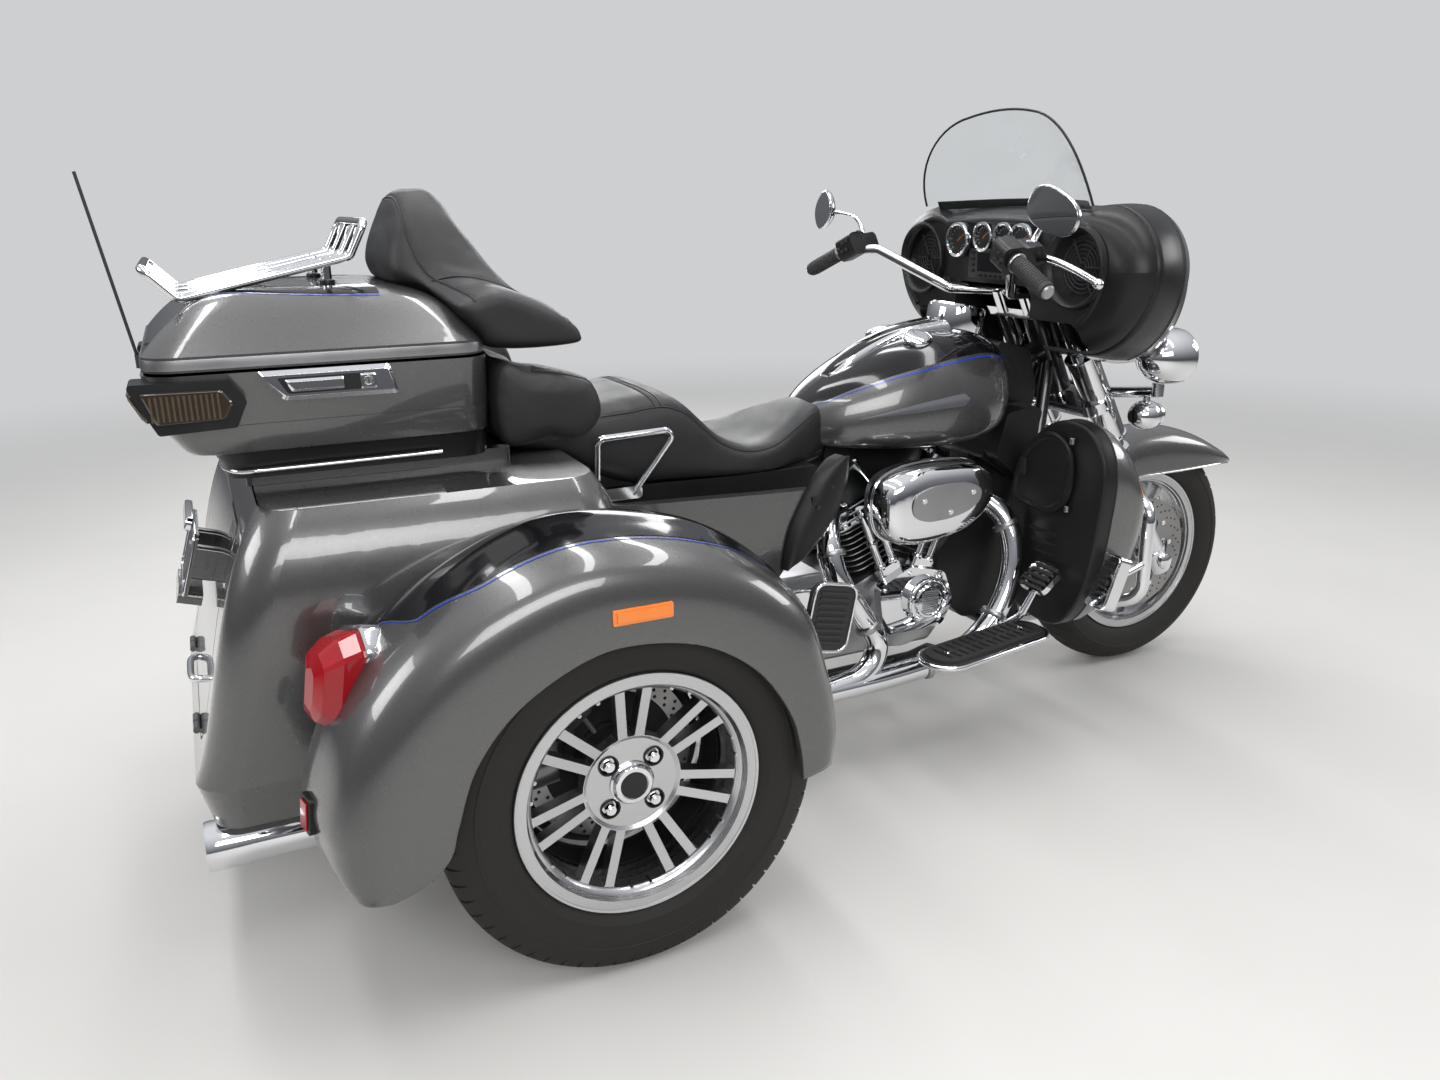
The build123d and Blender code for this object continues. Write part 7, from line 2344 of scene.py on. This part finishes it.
class TRIKE_OT_lower_fairings(bpy.types.Operator):
    """Leg shields, dark towards the rider and painted in front, and their glove doors"""

    bl_idname = "trike.lower_fairings"
    bl_label = "Lower fairings"

    def execute(self, context):
        outer = polar_outline(SHIELD_OUTLINE, POCKET_MIDDLE)
        pocket = polar_outline(POCKET_OUTLINE, POCKET_MIDDLE)
        levels = ((1224, 0.02), (1224, 0.5), (1224, 0.93), (1218, 0.98), (1146, 1.0), (1142, 1.03))
        rows = [pocket_ring(pocket, share, depth) for depth, share in levels]
        inside = len(rows)
        for x, share, top, low in SHIELD_STATIONS:
            row = []
            for point in outer:
                rise = (point.y - SHIELD_LOW) / SHIELD_TALL
                y = SHIELD_MIDDLE_Y + (point.x - SHIELD_MIDDLE_Y) * share
                row.append((x, y, low + rise * (top - low)))
            rows.append(row)
        dark, bright = rows[:inside + SHIELD_SPLIT_ROW + 1], rows[inside + SHIELD_SPLIT_ROW:]
        front = Skin(bright, 4, 1, closed_v=True).rows
        back = dark[:inside] + Skin(dark[inside:], 3, 1, closed_v=True).rows
        piece = grid_mesh("shield_backs", both_sides(back), "satin_black", closed_v=True, angle=40)
        settle(piece, "chassis", ["lower_fairings"])
        settle(
            grid_mesh("shield_fronts", both_sides(front), "paint_grey", closed_v=True, angle=60), "chassis"
        )
        seams = []
        for flip in (1, -1):
            loop = flipped([front[0]], flip)[0]
            seams.append(hose_rows([*loop, loop[0]], 1.6, 1, 6, False))
        settle(grid_mesh("shield_seams", seams, "rubber", True, False, 60), "chassis")
        self.make_doors(pocket)
        self.make_hinges()
        return {"FINISHED"}

    def make_doors(self, pocket):
        """Glove doors: a dished lid with a raised rim and a latch."""
        levels = (
            (1138, 0.0), (1138, 6), (1135, 9.5), (1131, 9), (1128.6, 5), (1128.6, -4), (1131.5, -8),
            (1131.5, -40),
        )
        rays = [point - POCKET_MIDDLE for point in pocket]
        rows = [pocket_ring(pocket, 0.02, 1138)]
        for depth, grow in levels:
            rows.append([(depth, *(POCKET_MIDDLE + ray * (1 + grow / ray.length))) for ray in rays])
        rows.append(pocket_ring(pocket, 0.02, 1131.5))
        for side, flip in (("right", 1), ("left", -1)):
            body = "glove_door_" + side
            panel = [flipped(rows, flip)]
            piece = grid_mesh(body + "_panel", panel, "satin_black", closed_v=True, caps=True, angle=28)
            settle(piece, body, [body])
            latch = [(
                rounded(((-9, -20), (9, -20), (7, 20), (-7, 20)), 4), 6, (1132, -flip * 196, 640),
                (-1, 0, 0), UP
            )]
            settle(plates(body + "_latch", latch, "plastic", 1.4), body)

    def make_hinges(self):
        """Knuckles of the doors' hinges, and vent slots drawn as thin near-black plates of painted shade."""
        knuckles, vents = [], []
        for flip in (1, -1):
            for z in (572, 724):
                profile = ((-7, 0.01), (-7, 5), (-6, 6), (6, 6), (7, 5), (7, 0.01))
                knuckles.append(lathe(profile, (1132.5, -flip * 340, z), UP, 24))
            for k in range(5):
                vents.append((
                    box_outline(92 - 9 * k, 9, 4), 1.4, (1141.4, -flip * (262 + 5 * k), 500 - 24 * k),
                    (-1, 0, 0), UP
                ))
        settle(grid_mesh("door_knuckles", knuckles, "steel"), "chassis")
        # The vent slots are thin near-black plates of painted shade
        settle(plates("shield_vents", vents, "dark_inside", 0.5), "chassis")


# Engine


# Crankshaft's x and z, the cylinders' leans, and how far up them the barrels and heads begin
CRANK_X, CRANK_Z = 866, 308
LEANS = (22.5, -22.5)
BARREL_LOW, HEAD_LOW = 112, 236


def crank_point(lean, distance, across, y):
    """Point at a distance up a cylinder's axis, moved across it and sideways."""
    slope = radians(lean)
    x = CRANK_X - sin(slope) * distance + cos(slope) * across
    return Vector((x, y, CRANK_Z + cos(slope) * distance + sin(slope) * across))


class TRIKE_OT_engine(bpy.types.Operator):
    """Air cleaner, cam cover lid, bright fin edges, bolts, exhaust pipes and covers"""

    bl_idname = "trike.engine"
    bl_label = "Engine"

    def execute(self, context):
        self.make_air_cleaner()
        self.make_fins()
        self.make_bolts()
        self.make_exhaust()
        return {"FINISHED"}

    def make_air_cleaner(self):
        """Teardrop cover over a dark back plate, with a bare insert and its screws."""
        keys = (
            (714, 590), (728, 648), (790, 676), (880, 682), (962, 674), (1010, 636), (1004, 578), (950, 532),
            (870, 510), (780, 508), (728, 536)
        )
        middle = Vector((866, 596))
        loop = polar_outline(keys, middle, 72)

        def rings(*levels):
            """Rings of the outline at levels of (distance aside, share of its size)."""
            return [[
                (middle.x + (p.x - middle.x) * share, y, middle.y + (p.y - middle.y) * share) for p in loop
            ] for y, share in levels]

        cover = rings(
            (-182, 0.02), (-182, 0.9), (-186, 0.985), (-196, 1.0), (-222, 0.995), (-238, 0.965), (-249, 0.91),
            (-256, 0.82), (-260, 0.68), (-262.5, 0.46), (-263.5, 0.2), (-263.6, 0.02),
        )
        piece = grid_mesh("air_cover", [cover], "chrome", closed_v=True, caps=True, angle=50)
        settle(piece, "chassis", ["air_cleaner"])
        back = rings((-146, 0.02), (-146, 0.86), (-150, 0.9), (-186, 0.93), (-186, 0.02))
        settle(
            grid_mesh("air_back_plate", [back], "engine_black", closed_v=True, caps=True, angle=40), "chassis"
        )
        band = rings((-190, 1.004), (-190, 1.02), (-195, 1.025), (-200, 1.02), (-200, 1.004), (-190, 1.004))
        settle(grid_mesh("air_band", [band], "chrome", closed_v=True, angle=40), "chassis")
        insert = rounded([((x - 870) * 0.62, (z - 600) * 0.46) for x, z in keys], 22, 4)
        insert.reverse()
        settle(
            plates("air_insert", [(insert, 3.2, (872, -262.2, 606), (0, -1, 0), UP)], "satin_metal", 1.2),
            "chassis"
        )
        spots = [((872 + x, -265, 606 + z), (0, -1, 0)) for x, z in ((-66, 6), (62, 12), (4, -26))]
        settle(bolts("air_screws", spots, 4.5, 4, "chrome", 20), "chassis")
        neck = [[(858, -150, 590), (858, -96, 590)]]
        settle(bar("air_neck", neck, 38, "engine_black", 1, 32, False), "chassis")

    def make_fins(self):
        """Bright edge on every fin of both cylinders and heads."""
        edges = []
        pitch = (HEAD_LOW - BARREL_LOW - 8) / 8
        for lean in LEANS:
            for fin in range(8):
                plan = rounded([(-71, -75), (71, -75), (71, 75), (-71, 75)], 46, 6)
                loop = [crank_point(lean, BARREL_LOW + 12 + fin * pitch, u, v) for u, v in plan]
                edges.append(hose_rows([*loop, loop[0]], 1.5, 1, 6, False))
            for fin in range(4):
                plan = rounded([(-79, -85), (79, -85), (79, 85), (-79, 85)], 30, 5)
                loop = [crank_point(lean, HEAD_LOW + 6.5 + fin * 14, u, v) for u, v in plan]
                edges.append(hose_rows([*loop, loop[0]], 2.0, 1, 6, False))
        settle(grid_mesh("fin_edges", edges, "satin_metal", True, False, 60), "chassis")

    def make_bolts(self):
        """Bolts of the covers and cases, the cam and primary lids, and the pushrod tubes' collars."""
        big, small = [], []
        for lean in LEANS:
            slope = radians(lean)
            up = Vector((-sin(slope), 0, cos(slope)))
            for u in (-40, 40):
                for v in (-56, 56):
                    big.append((crank_point(lean, 366, u, v), up))
            for shift in (-17, 17):
                for distance in (130, 276):
                    small.append((crank_point(lean, distance, shift, -126), (0, -1, 0)))
        for x, z in ((822, 276), (950, 278), (972, 322), (950, 384), (866, 404), (800, 372)):
            small.append((Vector((x, -144, z)), (0, -1, 0)))
        for k in range(5):
            angle = 2 * pi * k / 5 + 0.3
            small.append((Vector((908 + 47 * cos(angle), -163.6, 336 + 47 * sin(angle))), (0, -1, 0)))
        for x, z in (
            (548, 236), (640, 232), (740, 230), (840, 230), (930, 250), (958, 310), (920, 380), (820, 408),
            (700, 414), (580, 424), (486, 350)
        ):
            small.append((Vector((x, 173.6, z)), (0, 1, 0)))
        for x, z in ((528, 262), (680, 262), (686, 382), (548, 388)):
            small.append((Vector((x, -131.6, z)), (0, -1, 0)))
        settle(bolts("rocker_bolts", big, 7, 8), "chassis")
        settle(bolts("cover_bolts", small, 4.6, 5, "chrome", 24), "chassis")
        centre = Vector((908, -163, 336))
        lid = ((-2, 0.01), (-2, 40), (3, 41), (6, 38), (6, 33), (3.5, 31), (3.5, 0.01))
        settle(turned("cam_lid", lid, centre, (0, -1, 0), "chrome", 64), "chassis")
        spots = []
        for k in range(11):
            height = -25 + k * 5
            spots.append(place_at((908, -166.2, 336 + height), (0, -1, 0)))
        rib = shape_of(((box_outline(44, 2.4, 1), 0, 2.2),))
        settle(repeat("cam_lid_ribs", rib, spots, "satin_metal"), "chassis")
        cover = Vector((730, 172, 318))
        derby = ((-2, 0.01), (-2, 70), (5, 71), (9, 66), (10, 40), (12, 0.01))
        settle(turned("primary_lid", derby, cover, (0, 1, 0), "chrome", 72), "chassis")
        collars = []
        collar = ((0, 9.6), (0, 12.5), (10, 12.5), (12, 11), (12, 9.6), (0, 9.6))
        for lean in LEANS:
            for shift in (-17, 17):
                for low in (126, 190, 262):
                    centre = crank_point(lean, low, shift, -116)
                    slope = radians(lean)
                    collars.append(lathe(collar, centre, (-sin(slope), 0, cos(slope)), 28))
        settle(grid_mesh("pushrod_collars", collars, "chrome", angle=40), "chassis")

    def make_exhaust(self):
        """Two smooth pipes, their shields' clamps, and a silencer with a hollow tip on each side."""
        front = (
            (1000, -96, 562), (1052, -122, 562), (1096, -170, 522), (1106, -204, 440), (1082, -219, 350),
            (1022, -227, 272), (930, -234, 226), (760, -239, 209), (560, -241, 205), (380, -246, 194),
            (220, -254, 178), (60, -280, 173), (-140, -300, 208),
        )
        rear = (
            (700, -94, 560), (656, -128, 562), (622, -178, 530), (628, -204, 456), (680, -211, 370),
            (726, -216, 300), (716, -224, 246), (664, -235, 216), (590, -240, 207),
        )
        crossover = (
            (420, -246, 196), (340, -210, 184), (274, -110, 179), (254, 20, 178), (228, 150, 177),
            (150, 240, 174), (40, 284, 176), (-140, 300, 208),
        )
        settle(bar("pipes", [front, rear, crossover], 26, "chrome", 7, 26), "chassis", ["exhaust"])
        silencer = (
            (-6, 0.01), (-6, 25), (4, 33), (20, 39.5), (60, 41), (440, 41), (446, 42.5), (506, 43),
            (511, 41.5), (509, 38.5), (440, 37), (430, 30), (430, 0.01),
        )
        ends = [lathe(silencer, (-130, flip * 300, 208), (-1, 0, 0), 56) for flip in (-1, 1)]
        settle(grid_mesh("silencers", ends, "chrome", angle=40), "chassis")
        clamps = []
        clamp = ((-7, 26.5), (-7, 29.5), (-5, 31), (5, 31), (7, 29.5), (7, 26.5), (-7, 26.5))
        for x, y, z, direction in (
            (1100, -184, 500, (0.25, -0.45, -0.86)), (1048, -224, 300, (-0.6, -0.06, -0.8)),
            (624, -190, 500, (0, -0.4, -0.9)), (706, -213.5, 330, (0.5, -0.05, -0.86)),
            (480, -243, 201, (-1, 0, -0.04)), (850, -237, 215, (-1, 0, -0.1)),
            (-116, -299, 206, (-1, -0.07, 0.1)), (-116, 299, 206, (-1, 0.07, 0.1)),
        ):
            clamps.append(lathe(clamp, (x, y, z), direction, 40))
        settle(grid_mesh("pipe_clamps", clamps, "satin_metal", angle=40), "chassis")


class TRIKE_OT_foot_pieces(bpy.types.Operator):
    """Footboards' rims and ribs, pedal pads, and the engine guard's peg plates"""

    bl_idname = "trike.foot_pieces"
    bl_label = "Foot pieces"

    def execute(self, context):
        rims, ribs, screws = [], [], []
        for flip in (-1, 1):
            turn = radians(-flip * 10)
            along, across = Vector((cos(turn), sin(turn), 0)), Vector((-sin(turn), cos(turn), 0))
            middle = Vector((928, flip * 342, 289))
            loop = []
            for k in range(48):
                angle = 2 * pi * k / 48
                reach = 122 if cos(angle) > 0 else -122
                loop.append(middle + along * (reach + 55 * cos(angle)) + across * 55 * sin(angle))
            rims.append(hose_rows([*loop, loop[0]], 6.2, 1, 10, False))
            for k in range(-6, 7):
                half = 34 if abs(k) < 6 else 22
                spot = middle + along * (k * 22) + Vector((0, 0, 13))
                for side in (-1, 1):
                    ribs.append(place_at(spot + across * side * half * 0.55, UP, along))
            for reach in (-118, 118):
                screws.append((middle + along * reach + Vector((0, 0, 13)), UP))
        settle(grid_mesh("board_rims", rims, "chrome", True, False, 60), "chassis")
        rib = shape_of(((box_outline(30, 7, 3), 0, 2.6), (box_outline(28, 5, 2.4), 2.6, 3.4)))
        settle(repeat("board_ribs", rib, ribs, "rubber"), "chassis")
        settle(bolts("board_screws", screws, 6, 3, "chrome", 20), "chassis")
        pads, pegs, slots = [], [], []
        slope = radians(40)
        along, lean = Vector((cos(slope), 0, sin(slope))), Vector((-sin(slope), 0, cos(slope)))
        for k in range(-2, 3):
            spot = Vector((1108, -306, 400)) + along * k * 14 + lean * 14
            pads.append((box_outline(66, 8, 3), 3, spot, lean, (0.77, 0, 0.64)))
        settle(plates("pedal_ribs", pads, "rubber", 0.8), "chassis")
        for flip in (-1, 1):
            normal = Vector((-0.94, 0, 0.34))
            spot = Vector((1190, flip * 424, 420)) + normal * 16
            pegs.append((box_outline(54, 116, 10), 2.5, spot, normal, UP))
            for k in range(-3, 4):
                point = spot + normal * 2.4 + Vector((0.34, 0, 0.94)) * k * 14
                slots.append((box_outline(34, 5, 2.4), 1.8, point, normal, UP))
        settle(plates("peg_plates", pegs, "chrome", 1.2), "chassis")
        settle(plates("peg_ribs", slots, "rubber", 0.5), "chassis")
        self.make_passenger_boards()
        return {"FINISHED"}

    def make_passenger_boards(self):
        """Ribs and bright rims of the passenger's folded boards."""
        rims, ribs = [], []
        for flip in (-1, 1):
            turn = Matrix.Rotation(radians(12), 4, "Y")
            centre = Vector((530, flip * 346.5, 424))
            plan = [turn @ Vector((x, 0, z)) for x, z in box_outline(98, 142, 27)]
            loop = [centre + point for point in plan]
            rims.append(hose_rows([*loop, loop[0]], 3.6, 1, 8, False))
            for k in range(-4, 5):
                spot = centre + turn @ Vector((0, 0, k * 13))
                ribs.append(place_at(spot, (0, flip, 0), turn @ Vector(UP)))
        settle(grid_mesh("passenger_rims", rims, "chrome", True, False, 60), "chassis")
        rib = shape_of(((box_outline(70, 6, 2.6), 0, 2.4),))
        settle(repeat("passenger_ribs", rib, ribs, "rubber"), "chassis")


# Dark panels: covers round the steering head, and dark sheets that fill the gaps ahead of the engine, between
# the cylinders and under the seat, standing for the dark parts there and painted shade: (x, z) outline, near
# and far distance aside
NECK_AND_SHADE_PANELS = (
    (((1128, 776), (1206, 752), (1212, 830), (1168, 880), (1122, 860)), 36, 56),
    (((1120, 700), (1250, 640), (1290, 780), (1262, 880), (1168, 905)), 0, 38),
    (((1094, 640), (1228, 560), (1272, 740), (1200, 768), (1120, 758)), 0, 88),
    (((1096, 652), (1196, 570), (1214, 730), (1180, 762), (1124, 752)), 84, 138),
    (
        (
            (1018, 300), (1110, 216), (1214, 216), (1246, 400), (1276, 570), (1096, 646), (1092, 480),
            (1022, 400)
        ),
        0, 34
    ),
    (((96, 652), (600, 640), (612, 690), (420, 688), (200, 694), (96, 742)), 0, 150),
    (((760, 616), (806, 556), (926, 556), (972, 700), (960, 722), (700, 712), (690, 640)), 0, 34),
)


class TRIKE_OT_fork_pieces(bpy.types.Operator):
    """Fork covers' rings, reflectors, dark calipers, the neck's covers, and dark sheets of painted shade in
    the gaps round the engine and under the seat
    """

    bl_idname = "trike.fork_pieces"
    bl_label = "Fork pieces"

    def execute(self, context):
        slope = radians(30)
        up = Vector((-sin(slope), 0, cos(slope)))
        rings, reflectors, frames, blocks, hexes = [], [], [], [], []
        for flip in (-1, 1):
            foot = Vector((1670, flip * 115, 314))
            for distance, radius in ((404, 38.5), (636, 38.5), (362, 31.5), (30, 31.5)):
                section = ((-4, -2), (-4, 0), (-2, 2), (2, 2), (4, 0), (4, -2), (-4, -2))
                ring = [(along, radius + rise) for along, rise in section]
                rings.append(lathe(ring, foot + up * distance, up, 48))
            spot = foot + up * 250 + Vector((0, flip * 30, 0))
            frames.append((box_outline(26, 62, 4), 3.5, spot, (0, flip, 0), up))
            reflectors.append(
                (box_outline(19, 55, 3), 2.4, spot + Vector((0, flip * 3.4, 0)), (0, flip, 0), up)
            )
            caliper = Vector((1574, flip * 94, 406))
            turn = (sin(radians(42)) * -1, 0, cos(radians(42)))
            blocks.append((box_outline(70, 108, 16), 7, caliper, (0, flip, 0), turn))
            for reach in (-26, 26):
                point = caliper + Vector(turn) * reach + Vector((0, flip * 7, 0))
                blocks.append((circle_outline(19, 32), 6, point, (0, flip, 0), turn))
                hexes.append((point + Vector((0, flip * 6, 0)), (0, flip, 0)))
        settle(grid_mesh("fork_rings", rings, "chrome", angle=40), "front_end")
        settle(plates("fork_reflector_frames", frames, "satin_black", 1.0), "front_end")
        settle(plates("fork_reflectors", reflectors, "amber_lens", 0.8), "front_end")
        settle(plates("caliper_faces", blocks, "engine_black", 2.0), "front_end")
        settle(bolts("caliper_bolts", hexes, 7, 5), "front_end")
        # Besides the neck's covers, the panels ahead of the engine, between the cylinders and under the seat
        # are dark sheets: the dark parts there and painted shade
        covers = []
        for flip in (-1, 1):
            for keys, near, far in NECK_AND_SHADE_PANELS:
                outline = [((x - 1168) * -flip, z - 700) for x, z in rounded(keys, 14)]
                covers.append((outline, far - near, (1168, flip * near, 700), (0, flip, 0), UP))
        settle(plates("neck_covers", covers, "satin_black", 2.5), "chassis")
        return {"FINISHED"}


# Boot's rear wall and deck

# Height, rear x and half the flat width of the boot's outer form, then its corner and the door's opening
BOOT_REAR = (
    (392, -622.4, 331), (420, -614.5, 339), (460, -604.7, 348), (500, -595.6, 357), (540, -586.6, 364),
    (580, -577.2, 368), (620, -566.8, 371), (660, -554.8, 371), (700, -540.3, 367), (740, -522.0, 356),
    (760, -510.8, 346), (785, -494.0, 330),
)
BOOT_CORNER = 62
DOOR_GAP_Y, DOOR_GAP_Z, DOOR_GAP_R = 290.5, 739.5, 45.5


def boot_rear(y, z, inset=0.0):
    """Point on the boot's rear face, or that far inside it."""
    for (z0, x0, flat0), (z1, x1, flat1) in zip(BOOT_REAR, BOOT_REAR[1:]):
        if z <= z1:
            break
    share = (z - z0) / (z1 - z0)
    over = max(abs(y) - (flat0 + (flat1 - flat0) * share), 0)
    turn = BOOT_CORNER - (BOOT_CORNER ** 2 - min(over, 60) ** 2) ** 0.5
    return (x0 + (x1 - x0) * share + turn + inset, y, z)


def boot_strip(y_low, y_high, z_low, z_high, steps=(12, 24)):
    """Closed rows of one strip of the rear wall, 3 mm thick."""
    rows = []
    for i in range(steps[1] + 1):
        z = z_low + (z_high - z_low) * i / steps[1]
        line = [y_low + (y_high - y_low) * k / steps[0] for k in range(steps[0] + 1)]
        rows.append([boot_rear(y, z) for y in line] + [boot_rear(y, z, 3) for y in reversed(line)])
    return rows


class TRIKE_OT_boot(bpy.types.Operator):
    """Boot's rear wall round the door, its deck under the box, and the door's rubber seal"""

    bl_idname = "trike.boot"
    bl_label = "Boot"

    def execute(self, context):
        grids = [
            boot_strip(-387, -DOOR_GAP_Y, 394, DOOR_GAP_Z), boot_strip(DOOR_GAP_Y, 387, 394, DOOR_GAP_Z),
            boot_strip(-387, 387, DOOR_GAP_Z, 784.6, (64, 8)),
        ]
        for flip in (-1, 1):
            rows = []
            for k in range(13):
                angle = pi / 24 * k
                reach = DOOR_GAP_R / max(cos(angle), sin(angle))
                spots = [
                    (
                        flip * (DOOR_GAP_Y - DOOR_GAP_R + far * cos(angle)),
                        DOOR_GAP_Z - DOOR_GAP_R + far * sin(angle)
                    )
                    for far in (DOOR_GAP_R, reach + 0.01)
                ]
                rows.append(
                    [boot_rear(*spot) for spot in spots] + [boot_rear(*spot, 3) for spot in reversed(spots)]
                )
            grids.append(rows)
        piece = grid_mesh("boot_rear_wall", grids, "paint_grey", closed_v=True, caps=True, angle=50)
        settle(piece, "chassis")
        rows = []
        for x in (-494, -490, -482, -470, -452, -432, -360, -280, -200, -140):
            half = 330 + (BOOT_CORNER ** 2 - max(-432 - x, 0) ** 2) ** 0.5 - 1.5
            line = [half * (k / 16 - 1) for k in range(33)]
            rows.append([(x, y, 784.6) for y in line] + [(x, y, 781) for y in reversed(line)])
        deck = grid_mesh("boot_deck", [rows], "paint_grey", closed_v=True, caps=True, angle=50)
        settle(deck, "chassis")
        # Seal in the gap round the door, on its inner side
        path = [(-287.8, 396), (-287.8, 560), (-287.8, 694)]
        path += [(-245 - 42.8 * cos(pi / 16 * k), 694 + 42.8 * sin(pi / 16 * k)) for k in range(1, 9)]
        path += [(-120, 736.8), (0, 736.8)]
        path += [(-y, z) for y, z in reversed(path[:-1])]
        seal = hose_rows([boot_rear(y, z, 7) for y, z in path], 2.1, 1, 8, False)
        settle(grid_mesh("boot_seal", [seal], "rubber", True, True, 60), "chassis")
        return {"FINISHED"}


# Air deflectors

# Rear and front edge of the leaf, (x, z) at stations from its lower tip up
LEAF_STATIONS = (
    ((478, 502), (488, 503)), ((484, 540), (530, 516)), ((497, 588), (568, 552)), ((522, 638), (601, 594)),
    ((552, 690), (625, 642)), ((580, 720), (634, 690)), ((604, 730), (632, 724)),
)


class TRIKE_OT_air_deflectors(bpy.types.Operator):
    """Crowned leaves ahead of the seat that turn the engine's heat away, with stays and screws"""

    bl_idname = "trike.air_deflectors"
    bl_label = "Air deflectors"

    def execute(self, context):
        grids, stays, screws = [], [], []
        for flip in (1, -1):
            rows = []
            for rear, front in LEAF_STATIONS:
                row = []
                for share, reach in (
                    (0, 233), (0.05, 238), (0.25, 249), (0.5, 253), (0.75, 249), (0.95, 238), (1, 233)
                ):
                    x = rear[0] + (front[0] - rear[0]) * share
                    z = rear[1] + (front[1] - rear[1]) * share
                    row.append((x, -flip * reach, z))
                rows.append(row)
            grids.append([
                line + [(x, y + flip * 5, z) for x, y, z in reversed(line)] for line in Skin(rows, 6, 4).rows
            ])
            stays.append((box_outline(40, 24, 6), 52, (560, -flip * 196, 640), (0, -flip, 0), UP))
            for x, z in ((552, 628), (584, 668)):
                screws.append(((x, -flip * 251.5, z), (0, -flip, 0)))
        piece = grid_mesh("deflector_leaves", grids, "satin_black", closed_v=True, caps=True, angle=50)
        settle(piece, "chassis", ["air_deflectors"])
        settle(plates("deflector_stays", stays, "satin_black", 1.5), "chassis")
        settle(bolts("deflector_screws", screws, 4.5, 3.5, "plastic", 16), "chassis")
        return {"FINISHED"}


class TRIKE_PT_panel(bpy.types.Panel):
    """Shows the trike's properties and lists its makers"""

    bl_label = "Touring trike"
    bl_idname = "TRIKE_PT_panel"
    bl_space_type = "VIEW_3D"
    bl_region_type = "UI"
    bl_category = "Trike"

    def draw(self, context):
        for name, group in PROPERTY_GROUPS.items():
            for label in group.__annotations__:
                self.layout.prop(getattr(context.scene, name), label)
        for maker in OPERATORS:
            self.layout.operator(maker.bl_idname)


OPERATORS = (
    TRIKE_OT_stage, TRIKE_OT_frame_finishes, TRIKE_OT_rear_fenders, TRIKE_OT_front_fender, TRIKE_OT_tank,
    TRIKE_OT_cushions, TRIKE_OT_wheels, TRIKE_OT_top_box, TRIKE_OT_rear_lamps, TRIKE_OT_fairing,
    TRIKE_OT_front_lamps, TRIKE_OT_controls, TRIKE_OT_lower_fairings, TRIKE_OT_engine,
    TRIKE_OT_foot_pieces, TRIKE_OT_fork_pieces, TRIKE_OT_boot, TRIKE_OT_air_deflectors,
)
PROPERTY_GROUPS = {
    "trike_paint": TRIKE_PG_paint, "trike_wheels": TRIKE_PG_wheels, "trike_trim": TRIKE_PG_trim,
}
CLASSES = (*PROPERTY_GROUPS.values(), *OPERATORS, TRIKE_PT_panel)


def register():
    """Make Blender know the add-on's classes."""
    for item in CLASSES:
        bpy.utils.register_class(item)
    for name, group in PROPERTY_GROUPS.items():
        setattr(bpy.types.Scene, name, PointerProperty(type=group))


def unregister():
    """Take the add-on's classes out again."""
    for name in PROPERTY_GROUPS:
        delattr(bpy.types.Scene, name)
    for item in reversed(CLASSES):
        bpy.utils.unregister_class(item)


def main():
    """Run every maker in order."""
    register()
    for maker in OPERATORS:
        group, name = maker.bl_idname.split(".")
        getattr(getattr(bpy.ops, group), name)()
    bpy.context.view_layer.update()


if __name__ == "__main__":
    main()
